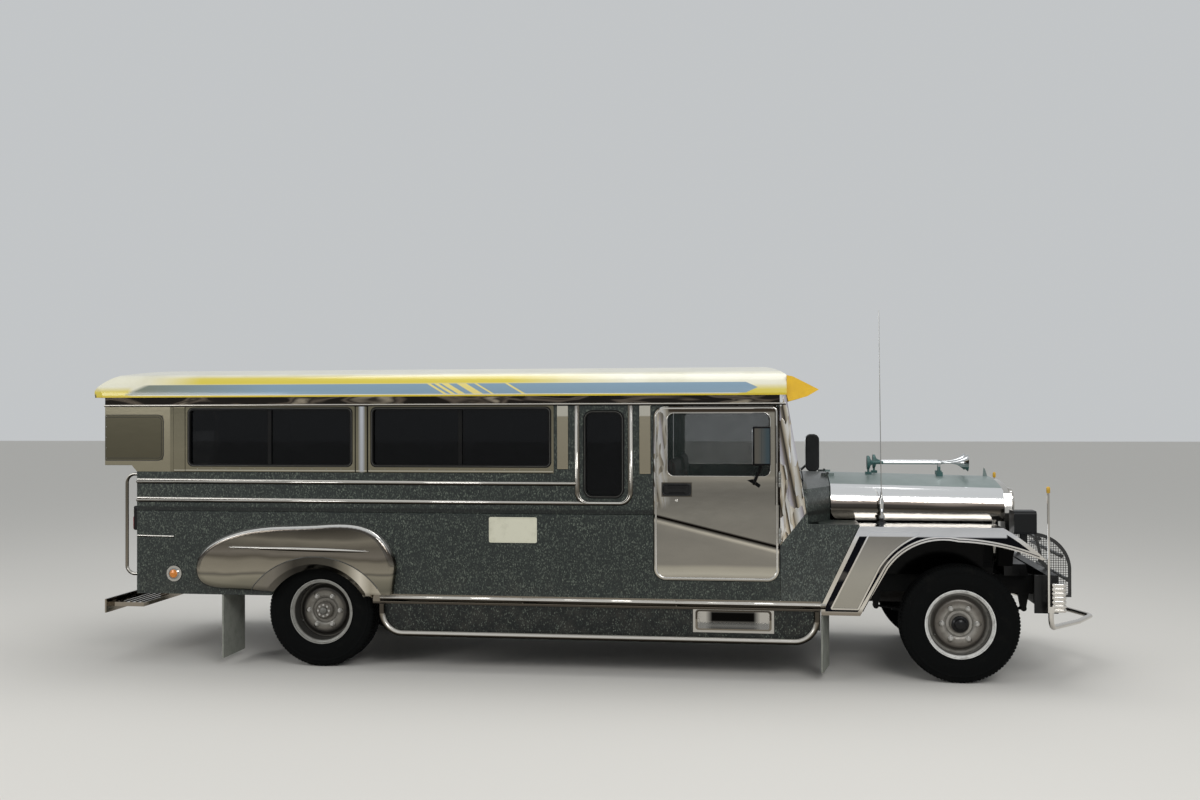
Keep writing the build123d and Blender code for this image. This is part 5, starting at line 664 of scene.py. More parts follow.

# %% [markdown]
# ## Wheel enamel
# The steel wheels are sprayed silver-grey, and brake dust gathers in their pressings. Flange,
# groove, dish and disc are rings round the axle, so the tone follows the distance from it: the
# rings carry painted shade in the grooves and pressings and painted highlights on the flange, and
# a noise lays the dust over them. The front wheels are brighter than the rear ones, whose darker
# tones are painted shade under the rear fenders.

# %% Wheel enamel
# ring tones with painted shade and painted highlights; the rear set is darker, painted shade
WHEEL_TONES = {
    "front": ((0.0, "#6F6B65"), (0.26, "#6F6B65"), (0.30, "#9C9992"), (0.46, "#8E8A83"), (0.56, "#67625B"),
              (0.70, "#4E4A45"), (0.775, "#8C8983"), (0.82, "#A5A39D"), (0.845, "#2B2926"), (0.87, "#C9C8C4"),
              (1.0, "#E3E3E1")),
    "rear": ((0.0, "#7A7670"), (0.24, "#6A665F"), (0.40, "#7C7972"), (0.54, "#6B675F"), (0.60, "#35322E"),
             (0.70, "#2B2926"), (0.78, "#6B6862"), (0.82, "#2A2825"), (0.87, "#8E8D88"), (1.0, "#94938F")),
}
wheels = {}
for end, axle_x in (("front", FRONT_AXLE_X), ("rear", REAR_AXLE_X)):
    material, tree, shader, place = begin(f"wheel_enamel_{end}", Metallic=0.5)
    split = add(tree, "SeparateXYZ", {0: place})
    dx = add(tree, "Math", {0: split.outputs["X"], 1: axle_x}, operation="SUBTRACT")
    dz = add(tree, "Math", {0: split.outputs["Z"], 1: TYRE_R}, operation="SUBTRACT")
    flat = add(tree, "CombineXYZ", {0: dx, 2: dz})
    away = add(tree, "VectorMath", {0: flat}, operation="LENGTH")
    share = add(tree, "MapRange", {0: away.outputs["Value"], 2: 0.24})
    rings = add(tree, "ValToRGB", {0: share}, stops=WHEEL_TONES[end])
    dust = add(tree, "TexNoise", {"Vector": place, "Scale": grains(45), "Detail": 8, "Roughness": 0.7})
    cover = add(tree, "MapRange", {0: dust, 1: 0.48, 2: 0.78, 4: 0.7})
    rough = add(tree, "MapRange", {0: dust, 3: 0.26, 4: 0.56})
    grain = add(tree, "Bump", {"Height": dust, "Distance": 0.0002})
    connect(tree, shader, Base_Color=either(tree, cover, rings, linear("#4A443C")),
            Roughness=rough, Normal=grain)
    wheels[end] = material
print("wheel finishes:", *wheels)

# %% [markdown]
# ## Pieces that carry two finishes
# Some CAD pieces join parts that are finished apart: lamp shells with their chromed markers,
# chromed horns with enamelled cups and feet, a mirror housing with a satin cover, a guard with
# mesh cheeks, a whip on a rubber foot. A box mask tells the parts of each piece apart.

# %% Lamps and horns
lamp_body, tree, shader, place = begin("lamp_housing", Specular_IOR_Level=0.2)
marker = inside(tree, place, x=(-3.2, -2.6), z=(None, 0.8))
connect(tree, shader, Base_Color=either(tree, marker, linear("#111213"), linear("#A5A39E")), Metallic=marker,
        Roughness=either(tree, marker, 0.38, 0.07))

horn_metal, tree, shader, place = begin("horn_chrome_and_enamel")
rear_cup = inside(tree, place, x=(None, 2.095))
feet = inside(tree, place, z=(None, 1.392), soft=0.002)
painted = add(tree, "Math", {0: rear_cup, 1: feet}, operation="MAXIMUM")
patina = add(tree, "TexNoise", {"Vector": place, "Scale": grains(18), "Detail": 6})
teal = either(tree, patina, linear("#264443"), linear("#47706C"))
connect(tree, shader, Base_Color=either(tree, painted, linear("#C9CBCC"), teal),
        Metallic=either(tree, painted, 1.0, 0.1), Roughness=either(tree, painted, 0.12, 0.45))
print(lamp_body.name, horn_metal.name)

# %% Mirror housing
# a grey satin cover lies on the right mirror's outer face, ribbed down the middle
mirror_shell, tree, shader, place = begin("moulded_mirror_housing", Roughness=0.4, Specular_IOR_Level=0.1)
cover = inside(tree, place, x=(1.178, 1.276), y=(None, -1.116), z=(1.454, 1.684), soft=0.0015)
rib = inside(tree, place, x=(1.222, 1.2235), y=(None, -1.116), z=(1.40, 1.75), soft=0.003)
grain = add(tree, "TexNoise", {"Vector": place, "Scale": grains(1.5), "Detail": 3})
shell_bump = add(tree, "Bump", {"Height": grain, "Distance": 0.0001})
forward = add(tree, "MapRange", {0: add(tree, "SeparateXYZ", {0: place}).outputs["X"], 1: 1.2, 2: 1.26})
cover_tone = either(tree, forward, linear("#524F49"), linear("#39454A"))
tone = either(tree, cover, linear("#050506"), cover_tone)
connect(tree, shader, Base_Color=either(tree, rib, tone, linear("#2B2E30")), Normal=shell_bump)
print(mirror_shell.name)

# %% Guard mesh and antenna
# the guard's cheeks are expanded mesh in a round frame: the sunk web is cut into 16 mm squares
guard_mesh, tree, shader, place = begin("enamelled_expanded_mesh", Roughness=0.35, Coat_Weight=0.3)
split = add(tree, "SeparateXYZ", {0: place})
out = add(tree, "Math", {0: split.outputs["Y"]}, operation="ABSOLUTE")
web_in = add(tree, "MapRange", {0: out, 1: 0.4470, 2: 0.4475})
web_out = add(tree, "MapRange", {0: out, 1: 0.4525, 2: 0.4530, 3: 1.0, 4: 0.0})
web = add(tree, "Math", {0: web_in, 1: web_out}, operation="MULTIPLY")
MESH_PITCH, OPEN_HALF = 0.016, 0.40  # metres, and share of a square
holes = None
for axis in ("X", "Z"):
    cell = add(tree, "Math", {0: split.outputs[axis], 1: 1 / MESH_PITCH}, operation="MULTIPLY")
    part = add(tree, "Math", {0: cell}, operation="FRACT")
    off = add(tree, "Math", {0: part, 1: 0.5}, operation="SUBTRACT")
    away = add(tree, "Math", {0: off}, operation="ABSOLUTE")
    gap = add(tree, "Math", {0: away, 1: OPEN_HALF}, operation="LESS_THAN")
    holes = gap if holes is None else add(tree, "Math", {0: holes, 1: gap}, operation="MULTIPLY")
open_part = add(tree, "Math", {0: web, 1: holes}, operation="MULTIPLY")
worn = add(tree, "TexNoise", {"Vector": place, "Scale": grains(60), "Detail": 6})
connect(tree, shader, Base_Color=either(tree, worn, linear("#070808"), linear("#1C1C1A")),
        Alpha=either(tree, open_part, 1.0, 0.0))

antenna_metal, tree, shader, place = begin("antenna_chrome_and_rubber")
dark = inside(tree, place, z=(None, 1.064))
connect(tree, shader, Base_Color=either(tree, dark, linear("#C4C3C0"), linear("#151515")),
        Metallic=either(tree, dark, 1.0, 0.0), Roughness=either(tree, dark, 0.16, 0.5))
print(guard_mesh.name, antenna_metal.name)

# %% [markdown]
# ## Which finish goes on which CAD piece
# A table keeps this readable. Every carried-over node gets a finish here, and the print at the
# end shows that none was missed.

# %% Dress the CAD pieces
finishes = {
    spat_steel: "rear_spats",
    post_steel: "windshield_posts",
    frame_steel: "rear_frame rear_step",
    trim_steel: "side_mouldings grab_rails",
    bright: "bumper_trim",
    shell_steel: "grille",
    beige_steel: "window_surrounds",
    door_steel: "door_right door_left",
    fender_steel: "front_fenders",
    granite: "side_wall_right side_wall_left",
    cowl_paint: "cowl",
    skirt_paint: "side_skirts",
    roof_paint: "roof",
    visor_paint: "roof_visor",
    hood_paint: "hood",
    film_glass: "body_glass",
    clear_glass: "door_glass_right door_glass_left",
    seal_rubber: "window_seals",
    flap_rubber: "mudflaps",
    chassis_black: "chassis_frame front_axle rear_axle leaf_springs propeller_shaft fuel_tank tie_rod"
                   " steering_column",
    bumper_black: "front_bumper windshield_frame",
    guard_mesh: "grille_guard",
    mirror_shell: "mirror_right",
    cast_iron: "engine_block knuckle_right knuckle_left",
    pipe_steel: "exhaust_pipe",
    black_abs: "mirror_left dashboard steering_wheel",
    wheels["front"]: "rim_front_right rim_front_left",
    wheels["rear"]: "rim_rear_right rim_rear_left",
    tyre_rubber: "tyre_front_right tyre_front_left tyre_rear_right tyre_rear_left",
    bench_grey: "benches front_seats",
    vinyl: "bench_cushions front_cushions",
    floor_plate: "floor_pan",
    lamp_body: "lamps",
    horn_metal: "trumpet_horns",
    antenna_metal: "antenna",
}
dressed = set()
for finish, names in finishes.items():
    for name in names.split():
        nodes[name].data.materials.clear()
        nodes[name].data.materials.append(finish)
        dressed.add(name)
print("dressed", len(dressed), "not dressed", sorted(set(nodes) - dressed))

# %% [markdown]
# ## Making a piece
# Every added piece is built from vertices and faces, given its finish, and told which moving body
# it rides on. A rounded look comes from a small bevel, as a real edge catches the light.


# %% Piece makers
def placed(name, data):
    """A new object in the scene, for a mesh, a curve, a camera or a lamp."""
    obj = bpy.data.objects.new(name, data)
    bpy.context.scene.collection.objects.link(obj)
    return obj


def piece(name, mesh, body, finish, smooth=True):
    obj = placed(name, mesh)
    mesh.materials.append(finish)
    if smooth:
        mesh.shade_smooth()
    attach(obj, body)
    return obj


def from_bmesh(name, build, body, finish, smooth=True):
    """Lets build(bm) fill an empty bmesh, then makes the piece."""
    bm = bmesh.new()
    build(bm)
    bmesh.ops.recalc_face_normals(bm, faces=bm.faces)
    mesh = bpy.data.meshes.new(name)
    bm.to_mesh(mesh)
    bm.free()
    return piece(name, mesh, body, finish, smooth)


def soften(obj, width, steps=2):
    edge = obj.modifiers.new("edges", "BEVEL")
    edge.width, edge.segments, edge.limit_method = width, steps, "ANGLE"
    edge.harden_normals = False
    return obj


def band(bm, low, high):
    """Faces between two rings with as many points."""
    for i in range(len(low)):
        j = (i + 1) % len(low)
        bm.faces.new((low[i], low[j], high[j], high[i]))


def prism(bm, outline, low, high, axis=1):
    """Pushes a flat outline of (a, b) points from low to high along an axis."""
    def point(a, b, c):
        return {0: (c, a, b), 1: (a, c, b), 2: (a, b, c)}[axis]
    near = [bm.verts.new(point(a, b, low)) for a, b in outline]
    away = [bm.verts.new(point(a, b, high)) for a, b in outline]
    bm.faces.new(near)
    bm.faces.new(list(reversed(away)))
    band(bm, near, away)


def rounded(a0, a1, b0, b1, r, steps=6):
    """A rectangle with round corners, as points."""
    points = []
    corners = ((a1 - r, b1 - r), (a0 + r, b1 - r), (a0 + r, b0 + r), (a1 - r, b0 + r))
    for (ca, cb), turn in zip(corners, (0, 90, 180, 270)):
        for k in range(steps + 1):
            angle = math.radians(turn + 90 * k / steps)
            points.append((ca + r * math.cos(angle), cb + r * math.sin(angle)))
    return points


def turned_ring(bm, profile, centre, axis, steps=48):
    """Turns a profile of (radius, distance along axis) round a line."""
    axis = Vector(axis).normalized()
    side = axis.orthogonal().normalized()
    other = axis.cross(side)
    rows = []
    for k in range(steps):
        angle = 2 * math.pi * k / steps
        out = side * math.cos(angle) + other * math.sin(angle)
        rows.append([bm.verts.new(Vector(centre) + out * r + axis * d) for r, d in profile])
    for k in range(steps):
        a, b = rows[k], rows[(k + 1) % steps]
        for i in range(len(profile) - 1):
            bm.faces.new((a[i], a[i + 1], b[i + 1], b[i]))
    bmesh.ops.remove_doubles(bm, verts=bm.verts, dist=1e-6)


def wire(name, lines, radius, body, finish, closed=False, steps=3):
    """Round bars or trims along lines of points, as one curve object."""
    curve = bpy.data.curves.new(name, "CURVE")
    curve.dimensions = "3D"
    curve.bevel_depth = radius
    curve.bevel_resolution = steps
    curve.use_fill_caps = True
    for line in lines:
        spline = curve.splines.new("POLY")
        spline.points.add(len(line) - 1)
        for point, place in zip(spline.points, line):
            point.co = (*place, 1.0)
        spline.use_cyclic_u = closed
    curve.materials.append(finish)
    obj = placed(name, curve)
    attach(obj, body)
    return obj


def both_sides(lines):
    return lines + [[(x, -y, z) for x, y, z in line] for line in lines]


print("piece makers ready")

# %% [markdown]
# ## Tyres
# A 7.00-16 crossply tyre has three straight grooves, and its outer ribs are cut into blocks round
# the shoulder, about 25 mm apart. The wall bulges, with fine raised rings near the bead and a
# scuff rib. One profile is turned round the axle, and the notches pull points inwards at every
# fourth step, which is lighter than cutting each block.

# %% Tyre
BLOCKS = 96
STEPS = BLOCKS * 4
# half the cross-section, as distances from the middle plane and the axle
bead = [(-0.059, 0.2115), (-0.066, 0.216), (-0.078, 0.226), (-0.0865, 0.237)]
rim_guard = [(-0.0880, 0.2385), (-0.0893, 0.2425), (-0.0880, 0.2465)]
sidewall = [(-0.0945, 0.258), (-0.0985, 0.275), (-0.0998, 0.292), (-0.0990, 0.310), (-0.0975, 0.326)]
shoulder_rib = [(-0.0955, 0.338), (-0.0975, 0.3405), (-0.0980, 0.346), (-0.0955, 0.3485)]
shoulder = [(-0.0945, 0.358), (-0.0915, 0.3695), (-0.0865, 0.3785), (-0.0800, 0.3838), (-0.0735, 0.3862)]
grooves = [(-0.0545, 0.3868), (-0.0535, 0.379), (-0.0435, 0.379), (-0.0425, 0.3871)]
crown = [(-0.0245, 0.3873), (-0.0055, 0.3874), (-0.0045, 0.3785)]
profile = bead + rim_guard + sidewall + shoulder_rib + shoulder + grooves + crown
profile += [(-y, r) for y, r in reversed(profile)]
SHOULDER = (0.0540, 0.0975)


def tyre_mesh():
    mesh = bpy.data.meshes.new("tyre_form")
    verts, faces = [], []
    n = len(profile)
    for k in range(STEPS):
        angle = 2 * math.pi * k / STEPS
        for y, r in profile:
            notch = 0.0
            if SHOULDER[0] < abs(y) < SHOULDER[1] and r > 0.352 and k % 4 == (0 if y > 0 else 2):
                notch = 0.0065
            # the floors of the grooves shift from side to side, in a small zigzag
            shift = 0.0022 * (1 if (k // 4) % 2 else -1) if r < 0.3795 and abs(y) < 0.055 else 0.0
            radius = r - notch
            verts.append((radius * math.cos(angle), y + shift, radius * math.sin(angle)))
    for k in range(STEPS):
        a, b = k * n, (k + 1) % STEPS * n
        for i in range(n - 1):
            faces.append((a + i, a + i + 1, b + i + 1, b + i))
    mesh.from_pydata(verts, [], faces)
    mesh.materials.append(tyre_rubber)
    mesh.shade_smooth()
    return mesh


shared = tyre_mesh()
WHEELS = {}
for end, x, dish in (("front", FRONT_AXLE_X, 0.046), ("rear", REAR_AXLE_X, 0.016)):
    for label, side in SIDES:
        body = f"wheel_{end}_{label}"
        WHEELS[body] = (x, side * TRACK_HALF, dish, side, end)
        obj = placed(f"treaded_tyre_{end}_{label}", shared)
        obj.location = (x, side * TRACK_HALF, TYRE_R)
        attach(obj, body)
        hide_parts(f"tyre_{end}_{label}")
print("tyre of", len(shared.polygons), "faces,", BLOCKS, "blocks a side")

# %% [markdown]
# ## Wheel fittings
# Six nuts hold each wheel, on a circle between the pressed pockets. The front hub has a black
# grease cap. A truck's rear axle drives through a flange, so the rear hub shows a ring of eight
# bolt heads. Nuts are six-sided prisms with a turned chamfer, and each sits on a washer.


# %% Nuts, caps and valves
def nut(bm, centre, axis, across, height, turn=0.0):
    axis = Vector(axis)
    aimed = axis.to_track_quat("Z", "Y").to_matrix().to_4x4()
    frame_at = Matrix.Translation(Vector(centre)) @ aimed @ Matrix.Rotation(turn, 4, "Z")
    r = across / math.sqrt(3)
    rows = []
    for level, scale in ((0.0, 1.0), (height * 0.82, 1.0), (height, 0.86)):
        hexagon = [(r * scale * math.cos(a), r * scale * math.sin(a), level)
                   for a in (math.radians(60 * k) for k in range(6))]
        rows.append([bm.verts.new(frame_at @ Vector(corner)) for corner in hexagon])
    bm.faces.new(rows[0])
    bm.faces.new(list(reversed(rows[2])))
    for low, high in zip(rows, rows[1:]):
        band(bm, low, high)


def disc_ring(bm, centre, axis, radius, height, steps=24):
    outline = [(0.0, 0.0), (radius, 0.0), (radius, height * 0.7), (radius * 0.92, height), (0.0, height)]
    turned_ring(bm, outline, centre, axis, steps)


nut_steel = grained("zinc_plated_nuts", "#B4B2AD", "#8F8C86", 4, 0.1, 0.3, metallic=0.6)
for body, (x, y, dish, side, end) in WHEELS.items():
    axis = (0, side, 0)

    def at(radius, degrees, out):
        a = math.radians(degrees)
        return (x + radius * math.cos(a), y + side * out, TYRE_R + radius * math.sin(a))

    def nuts(bm):
        for k in range(6):
            disc_ring(bm, at(0.1125, 60 * k + 60, dish - 0.0005), axis, 0.017, 0.004)
            nut(bm, at(0.1125, 60 * k + 60, dish + 0.003), axis, 0.027, 0.017, 0.3 * k)
            disc_ring(bm, at(0.1125, 60 * k + 60, dish + 0.018), axis, 0.0085, 0.009, 16)
        if end == "rear":
            for k in range(8):
                nut(bm, at(0.040, 45 * k, dish + 0.0255), axis, 0.015, 0.008, 0.5 * k)

    soften(from_bmesh(f"wheel_nuts_{body}", nuts, body, nut_steel, smooth=False), 0.0008, 1)

    def cap(bm):
        if end == "front":
            rim_line = [(0.0, 0.02), (0.054, 0.02), (0.056, 0.032), (0.050, 0.038), (0.040, 0.040),
                        (0.036, 0.052), (0.030, 0.058), (0.0, 0.060)]
            turned_ring(bm, rim_line, (x, y + side * (dish - 0.006), TYRE_R), axis, 40)
        else:
            turned_ring(bm, [(0.0, 0.0), (0.026, 0.0), (0.026, 0.010), (0.020, 0.016), (0.0, 0.017)],
                        (x, y + side * (dish + 0.025), TYRE_R), axis, 32)

    from_bmesh(f"hub_cap_{body}", cap, body, bumper_black if end == "front" else wheel_grey)

    def valve(bm):
        stem = [(0.0, 0.0), (0.005, 0.0), (0.005, 0.028), (0.0035, 0.03), (0.0035, 0.042), (0.0, 0.042)]
        turned_ring(bm, stem, at(0.176, 205, dish - 0.034), axis, 14)

    from_bmesh(f"tyre_valve_{body}", valve, body, zinc)
print("fittings on", len(WHEELS), "wheels")

# %% [markdown]
# ## Window trim
# Each window rubber carries a thin bright lip in its middle, pushed in last to lock the pane. It
# is one closed wire of 4 mm that follows the rubber's rounded corners.


# %% Bright lips in the rubbers
lip_steel = grained("dull_lip_steel", "#5B5A56", "#3B3A37", 4, 0.02, 0.4, metallic=0.7)


def hoop(x0, x1, z0, z1, r, y):
    return [(x, y, z) for x, z in rounded(x0, x1, z0, z1, r, 8)]


LIP_Y = WALL_Y + 0.0078
# front and rear edge, foot and head, corner radius
OPENINGS = ((-2.822, -1.618, 1.420, 1.824, 0.036), (-1.470, -0.210, 1.422, 1.822, 0.034),
            (0.031, 0.289, 1.217, 1.795, 0.052))
lips = [hoop(*opening, -LIP_Y) for opening in OPENINGS]
wire("window_lips", both_sides(lips), 0.0020, "body", lip_steel, closed=True)
for label, side in SIDES:
    wire(f"door_window_lip_{label}", [hoop(0.592, 1.282, 1.360, 1.786, 0.045, side * 0.9315)], 0.0032,
         f"door_{label}", bright, closed=True)
print(len(lips) * 2, "window lips")

# %% [markdown]
# ## Pinstripes and the blank plate
# The ear panel behind the last window has a double pinstripe, open at its rear end, brushed on
# with a lining brush: 6 mm and 3.6 mm wide. A plate hangs on the right flank; it stays blank,
# with its pressed rim and four screws.

# %% Pinstripes and plate
stripe_paint = grained("lining_enamel", "#161514", "#24221F", 5, 0.02, 0.4)
plate_paint = grained("plate_enamel", "#C9C7B4", "#A9A793", 6, 0.02, 0.4, amount=(0.5, 0.85))


def bend(cx, cz, r, start, stop, count=10):
    """Points on an arc, between two angles in degrees."""
    turns = [math.radians(start + (stop - start) * k / count) for k in range(count + 1)]
    return [(cx + r * math.cos(turn), cz + r * math.sin(turn)) for turn in turns]


def ear_stripe(edge, r, y):
    """Starts and ends at the panel's rear edge, round the two front corners."""
    x1, z0, z1 = -3.012 - edge, 1.455 + edge, 1.780 - edge
    corners = bend(x1 - r, z1 - r, r, 90, 0, 8) + bend(x1 - r, z0 + r, r, 0, -90, 8)
    return [(x, y, z) for x, z in [(-3.452, z1)] + corners + [(-3.452, z0)]]


for label, inset, r, radius in (("wide", 0.0, 0.045, 0.0030), ("narrow", 0.016, 0.032, 0.0018)):
    line = ear_stripe(inset, r, -0.9331)
    wire(f"ear_stripe_{label}", both_sides([line]), radius, "body", stripe_paint)


def plate(bm):
    prism(bm, rounded(-0.637, -0.302, 0.898, 1.073, 0.012), -0.9306, -0.9325)
    outer, inner = rounded(-0.637, -0.302, 0.898, 1.073, 0.012), rounded(-0.630, -0.309, 0.905, 1.066, 0.008)
    rings = [[bm.verts.new((a, y, b)) for a, b in line] for line, y in
             ((outer, -0.9325), (outer, -0.9342), (inner, -0.9342), (inner, -0.9325))]
    for low, high in zip(rings, rings[1:]):
        band(bm, low, high)
    for x in (-0.600, -0.339):
        for z in (0.922, 1.049):
            disc_ring(bm, (x, -0.9325, z), (0, -1, 0), 0.0055, 0.002, 14)


soften(from_bmesh("blank_plate", plate, "body", plate_paint, smooth=False), 0.0006, 1)
print("stripes and plate on")

# %% [markdown]
# ## Half-round trims
# Wide half-round trims cover the seams of the flank: two run along it, the lower one turns up
# round the narrow window, one closes the eaves and one caps the sill. Each is a strip whose
# section is half an ellipse, swept along a line in the plane of the wall. Dull joints divide the
# sill trim where two lengths meet.


# %% Sweep a half-round strip
def half_round(bm, line, width, height, y, side, closed=False):
    """line holds (x, z); the flat back lies at y, and the crown stands out by height."""
    rows = []
    for i, (x, z) in enumerate(line):
        before, after = line[max(i - 1, 0)], line[min(i + 1, len(line) - 1)]
        if closed:
            before, after = line[i - 1], line[(i + 1) % len(line)]
        dx, dz = after[0] - before[0], after[1] - before[1]
        size = math.hypot(dx, dz)
        nx, nz = -dz / size, dx / size
        row = []
        for k in range(9):
            a = math.pi * k / 8
            row.append(bm.verts.new((x + nx * width / 2 * math.cos(a), y + side * height * math.sin(a),
                                     z + nz * width / 2 * math.cos(a))))
        rows.append(row)
    pairs = list(zip(rows, rows[1:])) + ([(rows[-1], rows[0])] if closed else [])
    for near, away in pairs:
        for k in range(8):
            bm.faces.new((near[k], away[k], away[k + 1], near[k + 1]))
        bm.faces.new((near[8], away[8], away[0], near[0]))
    if not closed:
        bm.faces.new(rows[0])
        bm.faces.new(list(reversed(rows[-1])))


REAR_END_X, TRIM_PROUD = -3.213, 0.0105


def flank_trims(bm):
    for side in (-1, 1):
        y = side * TRIM_Y
        half_round(bm, [(REAR_END_X, TRIM_HIGH_Z), (-0.030, TRIM_HIGH_Z)], 0.027, TRIM_PROUD, y, side)
        # the lower trim turns up round the narrow window and comes down again behind it
        low_bends = bend(0.050, 1.246, 0.076, 180, 270) + bend(0.270, 1.246, 0.076, 270, 360)
        half_round(bm, [(-0.026, 1.835)] + low_bends + [(0.346, 1.835)], 0.025, TRIM_PROUD, y, side)
        half_round(bm, [(REAR_END_X, TRIM_LOW_Z), (0.052, TRIM_LOW_Z)], 0.027, TRIM_PROUD, y, side)
        half_round(bm, [(REAR_END_X, EAVES_Z), (1.338, EAVES_Z)], 0.018, TRIM_PROUD, y, side)


def sill_trims(bm):
    for side in (-1, 1):
        for x0, x1 in ((-1.411, -0.402), (-0.398, 0.648), (0.652, 1.640)):
            half_round(bm, [(x0, SILL_TRIM_Z), (x1, SILL_TRIM_Z)], 0.042, 0.010, side * 0.9330, side)


from_bmesh("flank_trims", flank_trims, "body", trim_steel)
from_bmesh("sill_trims", sill_trims, "body", trim_steel)
print("half-round trims on")

# %% [markdown]
# ## The spear on the rear fender
# A slim spear is beaten into each rear fender. It follows the bulge, so its line is found by
# looking from outside onto the CAD sheet: a ray at each step along it gives the distance out.

# %% Spear and arch crease
spat = nodes["rear_spats"]
sheet = BVHTree.FromPolygons([spat.matrix_world @ v.co for v in spat.data.vertices],
                             [list(p.vertices) for p in spat.data.polygons])


def spear(bm):
    for side in (-1, 1):
        rows = []
        for k in range(49):
            t = k / 48
            x = -2.493 + 1.020 * t
            z = 0.848 - 0.017 * t
            half = 0.016 * math.sin(math.pi * min(1.0, 0.06 + t * 0.94)) ** 0.5 * (0.55 + 0.45 * t) + 0.0008
            hit = sheet.ray_cast(Vector((x, side * 1.3, z)), Vector((0, -side, 0)))[0]
            if hit is None:
                continue
            rows.append([bm.verts.new((x, hit.y + side * dy, z + dz * half)) for dz, dy in
                         ((-1, -0.001), (-0.7, 0.004), (0, 0.008), (0.7, 0.004), (1, -0.001))])
        for near, away in zip(rows, rows[1:]):
            for i in range(4):
                bm.faces.new((near[i], away[i], away[i + 1], near[i + 1]))


from_bmesh("fender_spears", spear, "body", trim_steel)


def arch_crease(side):
    """A rolled crease runs round the wheel arch and dies out towards both ends."""
    line = []
    for k in range(61):
        a = math.radians(162 - 128 * k / 60)
        x, z = REAR_AXLE_X + CREASE_HALF * math.cos(a), CREASE_FOOT_Z + CREASE_RISE * math.sin(a)
        hit = sheet.ray_cast(Vector((x, side * 1.3, z)), Vector((0, -side, 0)))[0]
        if hit is not None and abs(hit.y) > 0.934:
            line.append((x, hit.y + side * 0.0005, z))
    return line


wire("arch_creases", [arch_crease(-1), arch_crease(1)], 0.0040, "body", lip_steel)
print("spears follow", len(spat.data.polygons), "faces of sheet")

# %% [markdown]
# ## Double roll of the front fenders
# The border round each front wheel is rolled twice, with a dark groove between the rolls, laid on
# as a thin tube of painted shadow. The groove keeps 13 mm from the sheet's edge: two arcs, each
# through three points, and a straight leg.


# %% Groove along the front arches
def arc_through(a, b, c, shift, steps=24):
    """Points on the circle through a, b and c, moved away from its centre by shift."""
    squares = [x * x + z * z for x, z in (a, b, c)]
    rises = (b[1] - c[1], c[1] - a[1], a[1] - b[1])
    runs = (c[0] - b[0], a[0] - c[0], b[0] - a[0])
    twice = 2 * sum(x * rise for (x, z), rise in zip((a, b, c), rises))
    cx = sum(s * rise for s, rise in zip(squares, rises)) / twice
    cz = sum(s * run for s, run in zip(squares, runs)) / twice
    r = math.hypot(a[0] - cx, a[1] - cz) + shift
    first, last = (math.atan2(z - cz, x - cx) for x, z in (a, c))
    turns = [first + (last - first) * k / steps for k in range(steps + 1)]
    return [(cx + r * math.cos(t), cz + r * math.sin(t)) for t in turns]


groove = arc_through((3.020, 0.827), (2.785, 0.902), (2.495, 0.938), 0.013)[1:]
groove += arc_through((2.495, 0.938), (2.197, 0.897), (2.045, 0.760), 0.013)[1:] + [(1.880, 0.474)]
# painted shadow: a thin dark tube in the groove
groove_shadow_tone = grained("groove_shadow_paint", "#1B1A19", "#0E0D0D", 8, 0.05, 0.5)
wire("fender_groove_shadows", both_sides([[(x, -0.9363, z) for x, z in groove]]), 0.0032, "body", groove_shadow_tone)
print("groove of", len(groove), "points on each front fender")

# %% [markdown]
# ## Door bead, handle and hinges
# A folded bead of 14 mm runs round each door, 12 mm in from its edge. The handle is a flap in a
# rounded black cup, with a lock below it. Each hinge is three knuckles round a pin.


# %% Door hardware
def door_ring(inset):
    x0, x1, z0, z1 = 0.502 + inset, 1.336 - inset, 0.661 + inset, 1.830 - inset
    r, head = 0.080 - inset, 0.024
    upper = bend(x1 - head, z1 - head, head, 0, 90, 6) + bend(x0 + r, z1 - r, r, 90, 180)
    lower = bend(x0 + r, z0 + r, r, 180, 270) + bend(x1 - r, z0 + r, r, 270, 360)
    return upper + lower


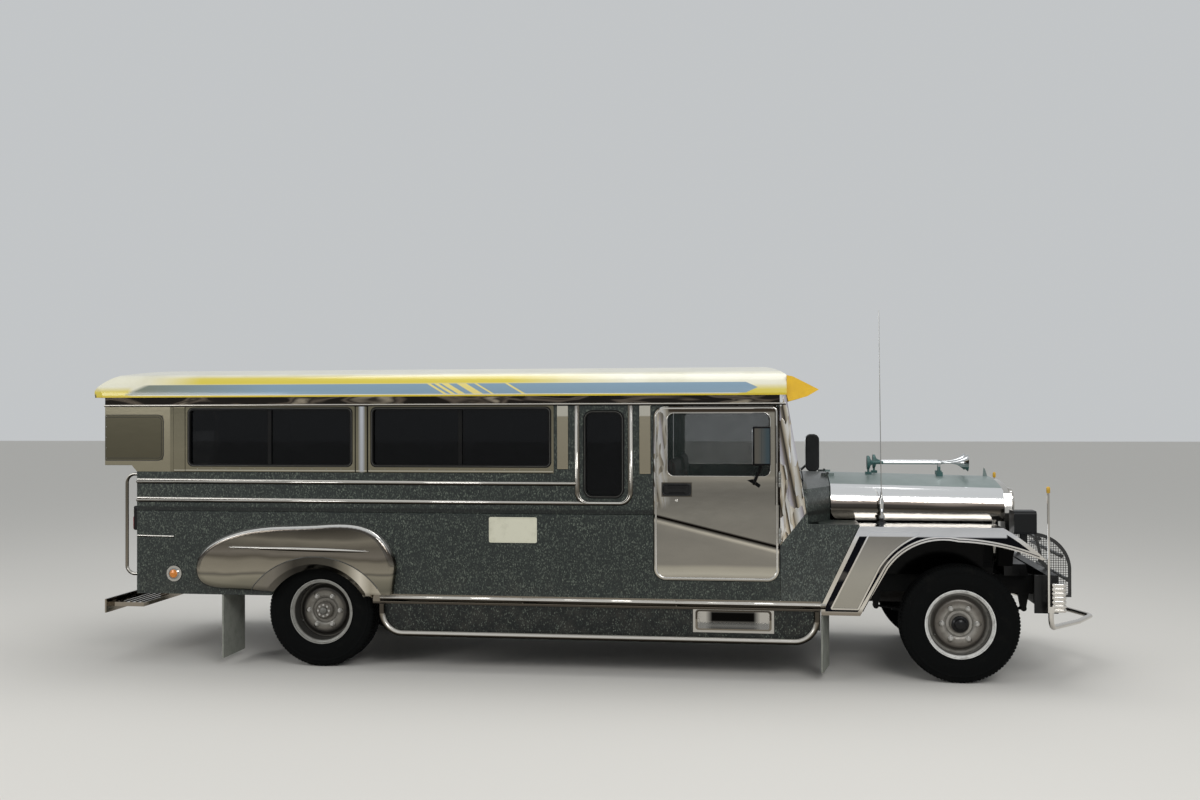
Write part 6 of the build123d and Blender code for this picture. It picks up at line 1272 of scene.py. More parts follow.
def door_hardware(label, side):
    face = side * TRIM_Y

    def bead(bm):
        half_round(bm, door_ring(0.012), 0.014, 0.0045, face, side, True)

    from_bmesh(f"door_bead_{label}", bead, f"door_{label}", bright)

    def cup(bm):
        outer = rounded(0.556, 0.754, 1.226, 1.312, 0.026, 8)
        inner = rounded(0.567, 0.743, 1.237, 1.301, 0.018, 8)
        rings = [[bm.verts.new((a, side * y, b)) for a, b in line] for line, y in
                 ((outer, 0.9296), (outer, 0.9340), (inner, 0.9345), (inner, 0.9285))]
        for low, high in zip(rings, rings[1:]):
            band(bm, low, high)

    def flap(bm):
        y0, y1 = sorted((side * 0.921, side * 0.9335))
        prism(bm, rounded(0.590, 0.722, 1.272, 1.298, 0.009, 6), y0, y1)
        prism(bm, rounded(0.600, 0.712, 1.240, 1.250, 0.004, 4), *sorted((side * 0.921, side * 0.929)))

    from_bmesh(f"handle_cup_{label}", cup, f"door_{label}", black_abs)
    soften(from_bmesh(f"handle_flap_{label}", flap, f"door_{label}", bumper_black, smooth=False), 0.003, 3)

    def lock(bm):
        barrel = [(0.0, 0.0035), (0.006, 0.0035), (0.0065, 0.0055), (0.010, 0.0055), (0.011, 0.0),
                  (0.0, -0.001)]
        turned_ring(bm, barrel, (0.655, face, 1.196), (0, side, 0), 28)

    from_bmesh(f"door_lock_{label}", lock, f"door_{label}", bright)

    def knuckles(bm):
        for z in (0.964, 1.340):
            for k, (low, high) in enumerate(((-0.048, -0.017), (-0.016, 0.016), (0.017, 0.048))):
                outline = [(0.0, low), (0.0085, low), (0.0095, low + 0.002), (0.0095, high - 0.002),
                           (0.0085, high), (0.0, high)]
                turned_ring(bm, outline, (HINGE_X, side * HINGE_Y, z), (0, 0, 1), 20)
            turned_ring(bm, [(0.0, 0.056), (0.004, 0.055), (0.0055, 0.051), (0.0055, 0.048), (0.0, 0.048)],
                        (HINGE_X, side * HINGE_Y, z), (0, 0, 1), 16)

    from_bmesh(f"hinge_knuckles_{label}", knuckles, "body", zinc)


for label, side in SIDES:
    door_hardware(label, side)
print("doors fitted")

# %% [markdown]
# ## Rear end
# The photograph doesn't show the back, so it carries on what the sides have: the two mouldings
# run round it, bright edges line the entrance and its two small windows, and the board over the
# entrance is riveted on. Domed rivets of 9 mm sit 120 mm apart.

# %% Rear trims and rivets
REAR_X = -3.2185
bars = []
for side in (-1, 1):
    for z in (TRIM_HIGH_Z, TRIM_LOW_Z):
        bars.append([(REAR_X, side * 0.335, z), (REAR_X, side * 0.922, z)])
wire("rear_mouldings", bars, 0.009, "body", trim_steel)
edge = [(REAR_X, a, b) for a, b in rounded(-0.316, 0.316, 0.694, 1.800, 0.036)]
wire("entrance_edge", [edge], 0.0075, "body", trim_steel, closed=True)
pane_edge = rounded(-0.197, 0.197, 1.428, 1.772, 0.034)
frames = [[(REAR_X, a + side * 0.610, b) for a, b in pane_edge] for side in (-1, 1)]
wire("rear_window_edges", frames, 0.005, "body", trim_steel, closed=True)


def dome(bm, centre, axis, r=0.0045):
    outline = [(0.0, r * 0.55), (r * 0.5, r * 0.47), (r * 0.85, r * 0.25), (r, 0.0), (r, -0.001),
               (0.0, -0.001)]
    turned_ring(bm, outline, centre, axis, 12)


def rivets(bm):
    for k in range(15):
        for z in (1.662, 1.884):
            dome(bm, (-3.4605, -0.84 + 0.12 * k, z), (-1, 0, 0))
    for side in (-1, 1):
        for k in range(5):
            dome(bm, (-3.449, side * 0.9335, 1.470 + 0.075 * k), (0, side, 0), 0.004)
        for k in range(26):
            x = -2.86 + 0.106 * k
            if not (-1.60 < x < -1.49):
                dome(bm, (x, side * 0.9335, 1.3985), (0, side, 0), 0.0035)


from_bmesh("rivets", rivets, "body", zinc)
print("rear end trimmed")

# %% [markdown]
# ## Door corners
# The door has round corners, and the body round it is filled to match. Four gussets in the
# body's own paint close the corners of the opening, 6 mm clear of the door.


# %% Gussets
def gusset(bm, corner, centre, r, side):
    a0 = math.atan2(0, corner[0] - centre[0])
    a1 = math.atan2(corner[1] - centre[1], 0)
    if a1 - a0 > math.pi:
        a0 += 2 * math.pi
    if a0 - a1 > math.pi:
        a1 += 2 * math.pi
    angles = [a0 + (a1 - a0) * k / 10 for k in range(11)]
    arc = [(centre[0] + r * math.cos(a), centre[1] + r * math.sin(a)) for a in angles]
    prism(bm, [corner] + arc, side * 0.9296, side * 0.896)


DOOR_CORNERS = (  # corner, middle of its arc, radius
    ((0.496, 0.655), (0.582, 0.741), 0.086), ((1.342, 0.655), (1.256, 0.741), 0.086),
    ((0.496, 1.836), (0.582, 1.750), 0.086), ((1.342, 1.836), (1.312, 1.806), 0.030))


def gussets(bm):
    for side in (-1, 1):
        for corner, centre, r in DOOR_CORNERS:
            gusset(bm, corner, centre, r, side)


from_bmesh("door_gussets", gussets, "body", granite, smooth=False)
print("gussets at the door corners")

# %% [markdown]
# ## Lamps and mirrors
# A headlamp is a silvered bowl behind fluted glass. The flutes are a soft ribbed bump, one every
# 57 mm, which gives a few broad bands of light, and the lens is slightly crowned. The tail lamps
# are moulded acrylic, red below and white above, ribbed the same way. The mirrors get a real
# mirror glass, 1.5 mm thick.


# %% Lens materials
WAVE_REPEAT_MM = 100 * math.pi  # how far apart a wave node's crests are at scale 1


def lens(name, tone, rib_mm, metallic=0.0, axis="Y"):
    material, tree, shader, place = begin(name, Base_Color=tone, Metallic=metallic, Roughness=0.08, IOR=1.49,
                                          Coat_Weight=0.6, Coat_Roughness=0.03)
    waves = add(tree, "TexWave", {"Vector": place, "Scale": WAVE_REPEAT_MM / rib_mm, "Distortion": 0.0},
                bands_direction=axis)
    haze = add(tree, "TexNoise", {"Vector": place, "Scale": grains(25), "Detail": 5})
    rough = add(tree, "MapRange", {0: haze, 3: 0.04, 4: 0.16})
    bump = add(tree, "Bump", {"Height": waves.outputs["Fac"], "Distance": 0.0015})
    connect(tree, shader, Normal=bump, Roughness=rough)
    return material


head_lens = lens("fluted_headlamp_glass", "#D9DDDF", 57.31, 0.7)
red_lens = lens("red_moulded_acrylic", "#8E0F10", 38.21, 0.0, "Z")
white_lens = lens("white_moulded_acrylic", "#D8D6CE", 38.21, 0.0, "Z")
amber_lens = lens("amber_moulded_acrylic", "#C7761B", 31.84, 0.1, "Z")
mirror_glass, tree, shader, place = begin("silvered_mirror_glass", Base_Color="#E3E6E8", Metallic=1.0)
wiped = add(tree, "TexNoise", {"Vector": place, "Scale": grains(80), "Detail": 6})
smear = add(tree, "MapRange", {0: wiped, 3: 0.0, 4: 0.06})
connect(tree, shader, Roughness=smear)
print("lens finishes ready")


# %% Lenses, covers and mirror glasses
def crowned(bm, outline, base, rise, axis, inward=0.6):
    """A lens: a flat outline that rises in two steps to a crown."""
    middle = [sum(p[i] for p in outline) / len(outline) for i in (0, 1)]
    rows = []
    for scale, level in ((1.0, 0.0), (1.0, rise * 0.45), (0.94, rise * 0.8), (inward, rise)):
        row = []
        for a, b in outline:
            a, b = middle[0] + (a - middle[0]) * scale, middle[1] + (b - middle[1]) * scale
            row.append(bm.verts.new({0: (base + level, a, b), 1: (a, base + level, b)}[axis]))
        rows.append(row)
    for low, high in zip(rows, rows[1:]):
        band(bm, low, high)
    bm.faces.new(rows[0])
    bm.faces.new(rows[-1])


def head_lenses(bm):
    for side in (-1, 1):
        y0, y1 = sorted((side * 0.789, side * 0.661))
        crowned(bm, rounded(y0, y1, 0.994, 1.116, 0.013), 3.0072, 0.0075, 0)


def tail(z0, z1):
    def build(bm):
        for side in (-1, 1):
            y0, y1 = sorted((side * 0.769, side * 0.871))
            crowned(bm, rounded(y0, y1, z0, z1, 0.011), -3.2685, -0.012, 0, 0.8)
    return build


def glass_leaf(x, y, z, width, height, r):
    def build(bm):
        outline = rounded(y - width / 2, y + width / 2, z - height / 2, z + height / 2, r)
        crowned(bm, outline, x, -0.0015, 0, 0.97)
    return build


from_bmesh("headlamp_lenses", head_lenses, "body", head_lens)
from_bmesh("tail_lamps_red", tail(0.953, 1.052), "body", red_lens)
from_bmesh("tail_lamps_white", tail(1.058, 1.119), "body", white_lens)
leaf = glass_leaf(1.1640, -1.060, 1.568, 0.112, 0.226, 0.016)
from_bmesh("mirror_glass_right", leaf, "door_right", mirror_glass)
leaf = glass_leaf(1.5800, 1.045, 1.450, 0.118, 0.268, 0.036)
from_bmesh("mirror_glass_left", leaf, "body", mirror_glass)


def marker_lenses(bm):
    for side in (-1, 1):
        turned_ring(bm, [(0.0, 0.0235), (0.012, 0.0228), (0.022, 0.0205), (0.030, 0.0165), (0.031, 0.012)],
                    (-2.930, side * 0.930, 0.650), (0, side, 0), 32)


from_bmesh("marker_lenses", marker_lenses, "body", amber_lens)
print("lamps and mirrors glazed")

# %% [markdown]
# ## Small fittings outside
# The marker poles have yellow tips, so the driver sees the corners. The whip stands on a coil
# spring. Two wipers rest on the windshield: a pressed arm on a spindle, and a rubber blade in a
# bright carrier. The windshield leans back by 12.5 degrees, so a helper turns a distance up the
# screen and a distance off it into a place.

# %% Tips, spring and wipers
tip_paint = grained("yellow_tip_enamel", "#D9A91C", "#9C7A18", 4, 0.05, 0.35, coat=0.4)


def tips(bm):
    for side in (-1, 1):
        tip = [(0.0, 0.043), (0.007, 0.042), (0.0113, 0.036), (0.0122, 0.030), (0.0122, 0.006), (0.0095, 0.0)]
        turned_ring(bm, tip, (3.063, side * 0.915, 1.2595), (0, 0, 1), 20)


from_bmesh("pole_tips", tips, "body", tip_paint)
COIL_R = PITCH_UP = 0.0085
coil = []
for k in range(6 * 16 + 1):
    a = 2 * math.pi * k / 16
    coil.append((2.030 + COIL_R * math.cos(a), -0.655 + COIL_R * math.sin(a), 1.066 + PITCH_UP * k / 16))
wire("antenna_spring", [coil], 0.0016, "body", bright)

SCREEN_FOOT_X, SCREEN_FOOT_Z = 1.495, 1.300
LEAN = math.atan2(110, 495)  # the windshield goes back 110 mm over its 495 mm of height


def on_screen(y, up, off):
    """A place up along the leaning windshield and off it."""
    return (SCREEN_FOOT_X - up * math.sin(LEAN) + off * math.cos(LEAN), y,
            SCREEN_FOOT_Z + up * math.cos(LEAN) + off * math.sin(LEAN))


arms, carriers, blades = [], [], []
for y in (-0.62, 0.22):
    arms.append([on_screen(y, 0.016, 0.004), on_screen(y, 0.018, 0.014),
                 on_screen(y + 0.11, 0.060, 0.020), on_screen(y + 0.20, 0.092, 0.016)])
for y in (-0.64, 0.20):
    carriers.append([on_screen(y, 0.088, 0.012), on_screen(y + 0.42, 0.100, 0.012)])
    blades.append([on_screen(y - 0.01, 0.088, 0.005), on_screen(y + 0.43, 0.100, 0.005)])
wire("wiper_arms", arms, 0.0042, "body", black_abs)
wire("wiper_carriers", carriers, 0.0045, "body", bright)
wire("wiper_blades", blades, 0.0038, "body", seal_rubber)


def spindles(bm):
    axis = (math.cos(LEAN), 0, math.sin(LEAN))
    for y in (-0.62, 0.22):
        disc_ring(bm, on_screen(y, 0.016, 0.0005), axis, 0.016, 0.008, 24)
        nut(bm, on_screen(y, 0.016, 0.008), axis, 0.013, 0.009)


soften(from_bmesh("wiper_spindles", spindles, "body", black_abs, smooth=False), 0.0006, 1)
print("tips, spring and wipers on")

# %% [markdown]
# ## Radiator and engine dressing
# Through the slats one sees the radiator: thin fins between flat tubes, under a round-edged top
# tank with a filler cap. With the hood up, the engine shows a ribbed rocker cover, a round air
# cleaner with its wing nut, and the top hose, which is a bent tube with clips.


# %% Radiator
def radiator(bm):
    prism(bm, rounded(-0.44, 0.44, 1.165, 1.235, 0.02), 2.735, 2.800, axis=0)
    prism(bm, rounded(-0.44, 0.44, 0.700, 0.760, 0.02), 2.735, 2.800, axis=0)
    for y in (-0.44, 0.428):
        prism(bm, rounded(y, y + 0.012, 0.75, 1.18, 0.002, 1), 2.738, 2.797, axis=0)
    disc_ring(bm, (2.765, 0.20, 1.234), (0, 0, 1), 0.034, 0.016, 32)


def fins(bm):
    for k in range(86):
        y = -0.426 + k * 0.01
        prism(bm, [(y, 0.758), (y + 0.0022, 0.758), (y + 0.0022, 1.168), (y, 1.168)], 2.742, 2.793, axis=0)
    for k in range(27):
        z = 0.768 + k * 0.015
        prism(bm, [(-0.428, z), (0.428, z), (0.428, z + 0.0012), (-0.428, z + 0.0012)], 2.748, 2.788, axis=0)


soften(from_bmesh("radiator_tanks", radiator, "body", chassis_black, smooth=False), 0.002, 2)
from_bmesh("radiator_core", fins, "body", cast_iron, smooth=False)


# %% Engine dressing
def rocker_cover(bm):
    prism(bm, rounded(1.90, 2.48, 0.03, 0.19, 0.03), 1.100, 1.150, axis=2)
    prism(bm, rounded(1.925, 2.455, 0.05, 0.17, 0.025), 1.149, 1.168, axis=2)
    for k in range(5):
        y = 0.066 + 0.022 * k
        prism(bm, [(1.98, y), (2.40, y), (2.40, y + 0.006), (1.98, y + 0.006)], 1.166, 1.176, axis=2)
    disc_ring(bm, (1.955, 0.11, 1.166), (0, 0, 1), 0.022, 0.028, 24)
    for x in (1.92, 2.19, 2.46):
        for y in (0.045, 0.175):
            nut(bm, (x, y, 1.149), (0, 0, 1), 0.011, 0.008)


def air_cleaner(bm):
    lid = [(0.0, 0.135), (0.020, 0.135), (0.022, 0.128), (0.150, 0.118), (0.158, 0.110), (0.158, 0.098)]
    pan = [(0.148, 0.094), (0.148, 0.030), (0.160, 0.024), (0.160, 0.012), (0.06, 0.0), (0.045, -0.02),
           (0.0, -0.02)]
    turned_ring(bm, lid + pan, (2.20, -0.175, 1.118), (0, 0, 1), 56)
    nut(bm, (2.20, -0.175, 1.252), (0, 0, 1), 0.016, 0.010)


soften(from_bmesh("rocker_cover", rocker_cover, "body", cast_iron, smooth=False), 0.003, 2)
from_bmesh("air_cleaner", air_cleaner, "body", chassis_black)
wire("top_hose", [[(2.745, 0.0, 1.200), (2.700, 0.0, 1.202), (2.650, 0.005, 1.192), (2.605, 0.02, 1.160),
                   (2.575, 0.035, 1.120), (2.560, 0.04, 1.085)]], 0.022, "body", seal_rubber, steps=6)
print("engine dressed")

# %% [markdown]
# ## Cab fittings
# The driver sits on the left. In front of the wheel is a hooded cluster with a speedometer, two
# smaller gauges and plain ticks; pads hang from the firewall on arms; the gear lever rises from a
# rubber boot between the seats; each door has a winder and a pull.


# %% Gauges
gauge_face = grained("printed_gauge_face", "#141414", "#1E1E1D", 3, 0.02, 0.5)
tick_white = grained("printed_tick_white", "#D8D6CC", "#B9B7AC", 3, 0.01, 0.5)
GAUGES = ((0.335, 1.203, 0.046), (0.505, 1.203, 0.046), (0.420, 1.215, 0.026), (0.420, 1.162, 0.018))


def cluster_x(z):
    return 1.347 + (z - 1.140) / 0.122 * 0.012


def bezels(bm):
    for y, z, r in GAUGES:
        outline = [(r - 0.003, 0.001), (r - 0.002, 0.007), (r + 0.002, 0.008), (r + 0.004, 0.005),
                   (r + 0.0045, -0.002)]
        turned_ring(bm, outline, (cluster_x(z), y, z), (-1, 0, 0.098), 40)


def faces(bm):
    for y, z, r in GAUGES:
        disc_ring(bm, (cluster_x(z), y, z), (-1, 0, 0.098), r - 0.002, 0.0015, 40)


def ticks(bm):
    for y, z, r in GAUGES:
        count = 13 if r > 0.03 else 5
        for k in range(count):
            a = math.radians(225 - 270 * k / (count - 1))
            long = 0.78 if k % 3 == 0 else 0.86
            quad = []
            for q, w in ((long, -0.03), (0.94, -0.03), (0.94, 0.03), (long, 0.03)):
                dy, dz = r * (q * math.cos(a) - w * math.sin(a)), r * (q * math.sin(a) + w * math.cos(a))
                quad.append(bm.verts.new((cluster_x(z + dz) - 0.0022, y - dy, z + dz)))
            bm.faces.new(quad)


from_bmesh("gauge_bezels", bezels, "body", bright)
from_bmesh("gauge_faces", faces, "body", gauge_face)
from_bmesh("gauge_ticks", ticks, "body", tick_white, smooth=False)
wire("gauge_needles", [[(cluster_x(z) - 0.0035, y, z), (cluster_x(z) - 0.0035, y + r * 0.5, z - r * 0.45)]
                       for y, z, r in GAUGES], 0.0009, "body", tip_paint)
print(len(GAUGES), "gauges")


# %% Pedals, lever, winders
def pads(bm):
    for y, w in ((0.300, 0.070), (0.395, 0.070), (0.500, 0.050)):
        prism(bm, [(1.488, 0.800), (1.500, 0.794), (1.524, 0.868), (1.512, 0.874)], y - w / 2, y + w / 2)
        for k in range(4):
            x, z = 1.4905 + 0.0055 * k, 0.812 + 0.017 * k
            prism(bm, [(x - 0.004, z), (x, z - 0.001), (x + 0.002, z + 0.005), (x - 0.002, z + 0.006)],
                  y - w / 2 + 0.006, y + w / 2 - 0.006)


soften(from_bmesh("pedal_pads", pads, "body", seal_rubber, smooth=False), 0.002, 2)
arms = [[(1.512, y, 0.838), (1.540, y, 0.855), (1.565, y, 0.92), (1.598, y, 0.985)]
        for y in (0.300, 0.395, 0.500)]
wire("pedal_arms", arms, 0.006, "body", chassis_black)
lever = [(1.250, 0.02, 0.72), (1.205, 0.02, 0.84), (1.150, 0.03, 0.97), (1.130, 0.035, 1.04)]
wire("gear_lever", [lever], 0.007, "body", zinc)


def lever_parts(bm):
    knob = [(0.0, 0.052), (0.012, 0.050), (0.021, 0.040), (0.024, 0.026), (0.019, 0.010), (0.010, 0.0),
            (0.0, 0.0)]
    turned_ring(bm, knob, (1.130, 0.035, 1.030), (-0.25, 0.05, 1), 28)
    boot = [(0.062, -0.001), (0.060, 0.008), (0.044, 0.016), (0.046, 0.022), (0.032, 0.030), (0.034, 0.037),
            (0.020, 0.046), (0.021, 0.054), (0.009, 0.064), (0.0, 0.064)]
    turned_ring(bm, boot, (1.253, 0.02, 0.700), (-0.2, 0, 1), 36)


from_bmesh("lever_knob_and_boot", lever_parts, "body", black_abs)
for label, side in SIDES:
    y = side * 0.893
    crank = [(1.090, 0.0, 1.020), (1.090, 0.022, 1.020), (1.050, 0.026, 0.975), (1.018, 0.026, 0.940),
             (1.018, 0.050, 0.940)]
    crank = [(a, y - side * off, b) for a, off, b in crank]
    wire(f"door_winder_{label}", [crank], 0.0055, f"door_{label}", bright)
    pull = [(0.660, 0.0, 1.120), (0.668, 0.032, 1.122), (0.700, 0.040, 1.124), (0.860, 0.040, 1.124),
            (0.892, 0.032, 1.122), (0.900, 0.0, 1.120)]
    pull = [(a, y - side * off, b) for a, off, b in pull]
    wire(f"door_pull_{label}", [pull], 0.009, f"door_{label}", black_abs, steps=4)
print("cab fitted")

# %% [markdown]
# ## Hand rails under the roof
# Standing passengers hold two bright tubes that hang under the ceiling on bent straps. Each tube
# is 25 mm thick and ends in a turned-up elbow.

# %% Hand rails
rails, straps = [], []
RAIL_BACK_X, RAIL_FRONT_X, RAIL_Y = -3.06, 0.27, 0.33
for side in (-1, 1):
    y = side * RAIL_Y
    elbow = [(-0.04, 2.060), (-0.04, 1.960), (-0.025, 1.936), (0.0, 1.930)]
    rails.append([(RAIL_BACK_X + off, y, z) for off, z in elbow]
                 + [(RAIL_FRONT_X - off, y, z) for off, z in reversed(elbow)])
    for k in range(1, 4):
        x = RAIL_BACK_X + (RAIL_FRONT_X - RAIL_BACK_X) * k / 4
        straps.append([(x, y, 2.070), (x, y, 1.935)])
wire("ceiling_rails", rails, 0.0125, "body", bright, steps=5)
wire("ceiling_rail_hangers", straps, 0.006, "body", bright)
print(len(rails), "ceiling rails")

# %% [markdown]
# ## Cushions
# The bench and seat cushions are foam in a vinyl cover, sewn in panels with piping round the
# edge. Foam pushes the cover out between its seams, so each cushion is a slightly smaller box
# that is blown up as cloth, for twenty frames, with no gravity. How far a point may move is
# capped, so the cushion stays in its place. The sewn channels are pressed in afterwards, because
# the remesh would lose them. Cushions of one size share one mesh.


# %% Blow up a cushion
def cushion_mesh(name, size, cell, cap, channels, along=0):
    """A crowned cushion in a box from the origin to size; channels run across the axis along."""
    margin = cap * 0.7
    bm = bmesh.new()
    bmesh.ops.create_cube(bm, size=1)
    for v in bm.verts:
        v.co = [margin + (c + 0.5) * (s - 2 * margin) for c, s in zip(v.co, size)]
    bmesh.ops.bevel(bm, geom=bm.edges[:], offset=min(size) * 0.22, segments=3, affect="EDGES")
    mesh = bpy.data.meshes.new(name)
    bm.to_mesh(mesh)
    bm.free()
    pad = placed(name + "_form", mesh)
    skin = pad.modifiers.new("skin", "REMESH")
    skin.mode, skin.voxel_size = "VOXEL", cell
    blow = pad.modifiers.new("blow", "CLOTH")
    blow.settings.use_pressure = True
    blow.settings.uniform_pressure_force = 4
    blow.settings.effector_weights.gravity = 0
    blow.settings.quality = 4
    blow.settings.tension_stiffness = blow.settings.compression_stiffness = 12
    blow.point_cache.frame_start, blow.point_cache.frame_end = 1, 20
    for frame_number in range(1, 21):
        bpy.context.scene.frame_set(frame_number)
    reached = bpy.data.meshes.new_from_object(pad.evaluated_get(bpy.context.evaluated_depsgraph_get()))
    pad.modifiers.clear()
    skin = pad.modifiers.new("skin", "REMESH")
    skin.mode, skin.voxel_size = "VOXEL", cell
    bpy.context.view_layer.update()
    start = bpy.data.meshes.new_from_object(pad.evaluated_get(bpy.context.evaluated_depsgraph_get()))
    for before, after in zip(start.vertices, reached.vertices):
        move = after.co - before.co
        if move.length > cap:
            after.co = before.co + move.normalized() * cap
    bpy.data.objects.remove(pad)
    bm = bmesh.new()
    bm.from_mesh(reached)
    bmesh.ops.subdivide_edges(bm, edges=bm.edges[:], cuts=1, use_grid_fill=True, smooth=1.0)
    bm.normal_update()
    for v in bm.verts:
        near = min((abs(v.co[along] - c) for c in channels), default=1.0)
        if v.normal.z > 0.2:
            v.co.z -= 0.007 * math.exp(-(near / 0.007) ** 2) * v.normal.z
        # tiny creases fan out from the seams
        v.co.z += 0.0007 * math.sin(v.co[1 - along] * 190) * math.exp(-near / 0.02) * max(0.0, v.normal.z)
    bm.to_mesh(reached)
    bm.free()
    reached.materials.clear()
    reached.materials.append(vinyl)
    reached.shade_smooth()
    return reached


print("cushion maker ready")


# %% Piping on a cushion's edge
def piping_curve(name, mesh, size, level, radius=0.0042):
    """A closed welt that lies on the cushion's side at a height, as a share of its thickness."""
    tree = BVHTree.FromPolygons([v.co for v in mesh.vertices], [list(p.vertices) for p in mesh.polygons])
    curve = bpy.data.curves.new(name, "CURVE")
    curve.dimensions, curve.bevel_depth, curve.bevel_resolution = "3D", radius, 2
    line = rounded(0, size[0], 0, size[1], 0.03, 5)
    # extra points along the four sides, so that the welt follows their swell
    full = []
    for (a0, b0), (a1, b1) in zip(line, line[1:] + line[:1]):
        count = max(1, int(math.hypot(a1 - a0, b1 - b0) / 0.04))
        full += [(a0 + (a1 - a0) * k / count, b0 + (b1 - b0) * k / count) for k in range(count)]
    spline = curve.splines.new("POLY")
    spline.points.add(len(full) - 1)
    for point, (a, b) in zip(spline.points, full):
        point.co = (*tree.find_nearest(Vector((a, b, size[2] * level)))[0], 1.0)
    spline.use_cyclic_u = True
    curve.materials.append(piping)
    return curve


def set_cushion(name, form, body, matrix, node):
    mesh, welt = form
    pad = placed(name, mesh)
    for obj in (pad, placed(name + "_piping", welt)):
        obj.matrix_world = matrix
        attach(obj, body)
    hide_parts(node)


# %% Bench cushions
LENGTH, SECTIONS, SEAM = 3.527, 4, 0.004
span = LENGTH / SECTIONS
seat_size, back_size = (span - SEAM, 0.302, 0.070), (span - SEAM, 0.338, 0.066)
marks = [span * k / 6 for k in range(1, 6)]
mesh = cushion_mesh("bench_seat", seat_size, 0.014, 0.010, marks)
seat = (mesh, piping_curve("bench_seat_welt", mesh, seat_size, 0.80))
mesh = cushion_mesh("bench_back", back_size, 0.016, 0.010, marks)
back = (mesh, piping_curve("bench_back_welt", mesh, back_size, 0.80))
BENCH_X, SEAT_Y, SEAT_Z = -3.143, 0.803, 0.990
BACK_Y, BACK_Z = 0.8815, 1.0315
for label, side in SIDES:
    for k in range(SECTIONS):
        x = BENCH_X + span * k
        far = x + span - SEAM
        # the back's top face looks into the cabin: its thickness lies across the vehicle
        if side < 0:
            flat = Matrix.Translation((x, -SEAT_Y, SEAT_Z))
            upright = Matrix(((-1, 0, 0, far), (0, 0, 1, -BACK_Y), (0, 1, 0, BACK_Z), (0, 0, 0, 1)))
        else:
            flat = Matrix.Translation((far, SEAT_Y, SEAT_Z)) @ Matrix.Rotation(math.pi, 4, "Z")
            upright = Matrix(((1, 0, 0, x), (0, 0, -1, BACK_Y), (0, 1, 0, BACK_Z), (0, 0, 0, 1)))
        set_cushion(f"bench_seat_{label}_{k + 1}", seat, "body", flat, "bench_cushions")
        set_cushion(f"bench_back_{label}_{k + 1}", back, "body", upright, "bench_cushions")
print("bench cushions", SECTIONS * 4, "of", len(seat[0].polygons), "and", len(back[0].polygons), "faces")

# %% Front seats
for label, y0, y1 in (("right", -0.850, -0.130), ("left", 0.150, 0.700)):
    width = y1 - y0
    flat_size, back_size = (0.458, width - SEAM, 0.118), (0.530, width - SEAM, 0.078)
    marks = [0.09, 0.175, 0.26, 0.345]
    mesh = cushion_mesh(f"front_seat_{label}", flat_size, 0.014, 0.014, marks)
    form = (mesh, piping_curve(f"front_seat_welt_{label}", mesh, flat_size, 0.82))
    flat = Matrix.Translation((0.641, y0 + SEAM / 2, 0.941))
    set_cushion(f"front_seat_pad_{label}", form, "body", flat, "front_cushions")
    mesh = cushion_mesh(f"front_back_{label}", back_size, 0.014, 0.012, [0.10, 0.20, 0.30, 0.40])
    form = (mesh, piping_curve(f"front_back_welt_{label}", mesh, back_size, 0.80))
    # local x runs up the back, local z looks forwards
    upright = Matrix(((0, 0, 1, 0.561), (0, -1, 0, y1 - SEAM / 2), (1, 0, 0, 0.946), (0, 0, 0, 1)))
    set_cushion(f"front_back_pad_{label}", form, "body", upright, "front_cushions")
print("front seats padded")

# %% [markdown]
# ## Camera, floor and light
# The camera stands where the photograph was taken: 9 m to the right of the vehicle, 1.8 m up,
# turned 7.7 degrees to the left, with a lens as wide as its sensor. The floor is one pale plane.
# Large soft lamps and a plain pale sky keep colours close to how they were written.

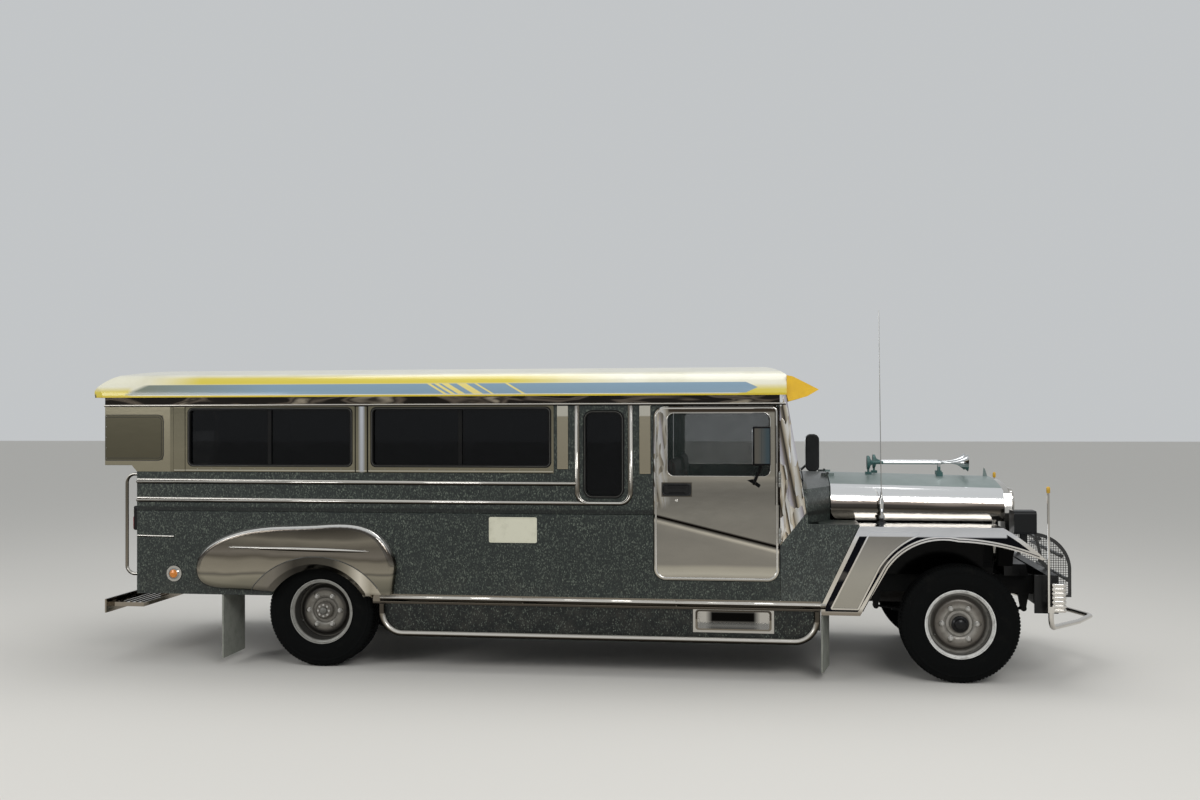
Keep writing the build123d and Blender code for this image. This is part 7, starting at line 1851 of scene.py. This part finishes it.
# %% Camera
YAW, PITCH, ROLL = math.radians(7.708), math.radians(0.482), math.radians(-0.160)
ahead = Vector((-math.sin(YAW) * math.cos(PITCH), math.cos(YAW) * math.cos(PITCH), math.sin(PITCH)))
across = Vector((math.cos(YAW), math.sin(YAW), 0))
above = across.cross(ahead)
right = across * math.cos(ROLL) + above * math.sin(ROLL)
up = above * math.cos(ROLL) - across * math.sin(ROLL)
photo_lens = bpy.data.cameras.new("photo_camera")
photo_lens.sensor_width, photo_lens.lens = 36.0, 36.0
camera = placed("photo_camera", photo_lens)
stand = Matrix((right, up, -ahead)).transposed().to_4x4()
stand.translation = (1.230, -9.014, 1.806)
camera.matrix_world = stand
bpy.context.scene.camera = camera
print("camera at", [round(v, 3) for v in camera.location])

# %% Floor, sky and lamps
floor_finish = begin("studio_floor", Base_Color="#D6D3CD", Roughness=0.85)[0]
mesh = bpy.data.meshes.new("studio_floor")
mesh.from_pydata([(-60, -60, 0), (60, -60, 0), (60, 60, 0), (-60, 60, 0)], [], [(0, 1, 2, 3)])
mesh.materials.append(floor_finish)
floor = placed("studio_floor", mesh)

sky = bpy.data.worlds.new("studio_sky")
sky.use_nodes = True
background = sky.node_tree.nodes["Background"]
background.inputs["Color"].default_value = linear("#DDE0E2")
background.inputs["Strength"].default_value = 0.75
bpy.context.scene.world = sky
bpy.context.scene.view_settings.view_transform = "Standard"

# name, place, width and height, watts
LAMPS = (
    ("key", (4.5, -9.0, 6.5), (5.0, 3.0), 330),
    ("fill", (-7.0, -7.0, 4.0), (4.0, 3.0), 160),
    ("top", (0.0, 1.0, 8.0), (9.0, 4.0), 260),
)
for name, place_at, size, energy in LAMPS:
    light = bpy.data.lights.new(name, "AREA")
    light.shape, light.size, light.size_y, light.energy = "RECTANGLE", size[0], size[1], energy
    lamp = placed(name, light)
    lamp.location = place_at
    lamp.rotation_euler = (Vector((-0.5, 0, 1.0)) - Vector(place_at)).to_track_quat("-Z", "Y").to_euler()
    print("lamp", name, energy, "W")
